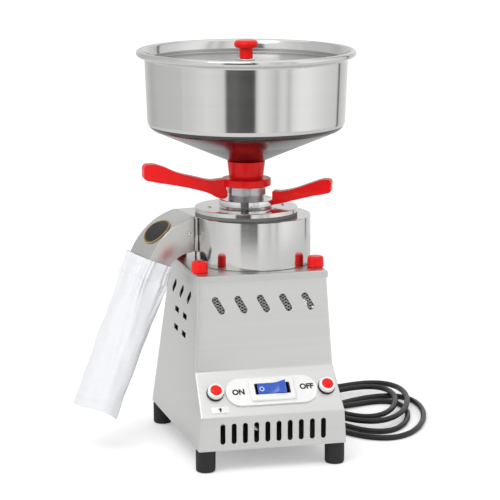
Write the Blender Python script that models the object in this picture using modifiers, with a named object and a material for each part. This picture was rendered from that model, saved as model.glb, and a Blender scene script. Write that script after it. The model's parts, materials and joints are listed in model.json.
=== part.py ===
"""Table-top stone flour mill: folded steel body, polished grinding chamber, red handles and a steel hopper.

The mill stands on its feet at z = 0 and faces -Y. Every place below is measured from the mill's axis, the
upright line that the shaft, the stones, the cover, both handles and the hopper share. Lengths are metres.
"""
import math

import bmesh
import bpy
from mathutils import Matrix, Vector

# Shared values
GAP = 0.0003
OVERRUN = 0.004
MERGE = 0.00001
BORE_PLAY = 0.0003
SLIP_PLAY = 0.0004
FINE_STEPS = 40
ROUND_STEPS = 24
INNER_STEPS = 18
MOULDED_STEPS = 18
SMALL_STEPS = 12
HOLE_STEPS = 8
SHARP_ANGLE = math.radians(28)

# Feet
FOOT_RADIUS = 0.01345
FOOT_HEIGHT = 0.030
FOOT_ROUNDING = 0.0035
FOOT_INSET_SIDE = 0.0125
FOOT_INSET_END = 0.0150

# Body casing, folded from one gauge of sheet; half widths are to the outside
SHEET = 0.0015
FOLD_RADIUS = 0.0020
BUTTON_MARGIN = 0.0249
SIDE_TAPER = 0.0132
SKIRT_TOP_Z = 0.0760
PANEL_TOP_Z = 0.1283
CAP_TOP_Z = 0.2583
CAP_HEIGHT = 0.0098
FRONT_SKIRT = 0.1457
FRONT_FOLD = 0.0967
FRONT_TOP = 0.0908
BACK_BOTTOM = 0.1495
BACK_TOP = 0.0812

# Vents in the casing
SLOT_LENGTH = 0.0250
SLOT_WIDTH = 0.0080
SLOT_TILT = math.radians(30)
SLOT_COUNT = 5
SLOT_PITCH = 0.0312
SLOT_DROP = 0.0313
SIDE_SLOT_COUNT = 3
SIDE_SLOT_PITCH = 0.0440
SIDE_SLOT_DROP = 0.0290
SIDE_SLOT_SHIFT = 0.0035
SIDE_WINDOW_LENGTH = 0.0230
SIDE_WINDOW_HEIGHT = 0.0076
SIDE_WINDOW_PITCH_Y = 0.0470
SIDE_WINDOW_PITCH_Z = 0.0250
SIDE_WINDOW_DROP = 0.0585
SIDE_WINDOW_SHIFT = 0.0015
SKIRT_SLOT_COUNT = 10
SKIRT_SLOT_PITCH = 0.0155
SKIRT_SLOT_LENGTH = 0.0280
SKIRT_SLOT_WIDTH = 0.0070
BACK_SLOT_ROWS = 5
BACK_SLOT_PITCH = 0.0170
BACK_SLOT_LENGTH = 0.0600
BACK_SLOT_WIDTH = 0.0060
BACK_SLOT_Z = 0.1150

# Expanded mesh behind the front slots
MESH_SHEET = 0.0010
MESH_MARGIN = 0.0060
DIAMOND_LENGTH = 0.0088
DIAMOND_WIDTH = 0.0034
DIAMOND_PITCH_ALONG = 0.0062
DIAMOND_PITCH_ACROSS = 0.0024

# Base plate
BASE_SHEET = 0.0025
BASE_VENT_COUNT = 6
BASE_VENT_RING = 0.0480
BASE_VENT_LENGTH = 0.0280
BASE_VENT_WIDTH = 0.0070

# Top cap
CAP_CORNER = 0.0025
CAP_BORE = 0.0200

# Corner knobs
KNOB_RADIUS = 0.0115
KNOB_HEIGHT = 0.0149
KNOB_ROUNDING = 0.0026
KNOB_TAPER = 0.0006
KNOB_INSET = 0.0080
KNOB_FRONT_Y = 0.0630
KNOB_BACK_Y = 0.0640
STUD_RADIUS = 0.0025
STUD_LENGTH = 0.0080

# Grinding chamber: a drum set off the mill's axis, with a tangential outlet at its back left
DRUM_RADIUS = 0.0800
DRUM_SHIFT = 0.0089
DRUM_HEIGHT = 0.0659
DRUM_WALL = 0.0030
DRUM_FLOOR = 0.0030
DRUM_LID_PLATE = 0.0025
OUTLET_ANGLE = math.radians(190.6)
OUTLET_SEAM = 0.0832
OUTLET_WIDTH = 0.0700
OUTLET_HEIGHT = 0.0490
OUTLET_WALL = 0.0020
OUTLET_FLANGE = 0.0020
OUTLET_FLANGE_LIP = 0.0070
SPIGOT_LENGTH = 0.0130
SPIGOT_TOP_DROP = 0.0080

# Chamber cover with its neck, gasket and lock ring
COVER_RADIUS = 0.0710
COVER_THICKNESS = 0.0063
COVER_EDGE = 0.0012
COVER_SPIGOT_RADIUS = 0.0635
COVER_SPIGOT_DROP = 0.0027
GASKET_RADIUS = 0.0704
GASKET_ROOM = 0.0048
SHOULDER_RADIUS = 0.0360
SHOULDER_RISE = 0.0021
NECK_RADIUS = 0.0310
NECK_RISE = 0.0085
LOCK_RING_RADIUS = 0.03815
LOCK_RING_HEIGHT = 0.0088
LOCK_RING_EDGE = 0.0010

# Feed sleeve, threaded in the neck
SLEEVE_BORE = 0.0170
SLEEVE_RADIUS = 0.0243
COLLAR_RADIUS = 0.0275
COLLAR_RISE = 0.0064
COLLAR_HEIGHT = 0.0113

# Adjusting handle: plate, socket and the long arm to the left
PLATE_RADIUS = 0.0340
PLATE_THICKNESS = 0.0105
PLATE_EDGE = 0.0016
SOCKET_HEIGHT = 0.0240
SOCKET_TOP_RADIUS = 0.0260
SOCKET_FOOT_RADIUS = 0.0234
SOCKET_BORE = 0.0215
SOCKET_LEDGE_RISE = 0.0050
ARM_WIDTH = 0.0165
ARM_ROUNDING = 0.0030
ARM_EDGE_ANGLE = math.radians(50)
ADJUST_REACH = 0.1445
ADJUST_DROP = 0.0163
ADJUST_INNER = 0.0240
LEG_INNER = 0.0287
ADJUST_ANGLE = math.radians(180)

# Lock handle, screwed into the lock ring
LOCK_ANGLE = math.radians(-25)
LOCK_REACH = 0.1185
LOCK_FOOT_RISE = 0.0023
LOCK_RISE = 0.0365
LOCK_STUD_RADIUS = 0.0030
LOCK_STUD_DEPTH = 0.0050
LOCK_STUD_RISE = 0.0053

# Hopper
BEAD_RADIUS = 0.0044
RIM_RADIUS = 0.1500
WALL_HEIGHT = 0.0909
HOPPER_TOP_RADIUS = 0.1385
HOPPER_LOW_RADIUS = 0.1352
HOPPER_SHEET = 0.0015
CONE_HEIGHT = 0.0567
CORNER_RADIUS = 0.0150
CONE_FOOT_RADIUS = 0.0252

# Hopper lid, its ferrule and knob
LID_DROP = 0.0139
LID_SHEET = 0.0012
LID_EDGE_HEIGHT = 0.0060
LID_EDGE_ROUNDING = 0.0020
FERRULE_RADIUS = 0.0120
FERRULE_HEIGHT = 0.0060
LID_STEM_RADIUS = 0.00925
LID_STEM_HEIGHT = 0.0137
LID_HEAD_RADIUS = 0.0165
LID_HEAD_HEIGHT = 0.0110
LID_HEAD_ROUNDING = 0.0030

# Discharge duct, in the plane that runs straight out of the outlet
DUCT_SHEET = 0.0015
DUCT_OUTER_RADIUS = 0.0950
DUCT_OUTER_START = math.radians(13.3)
DUCT_OUTER_END = math.radians(70.0)
DUCT_INNER_FLAT = 0.0050
DUCT_INNER_RADIUS = 0.0500
DUCT_INNER_START = math.radians(8.0)
DUCT_INNER_END = math.radians(66.0)
DUCT_STATIONS = 9
DUCT_SCREW_REACH = 0.0075
DUCT_SCREW_DROP = 0.0235
SCREW_HEAD_RADIUS = 0.0034
SCREW_HEAD_HEIGHT = 0.0018
SCREW_DOME_SHARE = 0.9
SCREW_RIM_SHARE = 1 / 3
SCREW_RADIUS = 0.0016

# Flour sleeve: a cotton tube gathered on the duct's mouth
CLOTH = 0.0012
BAG_OVERLAP = 0.0120
BAG_LENGTH = 0.2180
BAG_LEAN = math.radians(21.5)
BAG_MOUTH_HALF = 0.0220
BAG_WAIST_HALF = 0.0225
BAG_BODY_HALF = 0.0265
BAG_MOUTH_SIDE = 0.0415
BAG_WAIST_SIDE = 0.0385
BAG_BODY_SIDE = 0.0390
BAG_POINTS = 20
BAG_STATIONS = 9
WAIST_SHARE = 0.12
FULL_SHARE = 0.30
BAG_SQUARE_POWER = 4.5
BAG_OVAL_POWER = 2.5

# Stones and their carriers
STONE_RADIUS = 0.0600
STONE_EYE = 0.0200
STONE_EDGE = 0.0010
STONE_GAP = 0.0010
BED_STONE_THICKNESS = 0.0183
FURROW_COUNT = 12
FURROW_WIDTH = 0.0040
FURROW_DEPTH = 0.0015
FURROW_DRAFT = 0.0100
CARRIER_RADIUS = 0.0500
CARRIER_THICKNESS = 0.0063
SWEEP_REACH = 0.0655
SWEEP_THICKNESS = 0.0030
SWEEP_RISE = 0.0042
SWEEP_CLEARANCE = 0.0024
BED_CARRIER_RADIUS = 0.0590
BED_CARRIER_THICKNESS = 0.0075
BED_HEADROOM = 0.0052
BED_TRAVEL = 0.0006

# Motor, hung from the top cap by its upper shield
SHAFT_RADIUS = 0.0085
SHAFT_TAIL = 0.0200
SHAFT_STEP_RISE = 0.0014
SPINDLE_RADIUS = 0.0060
SPINDLE_RISE = 0.0060
MOTOR_RADIUS = 0.0680
MOTOR_WALL = 0.0030
MOTOR_LENGTH = 0.1400
MOTOR_DROP = 0.0263
FLANGE_RADIUS = 0.0735
FLANGE_THICKNESS = 0.0060
SHIELD_WALL = 0.0045
BEARING_RADIUS = 0.0175
BEARING_HEIGHT = 0.0110
BEARING_SEAT_WALL = 0.0045
UPPER_BEARING_DROP = 0.0223
LOWER_BEARING_DROP = 0.0120
SHAFT_HOLE = 0.0120
ROTOR_RADIUS = 0.0360
ROTOR_RISE = 0.0230
ROTOR_LENGTH = 0.0850
AIR_GAP = 0.0006
FAN_RADIUS = 0.0560
FAN_HUB_RADIUS = 0.0150
FAN_DROP = 0.0060
FAN_HEIGHT = 0.0120
FAN_BLADE = 0.0020
FAN_BLADES = 7

# Capacitor and its clip, on the base plate
CAPACITOR_INSET_SIDE = 0.0384
CAPACITOR_INSET_END = 0.0505
CAPACITOR_RADIUS = 0.0180
CAPACITOR_HEIGHT = 0.0600
CLIP_STRAP = 0.0014
CLIP_WIDTH = 0.0100
CLIP_HEIGHT = 0.0360
CLIP_FOOT = 0.0140

# Control panel
PANEL_SHIFT = 0.0035
PLATE_CLEARANCE = 0.0140
SWITCH_PLATE_WIDTH = 0.0415
SWITCH_PLATE_THICKNESS = 0.0030
FRAME_LENGTH = 0.0620
FRAME_WIDTH = 0.0330
FRAME_HEIGHT = 0.0050
FRAME_ROUNDING = 0.0020
HOUSING_LENGTH = 0.0530
HOUSING_WIDTH = 0.0230
HOUSING_DEPTH = 0.0280
POCKET_LENGTH = 0.0490
POCKET_WIDTH = 0.0170
POCKET_DEPTH = 0.0180
ROCKER_LENGTH = 0.0390
ROCKER_WIDTH = 0.0158
ROCKER_END_RISE = 0.0085
ROCKER_MID_RISE = 0.0045
ROCKER_DROP = 0.0080
ROCKER_PIVOT_DEPTH = 0.0040
ROCKER_TILT = math.radians(13)
ROCKER_ROUNDING = 0.0008
BUTTON_SPACING = 0.1550
BUTTON_RISE = 0.0020
SEAL_RADIUS = 0.0118
SEAL_HEIGHT = 0.0022
BEZEL_RADIUS = 0.0110
BEZEL_HEIGHT = 0.0066
BEZEL_ROUNDING = 0.0012
BARREL_RADIUS = 0.0088
BARREL_DEPTH = 0.0140
BUTTON_RADIUS = 0.0074
BUTTON_PROUD = 0.0012
BUTTON_DEPTH = 0.0090
BUTTON_DOME = 0.0008
ROCKER_EDGE_SHARE = 0.75
ROCKER_CREST_SHARE = 0.93
ROCKER_PAD_SHARE = 0.45
ROCKER_PAD_RISE_SHARE = 1.15
ROCKER_FOOT_SHARE = 0.55
PLATE_END_STEPS = 12

# Cord gland on the sloped back
GLAND_INSET = 0.0424
GLAND_Z = 0.0620
GLAND_NUT_RADIUS = 0.0115
GLAND_NUT_HEIGHT = 0.0050
GLAND_TAPER_RADIUS = 0.0082
GLAND_TIP_RADIUS = 0.0058
GLAND_TAPER_LENGTH = 0.0290
GLAND_SHANK_RADIUS = 0.0067
GLAND_SHANK_LENGTH = 0.0060

# Cord: its places are measured in X from the casing's right edge at the base, and in Y from the mill's axis
CORD_DIAMETER = 0.0082
CORD_STEP = 0.0170
STRAIGHT_SHARE = 1.2
ROUTE_SAMPLES = 16
FAR_DIAMETERS = 4
FLOOR_PLAY = 0.0001
LAYER_PLAY = 0.0005
PILE_TURNS = 3.8
TURN_POINTS = 24
LOW_PILE_CENTRE = (0.1016, 0.0865)
HIGH_PILE_CENTRE = (0.0946, 0.1300)
LOW_PILE_HALF = 0.0935
HIGH_PILE_HALF = 0.0520
LOW_PILE_STEP = 0.0230
HIGH_PILE_STEP = 0.0173
PILE_TILT = math.radians(-20.5)
PILE_LENGTH_SHARE = 1.35
PILE_EGG_SHARE = 0.45
LOW_TURNS = 2.0
CLIMB_START = 1.75
CLIMB_TURNS = 0.5
LEAD_FALL = [
    (-0.0424, 0.1970, 0.0745), (-0.0419, 0.2130, 0.0680), (-0.0404, 0.2260, 0.0540), (-0.0374, 0.2340, 0.0370),
    (-0.0314, 0.2385, 0.0200), (-0.0214, 0.2405, 0.0085),
]
LEAD_FLOOR = [
    (-0.0074, 0.2405), (0.0086, 0.2370), (0.0246, 0.2290), (0.0366, 0.2150), (0.0416, 0.1970), (0.0386, 0.1780),
    (0.0316, 0.1600),
]
TAIL_ROUTE = [
    (0.0696, 0.2100, 0.0128), (0.0476, 0.2010, 0.0128), (0.0266, 0.1940, 0.0125), (0.0066, 0.1900, 0.0100),
    (-0.0124, 0.1890, 0.0072),
]
TAIL_REACH_SHARE = 2.6
TAIL_SAG_SHARE = 0.25

# Plug on the floor behind the mill
PLUG_INSET = 0.1174
PLUG_Y = 0.1900
PLUG_LENGTH = 0.0420
PLUG_WIDTH = 0.0440
PLUG_HEIGHT = 0.0260
PLUG_ROUNDING = 0.0050
PLUG_NECK_RADIUS = 0.0070
PLUG_NECK_LENGTH = 0.0160
PIN_RADIUS = 0.0025
PIN_LENGTH = 0.0190
EARTH_PIN_RADIUS = 0.0035
PIN_SPREAD = 0.0190
EARTH_PIN_RISE = 0.0050
PIN_DROP = 0.0050
PIN_TIP_SHARE = 0.7
PIN_POINT_SHARE = 0.4

# Rounding of the adjusting arm's root, as shares of its reach and height
LEG_TOE_SHARE = 0.03
LEG_HEEL_SHARE = 0.06

# Outlines of the arms: shares of the reach, and of the height between the arm's lowest and highest edge
ADJUST_UPPER_SHARES = [(0.17, 0.47), (0.36, 0.51), (0.49, 0.60), (0.68, 0.75), (0.82, 0.93), (0.93, 1.0)]
ADJUST_TIP_SHARES = [(0.99, 0.96), (1.0, 0.78), (0.99, 0.60)]
ADJUST_LOWER_SHARES = [(0.93, 0.54), (0.76, 0.44), (0.55, 0.31), (0.37, 0.15), (0.30, 0.04)]
LOCK_UPPER_SHARES = [(0.29, 0.43), (0.42, 0.50), (0.56, 0.60), (0.75, 0.82), (0.87, 0.96), (0.95, 1.0)]
LOCK_TIP_SHARES = [(0.995, 0.95), (1.0, 0.73), (0.99, 0.52)]
LOCK_LOWER_SHARES = [(0.94, 0.46), (0.79, 0.36), (0.56, 0.17), (0.36, 0.01), (0.29, 0.0)]

# Values that follow from those above
BODY_BOTTOM_Z = FOOT_HEIGHT + SHEET / 2
BODY_BOTTOM_HALF = BUTTON_SPACING / 2 + BUTTON_MARGIN
BODY_TOP_HALF = BODY_BOTTOM_HALF - SIDE_TAPER
CAP_LIP_Z = CAP_TOP_Z - CAP_HEIGHT
CASING_TOP_Z = CAP_TOP_Z - SHEET - GAP
SLOT_Z = CAP_LIP_Z - SLOT_DROP
SIDE_SLOT_Z = CAP_LIP_Z - SIDE_SLOT_DROP
SIDE_WINDOW_Z = CAP_LIP_Z - SIDE_WINDOW_DROP
SWITCH_PLATE_LENGTH = BUTTON_SPACING - 2 * PLATE_CLEARANCE
KNOB_X = BODY_TOP_HALF - KNOB_INSET
GLAND_X = BODY_BOTTOM_HALF - GLAND_INSET
CAPACITOR_X = BODY_BOTTOM_HALF - CAPACITOR_INSET_SIDE
CAPACITOR_Y = BACK_BOTTOM - CAPACITOR_INSET_END
FOOT_X = BODY_BOTTOM_HALF - FOOT_INSET_SIDE
FOOT_FRONT_Y = FRONT_SKIRT - FOOT_INSET_END
FOOT_BACK_Y = BACK_BOTTOM - FOOT_INSET_END
BASE_Z = FOOT_HEIGHT + GAP
MOTOR_TOP_Z = CAP_TOP_Z - MOTOR_DROP
MOTOR_LOW_Z = MOTOR_TOP_Z - MOTOR_LENGTH
UPPER_BEARING_Z = CAP_TOP_Z - UPPER_BEARING_DROP
LOWER_BEARING_Z = MOTOR_LOW_Z - LOWER_BEARING_DROP
SHAFT_LOW_Z = LOWER_BEARING_Z - SHAFT_TAIL
ROTOR_LOW_Z = MOTOR_LOW_Z + ROTOR_RISE
ROTOR_TOP_Z = ROTOR_LOW_Z + ROTOR_LENGTH
FAN_TOP_Z = LOWER_BEARING_Z - FAN_DROP
FAN_LOW_Z = FAN_TOP_Z - FAN_HEIGHT
DRUM_BOTTOM_Z = CAP_TOP_Z + GAP
DRUM_TOP_Z = DRUM_BOTTOM_Z + DRUM_HEIGHT
OUTLET_BOTTOM_Z = DRUM_TOP_Z - OUTLET_HEIGHT
DUCT_SCREW_Z = DRUM_TOP_Z - DUCT_SCREW_DROP
BED_CARRIER_TOP_Z = DRUM_TOP_Z - DRUM_LID_PLATE - BED_HEADROOM
BED_TOP_Z = BED_CARRIER_TOP_Z - BED_CARRIER_THICKNESS
BED_LOW_Z = BED_TOP_Z - BED_STONE_THICKNESS
RUNNER_TOP_Z = BED_LOW_Z - STONE_GAP
CARRIER_LOW_Z = DRUM_BOTTOM_Z + DRUM_FLOOR + SWEEP_CLEARANCE
RUNNER_LOW_Z = CARRIER_LOW_Z + CARRIER_THICKNESS
SWEEP_TOP_Z = RUNNER_LOW_Z + SWEEP_RISE
SHAFT_STEP_Z = DRUM_BOTTOM_Z + SHAFT_STEP_RISE
SPINDLE_TOP_Z = RUNNER_TOP_Z + SPINDLE_RISE
COVER_BOTTOM_Z = DRUM_TOP_Z + GASKET_ROOM
COVER_TOP_Z = COVER_BOTTOM_Z + COVER_THICKNESS
COVER_SPIGOT_Z = DRUM_TOP_Z - COVER_SPIGOT_DROP
SHOULDER_Z = COVER_TOP_Z + SHOULDER_RISE
NECK_TOP_Z = SHOULDER_Z + NECK_RISE
LOCK_RING_TOP_Z = SHOULDER_Z + LOCK_RING_HEIGHT
LOCK_STUD_Z = SHOULDER_Z + LOCK_STUD_RISE
LOCK_LOW_Z = SHOULDER_Z + LOCK_FOOT_RISE
LOCK_TIP_Z = LOCK_LOW_Z + LOCK_RISE
COLLAR_LOW_Z = NECK_TOP_Z + COLLAR_RISE
COLLAR_TOP_Z = COLLAR_LOW_Z + COLLAR_HEIGHT
PLATE_LOW_Z = COLLAR_TOP_Z + 2 * GAP
PLATE_TOP_Z = PLATE_LOW_Z + PLATE_THICKNESS
SOCKET_TOP_Z = PLATE_TOP_Z + SOCKET_HEIGHT
SOCKET_LEDGE_Z = PLATE_TOP_Z + SOCKET_LEDGE_RISE
ADJUST_LOW_Z = PLATE_LOW_Z - ADJUST_DROP
OUTLET_SIDE = DRUM_RADIUS - OUTLET_WIDTH / 2
CORD_RADIUS = CORD_DIAMETER / 2
LOW_LAYER_Z = CORD_RADIUS + FLOOR_PLAY
HIGH_LAYER_Z = LOW_LAYER_Z + CORD_DIAMETER + LAYER_PLAY
CONE_FOOT_Z = SOCKET_TOP_Z + GAP
SPOUT_RADIUS = SOCKET_BORE - SLIP_PLAY
SPOUT_BOTTOM_Z = SOCKET_LEDGE_Z + GAP
SHOULDER_TOP_Z = CONE_FOOT_Z + CONE_HEIGHT
RIM_Z = SHOULDER_TOP_Z + WALL_HEIGHT
LID_TOP_Z = RIM_Z - LID_DROP
PLUG_X = BODY_BOTTOM_HALF - PLUG_INSET


def bag_centre(share):
    """Centre of the sleeve's section at a share of its length: its distance out of the seam, and its height."""
    mouth_out, mouth_z = duct_mouth()
    run = share * BAG_LENGTH - BAG_OVERLAP
    return mouth_out + run * math.sin(BAG_LEAN), mouth_z - run * math.cos(BAG_LEAN)


def duct_outer(share):
    """Outer wall of the duct at a share of its bend: distance out of the seam, and height."""
    angle = DUCT_OUTER_START + share * (DUCT_OUTER_END - DUCT_OUTER_START)
    out = DUCT_OUTER_RADIUS * (math.sin(angle) - math.sin(DUCT_OUTER_START))
    return out, DRUM_TOP_Z - DUCT_OUTER_RADIUS * (math.cos(DUCT_OUTER_START) - math.cos(angle))


def duct_inner(share):
    """Inner wall of the duct at a share of its bend: distance out of the seam, and height."""
    angle = DUCT_INNER_START + share * (DUCT_INNER_END - DUCT_INNER_START)
    out = DUCT_INNER_FLAT + DUCT_INNER_RADIUS * (math.sin(angle) - math.sin(DUCT_INNER_START))
    drop = DUCT_INNER_RADIUS * (math.cos(DUCT_INNER_START) - math.cos(angle))
    return (out if share else 0.0), OUTLET_BOTTOM_Z - drop


def duct_mouth():
    """Centre of the duct's open end: distance out of the seam, and height."""
    (out_a, z_a), (out_b, z_b) = duct_outer(1), duct_inner(1)
    return (out_a + out_b) / 2, (z_a + z_b) / 2


def bag_ring(share):
    """The sleeve's outline at a share of its length, in the outlet's frame with its seam and middle at zero.

    It is nearly rectangular on the duct's mouth, drawn in under it, then an open oval.
    """
    on_mouth = max(0.0, 1 - share / WAIST_SHARE)
    full = min(1.0, max(0.0, (share - WAIST_SHARE) / FULL_SHARE))
    free_half = BAG_WAIST_HALF + full * (BAG_BODY_HALF - BAG_WAIST_HALF)
    free_side = BAG_WAIST_SIDE + full * (BAG_BODY_SIDE - BAG_WAIST_SIDE)
    half = BAG_MOUTH_HALF * on_mouth + (1 - on_mouth) * free_half
    side = BAG_MOUTH_SIDE * on_mouth + (1 - on_mouth) * free_side
    power = 2 / (BAG_SQUARE_POWER + full * (BAG_OVAL_POWER - BAG_SQUARE_POWER))
    out, z = bag_centre(share)
    ring = []
    for k in range(BAG_POINTS):
        angle = 2 * math.pi * k / BAG_POINTS
        c, s = math.cos(angle), math.sin(angle)
        across = half * math.copysign(abs(c) ** power, c)
        sideways = side * math.copysign(abs(s) ** power, s)
        ring.append((out + across * math.cos(BAG_LEAN), sideways, z + across * math.sin(BAG_LEAN)))
    return ring


def axis_from_middle():
    """How far the mill's axis stands from the middle of the footprint, which the sleeve draws to the left."""
    turn = Matrix.Rotation(OUTLET_ANGLE, 2)
    spots = [turn @ Vector((OUTLET_SEAM + out, side - OUTLET_SIDE)) for out, side, _ in bag_ring(1)]
    reach = -DRUM_SHIFT - min(spot.x for spot in spots)
    return (reach - RIM_RADIUS) / 2


def half_width(z):
    """Half width of the casing's outside at a height."""
    share = (z - BODY_BOTTOM_Z) / (CAP_LIP_Z - BODY_BOTTOM_Z)
    return BODY_BOTTOM_HALF + share * (BODY_TOP_HALF - BODY_BOTTOM_HALF)


def front_reach(z):
    """How far the casing's outside stands in front of the axis at a height."""
    if z <= SKIRT_TOP_Z:
        return FRONT_SKIRT
    if z <= PANEL_TOP_Z:
        share = (z - SKIRT_TOP_Z) / (PANEL_TOP_Z - SKIRT_TOP_Z)
        return FRONT_SKIRT + share * (FRONT_FOLD - FRONT_SKIRT)
    share = (z - PANEL_TOP_Z) / (CAP_LIP_Z - PANEL_TOP_Z)
    return FRONT_FOLD + share * (FRONT_TOP - FRONT_FOLD)


def back_reach(z):
    """How far the casing's outside stands behind the axis at a height."""
    share = (z - BODY_BOTTOM_Z) / (CAP_LIP_Z - BODY_BOTTOM_Z)
    return BACK_BOTTOM + share * (BACK_TOP - BACK_BOTTOM)


def clear_scene():
    for obj in list(bpy.data.objects):
        bpy.data.objects.remove(obj)


def collection(name):
    made = bpy.data.collections.new(name)
    bpy.context.scene.collection.children.link(made)
    return made


clear_scene()
PARTS = collection("stone_flour_mill")
CUTTERS = collection("cutters")


def paint(name, colour, roughness, metallic=0.0):
    """A Principled material."""
    made = bpy.data.materials.new(name)
    made.use_nodes = True
    shader = made.node_tree.nodes["Principled BSDF"]
    shader.inputs["Base Color"].default_value = (*colour, 1.0)
    shader.inputs["Roughness"].default_value = roughness
    shader.inputs["Metallic"].default_value = metallic
    return made


SATIN_STEEL = paint("satin_steel", (0.66, 0.66, 0.64), 0.38, 1.0)
POLISHED_STEEL = paint("polished_steel", (0.74, 0.73, 0.71), 0.16, 1.0)
CHROME = paint("chrome", (0.80, 0.80, 0.80), 0.08, 1.0)
RED = paint("red_enamel", (0.78, 0.02, 0.02), 0.25)
BLUE = paint("blue_plastic", (0.01, 0.14, 0.65), 0.25)
WHITE = paint("white_plastic", (0.88, 0.88, 0.87), 0.30)
BLACK = paint("black_plastic", (0.02, 0.02, 0.02), 0.40)
RUBBER = paint("black_rubber", (0.03, 0.03, 0.03), 0.65)
CORD_SKIN = paint("cord_sheath", (0.02, 0.02, 0.02), 0.45)
COTTON = paint("white_cotton", (0.86, 0.87, 0.90), 0.90)
STONE = paint("emery_stone", (0.36, 0.33, 0.30), 0.90)
IRON = paint("cast_iron", (0.20, 0.20, 0.21), 0.60, 1.0)
ALUMINIUM = paint("cast_aluminium", (0.60, 0.61, 0.62), 0.45, 1.0)
BRASS = paint("brass", (0.78, 0.60, 0.28), 0.30, 1.0)


def empty(name, parent=None, location=(0, 0, 0), rotation=(0, 0, 0)):
    """A frame that pieces are placed in."""
    made = bpy.data.objects.new(name, None)
    PARTS.objects.link(made)
    made.parent = parent
    made.location = location
    made.rotation_euler = rotation
    return made


def add(name, mesh, material, parent, location=(0, 0, 0), rotation=(0, 0, 0)):
    """A named piece of the mill, shaded smooth up to its sharp edges."""
    made = bpy.data.objects.new(name, mesh)
    PARTS.objects.link(made)
    made.parent = parent
    made.location = location
    made.rotation_euler = rotation
    mesh.materials.clear()
    mesh.materials.append(material)
    mesh.shade_smooth()
    mesh.set_sharp_from_angle(angle=SHARP_ANGLE)
    return made


def tool(name, mesh, parent, location=(0, 0, 0), rotation=(0, 0, 0)):
    """A shape that only cuts or joins another."""
    made = bpy.data.objects.new(name, mesh)
    CUTTERS.objects.link(made)
    made.parent = parent
    made.location = location
    made.rotation_euler = rotation
    made.hide_render = True
    made.display_type = "WIRE"
    return made


def boolean(obj, other, operation):
    step = obj.modifiers.new(operation.lower(), "BOOLEAN")
    step.operation = operation
    step.solver = "EXACT"
    step.object = other


def cut(obj, other):
    boolean(obj, other, "DIFFERENCE")


def join(obj, other):
    boolean(obj, other, "UNION")


def bevel(obj, width, segments=2, angle=SHARP_ANGLE):
    step = obj.modifiers.new("bevel", "BEVEL")
    step.width = width
    step.segments = segments
    step.limit_method = "ANGLE"
    step.angle_limit = angle


def solidify(obj, thickness, offset=-1.0):
    step = obj.modifiers.new("wall", "SOLIDIFY")
    step.thickness = thickness
    step.offset = offset
    step.use_even_offset = True


def to_mesh(bm, name):
    made = bpy.data.meshes.new(name)
    bm.to_mesh(made)
    bm.free()
    return made


def box_into(bm, low, high):
    """A box between two corners."""
    low, high = Vector(low), Vector(high)
    size = high - low
    place = Matrix.Translation((low + high) / 2) @ Matrix.Diagonal((*size, 1))
    return bmesh.ops.create_cube(bm, size=1, matrix=place)["verts"]


def box(name, low, high):
    bm = bmesh.new()
    box_into(bm, low, high)
    return to_mesh(bm, name)


def cylinder_into(bm, radius, low, high, steps=ROUND_STEPS, centre=(0, 0)):
    """An upright cylinder between two heights."""
    place = Matrix.Translation((*centre, (low + high) / 2))
    bmesh.ops.create_cone(
        bm, cap_ends=True, segments=steps, radius1=radius, radius2=radius, depth=high - low, matrix=place
    )


def cylinder(name, radius, low, high, steps=ROUND_STEPS, centre=(0, 0)):
    bm = bmesh.new()
    cylinder_into(bm, radius, low, high, steps, centre)
    return to_mesh(bm, name)


def slot_into(bm, place, length, width, depth, steps=SMALL_STEPS):
    """A prism with round ends, its length along Y and its depth along Z, set down by a matrix."""
    turn = Matrix.Rotation(math.pi / steps, 4, "Z")
    made = bmesh.ops.create_cone(
        bm, cap_ends=True, segments=steps, radius1=width / 2, radius2=width / 2, depth=depth, matrix=turn
    )["verts"]
    for vert in made:
        vert.co.y += math.copysign((length - width) / 2, vert.co.y)
    bmesh.ops.transform(bm, matrix=place, verts=made)


def turned(
    name, outline, material, parent, steps=ROUND_STEPS, closed=False, location=(0, 0, 0), rotation=(0, 0, 0)
):
    """A turned piece: its outline runs down the outer side, and on the axis or back up the inner side."""
    bm = bmesh.new()
    verts = [bm.verts.new((r, 0, z)) for r, z in outline]
    ends = verts[1:] + verts[:1] if closed else verts[1:]
    for a, b in zip(verts, ends):
        bm.edges.new((a, b))
    made = add(name, to_mesh(bm, name), material, parent, location, rotation)
    screw = made.modifiers.new("turn", "SCREW")
    screw.steps = steps
    screw.render_steps = steps
    screw.use_merge_vertices = True
    screw.merge_threshold = MERGE
    screw.use_smooth_shade = True
    return made


def arc(centre_r, centre_z, radius, start, end, count):
    """Points of an outline on a circle, the angles in degrees from +X."""
    angles = [math.radians(start + (end - start) * i / count) for i in range(count + 1)]
    return [(centre_r + radius * math.cos(a), centre_z + radius * math.sin(a)) for a in angles]


def flat_piece(name, outlines, thickness, smooth=False):
    """A mesh of flat outlines, the later ones being holes, extruded evenly to both sides of its plane."""
    curve = bpy.data.curves.new(name, "CURVE")
    curve.dimensions = "2D"
    curve.fill_mode = "BOTH"
    curve.extrude = thickness / 2
    curve.resolution_u = 2
    for outline in outlines:
        spline = curve.splines.new("BEZIER" if smooth else "POLY")
        points = spline.bezier_points if smooth else spline.points
        points.add(len(outline) - 1)
        for point, (x, y) in zip(points, outline):
            if smooth:
                point.co = (x, y, 0)
                point.handle_left_type = "AUTO"
                point.handle_right_type = "AUTO"
            else:
                point.co = (x, y, 0, 1)
        spline.use_cyclic_u = True
    return curve_mesh(name, curve)


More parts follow.
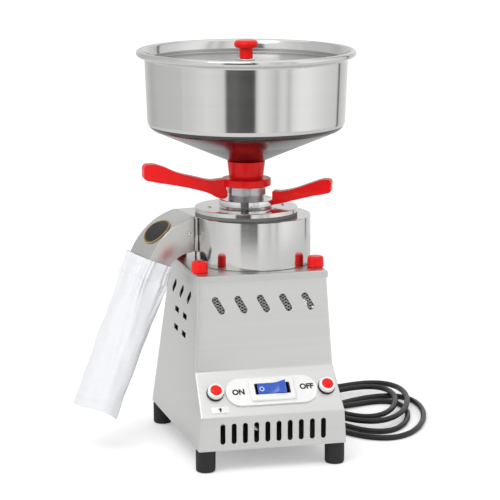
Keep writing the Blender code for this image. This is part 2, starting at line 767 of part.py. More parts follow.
def curve_mesh(name, curve):
    """A closed mesh of a curve, its caps welded on."""
    holder = bpy.data.objects.new(name + "_curve", curve)
    bpy.context.scene.collection.objects.link(holder)
    bpy.context.view_layer.update()
    shape = holder.evaluated_get(bpy.context.evaluated_depsgraph_get())
    mesh = bpy.data.meshes.new_from_object(shape)
    bpy.data.objects.remove(holder)
    bm = bmesh.new()
    bm.from_mesh(mesh)
    bmesh.ops.remove_doubles(bm, verts=bm.verts, dist=MERGE)
    bm.to_mesh(mesh)
    bm.free()
    mesh.name = name
    return mesh


def loft_into(bm, rings):
    """Faces between rings of points that follow each other, open at both ends."""
    rows = [[bm.verts.new(point) for point in ring] for ring in rings]
    for low, high in zip(rows, rows[1:]):
        count = len(low)
        for i in range(count):
            j = (i + 1) % count
            bm.faces.new((low[i], low[j], high[j], high[i]))


def casing_ring(z, inset=0.0):
    """Corners of the casing's section at a height, counterclockwise from above."""
    x, front, back = half_width(z) - inset, front_reach(z) - inset, back_reach(z) - inset
    return [(-x, -front, z), (x, -front, z), (x, back, z), (-x, back, z)]


def through_front(x, z, tilt=0.0):
    """Place of a slot cutter whose depth runs along Y; a positive tilt leans its top to the left."""
    upright = Matrix.Rotation(math.pi / 2, 4, "X") @ Matrix.Rotation(tilt, 4, "Z")
    return Matrix.Translation((x, -front_reach(z), z)) @ upright


def casing_openings():
    """All slots and holes of the casing as one cutter mesh."""
    bm = bmesh.new()
    depth = 2 * OVERRUN
    for i in range(SLOT_COUNT):
        x = (i - (SLOT_COUNT - 1) / 2) * SLOT_PITCH
        slot_into(bm, through_front(x, SLOT_Z, SLOT_TILT), SLOT_LENGTH, SLOT_WIDTH, depth)
    skirt_z = (BODY_BOTTOM_Z + SKIRT_TOP_Z) / 2
    for i in range(SKIRT_SLOT_COUNT):
        x = (i - (SKIRT_SLOT_COUNT - 1) / 2) * SKIRT_SLOT_PITCH
        slot_into(bm, through_front(x, skirt_z), SKIRT_SLOT_LENGTH, SKIRT_SLOT_WIDTH, depth, HOLE_STEPS)
    across = Matrix.Rotation(math.pi / 2, 4, "Y")
    wide = 2 * (BODY_BOTTOM_HALF + OVERRUN)
    for i in range(SIDE_SLOT_COUNT):
        y = SIDE_SLOT_SHIFT - (i - (SIDE_SLOT_COUNT - 1) / 2) * SIDE_SLOT_PITCH
        lean = Matrix.Rotation(SLOT_TILT, 4, "X") @ across @ Matrix.Rotation(math.pi / 2, 4, "Z")
        place = Matrix.Translation((0, y, SIDE_SLOT_Z)) @ lean
        slot_into(bm, place, SLOT_LENGTH, SLOT_WIDTH, wide, HOLE_STEPS)
    for row in range(2):
        for side in (-1, 1):
            y = SIDE_WINDOW_SHIFT + side * SIDE_WINDOW_PITCH_Y / 2
            z = SIDE_WINDOW_Z - row * SIDE_WINDOW_PITCH_Z
            half_y, half_z = SIDE_WINDOW_LENGTH / 2, SIDE_WINDOW_HEIGHT / 2
            box_into(bm, (-wide / 2, y - half_y, z - half_z), (wide / 2, y + half_y, z + half_z))
    for i in range(BACK_SLOT_ROWS):
        z = BACK_SLOT_Z + i * BACK_SLOT_PITCH
        place = Matrix.Translation((0, back_reach(z), z)) @ Matrix.Rotation(math.pi / 2, 4, "X")
        lying = place @ Matrix.Rotation(math.pi / 2, 4, "Z")
        slot_into(bm, lying, BACK_SLOT_LENGTH, BACK_SLOT_WIDTH, depth, HOLE_STEPS)
    return to_mesh(bm, "casing_openings")


def panel_openings():
    """The holes that the switch housing and the button barrels pass through, in the panel's frame."""
    bm = bmesh.new()
    half_x, half_y = HOUSING_LENGTH / 2 + BORE_PLAY, HOUSING_WIDTH / 2 + BORE_PLAY
    box_into(bm, (-half_x, -half_y, -OVERRUN), (half_x, half_y, OVERRUN))
    for side in (-1, 1):
        spot = (side * BUTTON_SPACING / 2, BUTTON_RISE)
        cylinder_into(bm, BARREL_RADIUS + BORE_PLAY, -OVERRUN, OVERRUN, SMALL_STEPS, spot)
    return to_mesh(bm, "panel_openings")


def build_casing(mill, panel, gland):
    bm = bmesh.new()
    loft_into(bm, [casing_ring(z) for z in (BODY_BOTTOM_Z, SKIRT_TOP_Z, PANEL_TOP_Z, CASING_TOP_Z)])
    casing = add("body_casing", to_mesh(bm, "body_casing"), SATIN_STEEL, mill)
    bevel(casing, FOLD_RADIUS, 2, math.radians(20))
    solidify(casing, SHEET)
    cut(casing, tool("casing_cutter", casing_openings(), mill))
    cut(casing, tool("panel_cutter", panel_openings(), panel))
    hole = cylinder("gland_hole", GLAND_SHANK_RADIUS + BORE_PLAY, -OVERRUN, OVERRUN, SMALL_STEPS)
    cut(casing, tool("gland_hole", hole, gland))


def build_vent_mesh(mill):
    """Expanded mesh, pierced only where the front slots show it."""
    lean = math.atan2(FRONT_FOLD - FRONT_TOP, CAP_LIP_Z - PANEL_TOP_Z)
    depth = SHEET + GAP + MESH_SHEET / 2
    face = empty("front_face", mill, (0, -front_reach(SLOT_Z), SLOT_Z), (math.pi / 2 - lean, 0, 0))
    half_x = (SLOT_COUNT - 1) / 2 * SLOT_PITCH + SLOT_LENGTH / 2 + MESH_MARGIN
    half_y = SLOT_LENGTH / 2 + MESH_MARGIN
    half_z = MESH_SHEET / 2
    blank = box("vent_mesh", (-half_x, -half_y, -half_z), (half_x, half_y, half_z))
    sheet = add("vent_mesh", blank, BLACK, face, (0, 0, -depth))
    bm = bmesh.new()
    rows = int(SLOT_LENGTH / DIAMOND_PITCH_ALONG)
    for i in range(SLOT_COUNT):
        x = (i - (SLOT_COUNT - 1) / 2) * SLOT_PITCH
        place = Matrix.Translation((x, 0, 0)) @ Matrix.Rotation(SLOT_TILT, 4, "Z")
        for row in range(rows):
            for column in range(-1, 2):
                if (row + column) % 2:
                    continue
                along = (row - (rows - 1) / 2) * DIAMOND_PITCH_ALONG
                spot = place @ Matrix.Translation((column * DIAMOND_PITCH_ACROSS, along, 0))
                shape = Matrix.Diagonal((DIAMOND_WIDTH / 2, DIAMOND_LENGTH / 2, 1, 1))
                bmesh.ops.create_cone(
                    bm, cap_ends=True, segments=4, radius1=1, radius2=1, depth=2 * OVERRUN, matrix=spot @ shape
                )
    cut(sheet, tool("diamonds", to_mesh(bm, "diamonds"), face, (0, 0, -depth)))


def build_base(mill):
    half = half_width(BASE_Z) - SHEET - GAP
    front, back = FRONT_SKIRT - SHEET - GAP, back_reach(BASE_Z + BASE_SHEET) - SHEET - GAP
    blank = box("base_plate", (-half, -front, BASE_Z), (half, back, BASE_Z + BASE_SHEET))
    plate = add("base_plate", blank, SATIN_STEEL, mill)
    bevel(plate, FOLD_RADIUS)
    bm = bmesh.new()
    for i in range(BASE_VENT_COUNT):
        turn = Matrix.Rotation(2 * math.pi * i / BASE_VENT_COUNT, 4, "Z")
        place = turn @ Matrix.Translation((0, BASE_VENT_RING, BASE_Z))
        slot_into(bm, place, BASE_VENT_LENGTH, BASE_VENT_WIDTH, 2 * OVERRUN, HOLE_STEPS)
    cut(plate, tool("base_vents", to_mesh(bm, "base_vents"), mill))


def build_feet(mill):
    outline = [(0, FOOT_HEIGHT), (FOOT_RADIUS, FOOT_HEIGHT)]
    inner = FOOT_RADIUS - FOOT_ROUNDING
    outline += arc(inner, FOOT_ROUNDING, FOOT_ROUNDING, 0, -90, 3) + [(0, 0)]
    for side, x in (("left", -FOOT_X), ("right", FOOT_X)):
        for end, y in (("front", -FOOT_FRONT_Y), ("back", FOOT_BACK_Y)):
            turned(f"foot_{end}_{side}", outline, RUBBER, mill, MOULDED_STEPS, location=(x, y, 0))


def build_cap(mill):
    wall = SHEET + GAP
    x, front, back = BODY_TOP_HALF + wall, FRONT_TOP + wall, BACK_TOP + wall
    bm = bmesh.new()
    box_into(bm, (-x, -front, CAP_LIP_Z), (x, back, CAP_TOP_Z))
    under = [f for f in bm.faces if all(abs(v.co.z - CAP_LIP_Z) < MERGE for v in f.verts)]
    bmesh.ops.delete(bm, geom=under, context="FACES_ONLY")
    cap = add("top_cap", to_mesh(bm, "top_cap"), SATIN_STEEL, mill)
    bevel(cap, CAP_CORNER, 2)
    solidify(cap, SHEET)
    bm = bmesh.new()
    cylinder_into(bm, CAP_BORE, CAP_TOP_Z - OVERRUN, CAP_TOP_Z + OVERRUN)
    for spot in knob_places().values():
        cylinder_into(bm, STUD_RADIUS + BORE_PLAY, CAP_TOP_Z - OVERRUN, CAP_TOP_Z + OVERRUN, HOLE_STEPS, spot)
    cut(cap, tool("cap_holes", to_mesh(bm, "cap_holes"), mill))


def knob_places():
    return {
        "front_left": (-KNOB_X, -KNOB_FRONT_Y),
        "front_right": (KNOB_X, -KNOB_FRONT_Y),
        "back_left": (-KNOB_X, KNOB_BACK_Y),
        "back_right": (KNOB_X, KNOB_BACK_Y),
    }


def build_knobs(mill):
    top = GAP + KNOB_HEIGHT
    shoulder = KNOB_RADIUS - KNOB_TAPER - KNOB_ROUNDING
    outline = [(0, top)] + arc(shoulder, top - KNOB_ROUNDING, KNOB_ROUNDING, 90, 0, 2)
    outline += [(KNOB_RADIUS, GAP), (STUD_RADIUS, GAP), (STUD_RADIUS, -STUD_LENGTH), (0, -STUD_LENGTH)]
    for name, (x, y) in knob_places().items():
        turned(f"corner_knob_{name}", outline, RED, mill, MOULDED_STEPS, location=(x, y, CAP_TOP_Z))


def build_drum(mill, outlet):
    """The drum, its outlet stub, flange and spigot, hollowed in one piece."""
    shell = cylinder("grinding_chamber", DRUM_RADIUS, DRUM_BOTTOM_Z, DRUM_TOP_Z, FINE_STEPS)
    drum = add("grinding_chamber", shell, POLISHED_STEEL, mill, (DRUM_SHIFT, 0, 0))
    low_y, high_y = -OUTLET_SIDE - OUTLET_WIDTH / 2, -OUTLET_SIDE + OUTLET_WIDTH / 2
    flange_x = OUTLET_SEAM - OUTLET_FLANGE
    stub = box("stub", (0, low_y, OUTLET_BOTTOM_Z), (flange_x, high_y, DRUM_TOP_Z))
    join(drum, tool("stub", stub, outlet))
    lip_low = (flange_x - MERGE, low_y - OUTLET_WALL, OUTLET_BOTTOM_Z)
    lip = box("flange", lip_low, (OUTLET_SEAM, high_y + OUTLET_FLANGE_LIP, DRUM_TOP_Z))
    join(drum, tool("flange", lip, outlet))
    inset = DUCT_SHEET + BORE_PLAY
    spigot_low, spigot_high = OUTLET_BOTTOM_Z + inset, DRUM_TOP_Z - SPIGOT_TOP_DROP
    spigot_end = OUTLET_SEAM + SPIGOT_LENGTH
    spigot = box("spigot", (flange_x, low_y + inset, spigot_low), (spigot_end, high_y - inset, spigot_high))
    join(drum, tool("spigot", spigot, outlet))
    bm = bmesh.new()
    floor, ceiling = DRUM_BOTTOM_Z + DRUM_FLOOR, DRUM_TOP_Z - DRUM_LID_PLATE
    cylinder_into(bm, DRUM_RADIUS - DRUM_WALL, floor, ceiling, FINE_STEPS)
    cut(drum, tool("drum_hollow", to_mesh(bm, "drum_hollow"), mill, (DRUM_SHIFT, 0, 0)))
    bm = bmesh.new()
    cylinder_into(bm, COVER_SPIGOT_RADIUS + BORE_PLAY, DRUM_TOP_Z - OVERRUN, DRUM_TOP_Z + OVERRUN, FINE_STEPS)
    cylinder_into(bm, SHAFT_HOLE, DRUM_BOTTOM_Z - OVERRUN, DRUM_BOTTOM_Z + DRUM_FLOOR + OVERRUN, SMALL_STEPS)
    cut(drum, tool("drum_holes", to_mesh(bm, "drum_holes"), mill))
    wall = inset + OUTLET_WALL
    way_low = (0, low_y + wall, spigot_low + OUTLET_WALL)
    way = box("outlet_way", way_low, (spigot_end + OVERRUN, high_y - wall, spigot_high - OUTLET_WALL))
    cut(drum, tool("outlet_way", way, outlet))
    cut(drum, tool("spigot_screw_holes", duct_screw_holes(), outlet))


def duct_screw_holes():
    """Cutter of the screw holes through both side walls of the duct and the spigot."""
    bm = bmesh.new()
    spot = Matrix.Translation((OUTLET_SEAM + DUCT_SCREW_REACH, -OUTLET_SIDE, DUCT_SCREW_Z))
    reach = OUTLET_WIDTH / 2 + OVERRUN
    cylinder_into(bm, SCREW_RADIUS + BORE_PLAY, -reach, reach, HOLE_STEPS)
    bmesh.ops.transform(bm, matrix=spot @ Matrix.Rotation(math.pi / 2, 4, "X"), verts=bm.verts)
    return to_mesh(bm, "duct_screw_holes")


def build_duct(outlet):
    half = OUTLET_WIDTH / 2
    rings = []
    for i in range(DUCT_STATIONS):
        share = i / (DUCT_STATIONS - 1)
        (out_a, z_a), (out_b, z_b) = duct_outer(share), duct_inner(share)
        rings.append([(out_a, -half, z_a), (out_a, half, z_a), (out_b, half, z_b), (out_b, -half, z_b)])
    bm = bmesh.new()
    loft_into(bm, rings)
    bmesh.ops.recalc_face_normals(bm, faces=bm.faces)
    seam = OUTLET_SEAM + GAP + DUCT_SHEET * math.sin(DUCT_OUTER_START + DUCT_OUTER_END / DUCT_STATIONS)
    duct = add("discharge_duct", to_mesh(bm, "discharge_duct"), SATIN_STEEL, outlet, (seam, -OUTLET_SIDE, 0))
    solidify(duct, DUCT_SHEET)
    cut(duct, tool("duct_holes", duct_screw_holes(), outlet))


def build_duct_screws(outlet):
    head = SCREW_HEAD_HEIGHT
    outline = [(0, GAP + head), (SCREW_HEAD_RADIUS / 2, GAP + SCREW_DOME_SHARE * head)]
    outline += [(SCREW_HEAD_RADIUS, GAP + SCREW_RIM_SHARE * head)]
    shank = DUCT_SHEET + OUTLET_WALL
    outline += [(SCREW_HEAD_RADIUS, GAP), (SCREW_RADIUS, GAP), (SCREW_RADIUS, -shank), (0, -shank)]
    out = OUTLET_SEAM + DUCT_SCREW_REACH
    for name, side in (("front", 1), ("back", -1)):
        y = -OUTLET_SIDE + side * OUTLET_WIDTH / 2
        turn = (-side * math.pi / 2, 0, 0)
        spot = (out, y, DUCT_SCREW_Z)
        turned(f"duct_screw_{name}", outline, CHROME, outlet, SMALL_STEPS, location=spot, rotation=turn)


def build_sleeve(outlet):
    """The cotton tube, open at both ends."""
    rings = [bag_ring(i / (BAG_STATIONS - 1)) for i in range(BAG_STATIONS)]
    bm = bmesh.new()
    loft_into(bm, rings)
    bmesh.ops.recalc_face_normals(bm, faces=bm.faces)
    sleeve = add("flour_sleeve", to_mesh(bm, "flour_sleeve"), COTTON, outlet, (OUTLET_SEAM, -OUTLET_SIDE, 0))
    solidify(sleeve, CLOTH)


def build_cover(mill):
    top, bottom, edge = COVER_TOP_Z, COVER_BOTTOM_Z, COVER_EDGE
    outline = [(SHOULDER_RADIUS, top), (COVER_RADIUS - edge, top), (COVER_RADIUS, top - edge)]
    outline += [(COVER_RADIUS, bottom)]
    outline += [(COVER_SPIGOT_RADIUS, bottom), (COVER_SPIGOT_RADIUS, COVER_SPIGOT_Z)]
    bore = SLEEVE_RADIUS + BORE_PLAY
    outline += [(bore, COVER_SPIGOT_Z), (bore, NECK_TOP_Z), (NECK_RADIUS, NECK_TOP_Z)]
    outline += [(NECK_RADIUS, SHOULDER_Z), (SHOULDER_RADIUS, SHOULDER_Z)]
    turned("chamber_cover", outline, POLISHED_STEEL, mill, FINE_STEPS, closed=True)
    low, high, inner = DRUM_TOP_Z + GAP, COVER_BOTTOM_Z - GAP, COVER_SPIGOT_RADIUS + GAP
    ring = [(GASKET_RADIUS, high), (GASKET_RADIUS, low), (inner, low), (inner, high)]
    turned("chamber_gasket", ring, RUBBER, mill, FINE_STEPS, closed=True)


def build_lock(mill):
    axis = empty("lock_axis", mill)
    low, high, edge = SHOULDER_Z + GAP, LOCK_RING_TOP_Z, LOCK_RING_EDGE
    outer, inner = LOCK_RING_RADIUS, NECK_RADIUS + BORE_PLAY
    outline = [(outer - edge, high), (outer, high - edge), (outer, low + edge), (outer - edge, low)]
    outline += [(inner, low), (inner, high)]
    ring = turned("lock_ring", outline, CHROME, axis, FINE_STEPS, closed=True)
    arm_frame = empty("lock_arm_frame", axis, (0, 0, 0), (0, 0, LOCK_ANGLE))
    sideways = (0, math.pi / 2, 0)
    bore = LOCK_STUD_RADIUS + BORE_PLAY
    hole = cylinder("lock_stud_hole", bore, inner - OVERRUN, outer + OVERRUN, SMALL_STEPS)
    cut(ring, tool("lock_stud_hole", hole, arm_frame, (0, 0, LOCK_STUD_Z), sideways))
    shares = LOCK_UPPER_SHARES + LOCK_TIP_SHARES + LOCK_LOWER_SHARES
    arm = arm_mesh("lock_handle", shares, LOCK_REACH, LOCK_LOW_Z, LOCK_TIP_Z)
    handle = add("lock_handle", arm, RED, arm_frame, (0, 0, 0), (math.pi / 2, 0, 0))
    bevel(handle, ARM_ROUNDING, 2, ARM_EDGE_ANGLE)
    root = cylinder("lock_root", outer + GAP, low - OVERRUN, high + 2 * LOCK_RING_RADIUS, FINE_STEPS)
    cut(handle, tool("lock_root", root, axis))
    reach = outer + 2 * LOCK_STUD_DEPTH
    stud = cylinder("lock_stud", LOCK_STUD_RADIUS, outer - LOCK_STUD_DEPTH, reach, SMALL_STEPS)
    join(handle, tool("lock_stud", stud, arm_frame, (0, 0, LOCK_STUD_Z), sideways))


def arm_mesh(name, shares, reach, low, high):
    """An arm's side outline, in the upright plane of the arm, extruded to its width."""
    outline = [(a * reach, low + b * (high - low)) for a, b in shares]
    return flat_piece(name, [outline], ARM_WIDTH, smooth=True)


def build_adjuster(mill):
    axis = empty("adjuster_axis", mill)
    edge, throat = PLATE_EDGE, SLEEVE_BORE + BORE_PLAY
    low, top = PLATE_LOW_Z, PLATE_TOP_Z
    outline = [(SOCKET_TOP_RADIUS, SOCKET_TOP_Z), (SOCKET_FOOT_RADIUS, top), (PLATE_RADIUS - edge, top)]
    outline += [(PLATE_RADIUS, top - edge), (PLATE_RADIUS, low + edge), (PLATE_RADIUS - edge, low)]
    outline += [(throat, low), (throat, SOCKET_LEDGE_Z), (SOCKET_BORE, SOCKET_LEDGE_Z)]
    outline += [(SOCKET_BORE, SOCKET_TOP_Z)]
    handle = turned("adjusting_handle", outline, RED, axis, FINE_STEPS, closed=True)
    frame = empty("adjuster_arm_frame", axis, (0, 0, 0), (0, 0, ADJUST_ANGLE))
    shares = ADJUST_UPPER_SHARES + ADJUST_TIP_SHARES + ADJUST_LOWER_SHARES
    leg_share = LEG_INNER / ADJUST_REACH
    shares = shares + [(leg_share + LEG_TOE_SHARE, 0.0), (leg_share, LEG_HEEL_SHARE)]
    plate_share = (PLATE_LOW_Z + PLATE_EDGE - ADJUST_LOW_Z) / (SOCKET_TOP_Z - ADJUST_LOW_Z)
    shares = shares + [(leg_share, plate_share), (ADJUST_INNER / ADJUST_REACH, plate_share + LEG_TOE_SHARE)]
    mesh = arm_mesh("adjuster_arm", shares, ADJUST_REACH, ADJUST_LOW_Z, SOCKET_TOP_Z)
    arm = tool("adjuster_arm", mesh, frame, (0, 0, 0), (math.pi / 2, 0, 0))
    bevel(arm, ARM_ROUNDING, 2, ARM_EDGE_ANGLE)
    join(handle, arm)
    return axis


def build_feed_sleeve(axis):
    bm = bmesh.new()
    cylinder_into(bm, SLEEVE_RADIUS, BED_TOP_Z + BED_TRAVEL + GAP, COLLAR_TOP_Z)
    sleeve = add("feed_sleeve", to_mesh(bm, "feed_sleeve"), ALUMINIUM, axis)
    join(sleeve, tool("collar", cylinder("collar", COLLAR_RADIUS, COLLAR_LOW_Z, COLLAR_TOP_Z, 6), axis))
    cut(sleeve, tool("feed_bore", cylinder("feed_bore", SLEEVE_BORE, BED_LOW_Z, COLLAR_TOP_Z + OVERRUN), axis))


def furrows(name, z, turn):
    """Cutter of the dressing: straight furrows that leave the eye off the radius."""
    bm = bmesh.new()
    for i in range(FURROW_COUNT):
        around = Matrix.Rotation(turn * 2 * math.pi * i / FURROW_COUNT, 4, "Z")
        low = (STONE_EYE - OVERRUN, turn * FURROW_DRAFT - FURROW_WIDTH / 2, z - FURROW_DEPTH)
        high = (STONE_RADIUS + OVERRUN, turn * FURROW_DRAFT + FURROW_WIDTH / 2, z + FURROW_DEPTH)
        verts = box_into(bm, low, high)
        bmesh.ops.transform(bm, matrix=around, verts=verts)
    return to_mesh(bm, name)


def build_stones(axis, runner):
    edge = STONE_EDGE
    low, high = BED_LOW_Z, BED_TOP_Z
    outline = [(STONE_RADIUS, high), (STONE_RADIUS, low + edge), (STONE_RADIUS - edge, low)]
    outline += [(STONE_EYE, low), (STONE_EYE, high)]
    bed = turned("bed_stone", outline, STONE, axis, ROUND_STEPS, closed=True)
    cut(bed, tool("bed_furrows", furrows("bed_furrows", low, 1), axis))
    low, high, bore = RUNNER_LOW_Z, RUNNER_TOP_Z, SPINDLE_RADIUS + BORE_PLAY
    outline = [(STONE_RADIUS - edge, high), (STONE_RADIUS, high - edge), (STONE_RADIUS, low)]
    outline += [(bore, low), (bore, high)]
    stone = turned("runner_stone", outline, STONE, runner, ROUND_STEPS, closed=True)
    cut(stone, tool("runner_furrows", furrows("runner_furrows", high, -1), runner))
    low, high, bore = BED_TOP_Z + GAP, BED_CARRIER_TOP_Z, SLEEVE_RADIUS + GAP
    ring = [(BED_CARRIER_RADIUS, high), (BED_CARRIER_RADIUS, low), (bore, low), (bore, high)]
    turned("bed_carrier", ring, ALUMINIUM, axis, ROUND_STEPS, closed=True)


def build_runner(runner):
    """Everything that turns with the shaft, except the stone."""
    outline = [(0, SPINDLE_TOP_Z), (SPINDLE_RADIUS, SPINDLE_TOP_Z), (SPINDLE_RADIUS, SHAFT_STEP_Z)]
    outline += [(SHAFT_RADIUS, SHAFT_STEP_Z), (SHAFT_RADIUS, SHAFT_LOW_Z), (0, SHAFT_LOW_Z)]
    turned("motor_shaft", outline, CHROME, runner, SMALL_STEPS)
    low, high, bore = CARRIER_LOW_Z, RUNNER_LOW_Z - GAP, SPINDLE_RADIUS + BORE_PLAY
    ring = [(CARRIER_RADIUS, high), (CARRIER_RADIUS, low), (bore, low), (bore, high)]
    carrier = turned("runner_carrier", ring, ALUMINIUM, runner, ROUND_STEPS, closed=True)
    inner, blade = CARRIER_RADIUS - OVERRUN, STONE_RADIUS + SWEEP_THICKNESS / 2
    sweep = [(inner, low), (SWEEP_REACH, low), (SWEEP_REACH, SWEEP_TOP_Z), (blade, SWEEP_TOP_Z)]
    sweep += [(blade, high), (inner, high)]
    for name, angle in (("sweep_right", 0), ("sweep_left", math.pi)):
        mesh = flat_piece(name, [sweep], SWEEP_THICKNESS)
        join(carrier, tool(name, mesh, runner, (0, 0, 0), (math.pi / 2, 0, angle)))
    bore = SHAFT_RADIUS + BORE_PLAY
    ring = [(ROTOR_RADIUS, ROTOR_TOP_Z), (ROTOR_RADIUS, ROTOR_LOW_Z), (bore, ROTOR_LOW_Z), (bore, ROTOR_TOP_Z)]
    turned("rotor", ring, IRON, runner, INNER_STEPS, closed=True)
    ring = [(FAN_HUB_RADIUS, FAN_TOP_Z), (FAN_HUB_RADIUS, FAN_LOW_Z), (bore, FAN_LOW_Z), (bore, FAN_TOP_Z)]
    fan = turned("cooling_fan", ring, BLACK, runner, SMALL_STEPS, closed=True)
    bm = bmesh.new()
    for i in range(FAN_BLADES):
        low = (FAN_HUB_RADIUS - FAN_BLADE, -FAN_BLADE / 2, FAN_LOW_Z)
        verts = box_into(bm, low, (FAN_RADIUS, FAN_BLADE / 2, FAN_TOP_Z - FAN_BLADE))
        bmesh.ops.transform(bm, matrix=Matrix.Rotation(2 * math.pi * i / FAN_BLADES, 4, "Z"), verts=verts)
    join(fan, tool("fan_blades", to_mesh(bm, "fan_blades"), runner))


def build_motor(mill):
    """The still parts of the motor: housing tube, both shields, stator core and bearings."""
    outer, inner = MOTOR_RADIUS, MOTOR_RADIUS - MOTOR_WALL
    ring = [(outer, MOTOR_TOP_Z), (outer, MOTOR_LOW_Z), (inner, MOTOR_LOW_Z), (inner, MOTOR_TOP_Z)]
    turned("motor_housing", ring, IRON, mill, INNER_STEPS, closed=True)
    top = CAP_TOP_Z - SHEET - GAP
    low, wall, seat = MOTOR_TOP_Z + GAP, SHIELD_WALL, BEARING_RADIUS + GAP
    seat_top, hub = UPPER_BEARING_Z + BEARING_HEIGHT + GAP, BEARING_RADIUS + GAP + BEARING_SEAT_WALL
    roof = seat_top - GAP
    rim = top - FLANGE_THICKNESS
    outline = [(FLANGE_RADIUS, top), (FLANGE_RADIUS, rim), (outer, rim), (outer, low), (outer - wall, low)]
    outline += [(outer - wall, roof), (hub, roof), (hub, UPPER_BEARING_Z), (seat, UPPER_BEARING_Z)]
    outline += [(seat, seat_top), (SHAFT_HOLE, seat_top), (SHAFT_HOLE, top)]
    turned("motor_upper_shield", outline, IRON, mill, INNER_STEPS, closed=True)
    high, floor = MOTOR_LOW_Z - GAP, LOWER_BEARING_Z - GAP
    bottom = floor - wall
    outline = [(outer, high), (outer, bottom), (SHAFT_HOLE, bottom), (SHAFT_HOLE, floor), (seat, floor)]
    seat_high = LOWER_BEARING_Z + BEARING_HEIGHT
    outline += [(seat, seat_high), (hub, seat_high), (hub, floor), (outer - wall, floor), (outer - wall, high)]
    turned("motor_lower_shield", outline, IRON, mill, INNER_STEPS, closed=True)
    core_outer, core_inner = inner - GAP, ROTOR_RADIUS + AIR_GAP
    low, high = ROTOR_LOW_Z, ROTOR_TOP_Z
    ring = [(core_outer, high), (core_outer, low), (core_inner, low), (core_inner, high)]
    turned("stator_core", ring, IRON, mill, INNER_STEPS, closed=True)
    bore = SHAFT_RADIUS + BORE_PLAY
    for name, z in (("upper_bearing", UPPER_BEARING_Z), ("lower_bearing", LOWER_BEARING_Z)):
        ring = [(BEARING_RADIUS, BEARING_HEIGHT), (BEARING_RADIUS, 0), (bore, 0), (bore, BEARING_HEIGHT)]
        turned(name, ring, CHROME, mill, INNER_STEPS, closed=True, location=(0, 0, z))


def build_capacitor(mill):
    floor = BASE_Z + BASE_SHEET + GAP
    place = empty("capacitor_place", mill, (CAPACITOR_X, CAPACITOR_Y, floor))
    edge = CLIP_STRAP
    radius, high = CAPACITOR_RADIUS, CAPACITOR_HEIGHT
    outline = [(0, high), (radius - edge, high), (radius, high - edge), (radius, 0), (0, 0)]
    turned("capacitor", outline, ALUMINIUM, place, INNER_STEPS)
    inner = CAPACITOR_RADIUS + GAP
    outer, high = inner + CLIP_STRAP, CLIP_HEIGHT
    ring = [(outer, high), (outer, high - CLIP_WIDTH), (inner, high - CLIP_WIDTH), (inner, high)]
    clip = turned("capacitor_clip", ring, SATIN_STEEL, place, INNER_STEPS, closed=True)
    back, face = -outer - CLIP_STRAP / 2, -outer + CLIP_STRAP / 2
    leg = [(-outer - CLIP_FOOT, 0), (face, 0), (face, high - CLIP_STRAP), (back, high - CLIP_STRAP)]
    leg += [(back, CLIP_STRAP), (-outer - CLIP_FOOT, CLIP_STRAP)]
    mesh = flat_piece("clip_leg", [leg], CLIP_WIDTH)
    join(clip, tool("clip_leg", mesh, place, (0, 0, 0), (math.pi / 2, 0, 0)))


def build_switch(panel):
    half = SWITCH_PLATE_LENGTH / 2 - SWITCH_PLATE_WIDTH / 2
    radius = SWITCH_PLATE_WIDTH / 2
    outline = [(half + x, y) for x, y in arc(0, 0, radius, -90, 90, PLATE_END_STEPS)]
    outline += [(x - half, y) for x, y in arc(0, 0, radius, 90, 270, PLATE_END_STEPS)]
    hx, hy = HOUSING_LENGTH / 2 + BORE_PLAY, HOUSING_WIDTH / 2 + BORE_PLAY
    hole = [(-hx, -hy), (-hx, hy), (hx, hy), (hx, -hy)]
    plate_z = GAP + SWITCH_PLATE_THICKNESS / 2
    plate = flat_piece("switch_plate", [outline, hole], SWITCH_PLATE_THICKNESS)
    add("switch_plate", plate, WHITE, panel, (0, 0, plate_z))
    low = 2 * GAP + SWITCH_PLATE_THICKNESS
    high = low + FRAME_HEIGHT
    fx, fy = FRAME_LENGTH / 2, FRAME_WIDTH / 2
    frame = add("switch_frame", box("switch_frame", (-fx, -fy, low), (fx, fy, high)), WHITE, panel)
    bevel(frame, FRAME_ROUNDING, 2)
    hx, hy = HOUSING_LENGTH / 2, HOUSING_WIDTH / 2
    housing = box("housing", (-hx, -hy, -HOUSING_DEPTH), (hx, hy, low + FRAME_HEIGHT / 2))
    join(frame, tool("housing", housing, panel))
    px, py = POCKET_LENGTH / 2, POCKET_WIDTH / 2
    pocket = box("pocket", (-px, -py, high - POCKET_DEPTH), (px, py, high + OVERRUN))
    cut(frame, tool("pocket", pocket, panel))
    pivot = empty("rocker_axis", panel, (0, 0, high - ROCKER_PIVOT_DEPTH), (0, -ROCKER_TILT, 0))
    x, end, mid = ROCKER_LENGTH / 2, ROCKER_END_RISE, ROCKER_MID_RISE
    edge, crest, pad, foot = (
        share * x for share in (1, ROCKER_CREST_SHARE, ROCKER_PAD_SHARE, ROCKER_FOOT_SHARE)
    )
    edge_z, pad_z = ROCKER_EDGE_SHARE * end, ROCKER_PAD_RISE_SHARE * mid
    outline = [(-edge, edge_z), (-crest, end), (-pad, pad_z), (0, mid), (pad, pad_z), (crest, end)]
    outline += [(edge, edge_z), (edge, 0), (foot, -ROCKER_DROP), (-foot, -ROCKER_DROP), (-edge, 0)]
    rocker = flat_piece("switch_rocker", [outline], ROCKER_WIDTH)
    lever = add("switch_rocker", rocker, BLUE, pivot, (0, 0, 0), (math.pi / 2, 0, 0))
    bevel(lever, ROCKER_ROUNDING, 2)


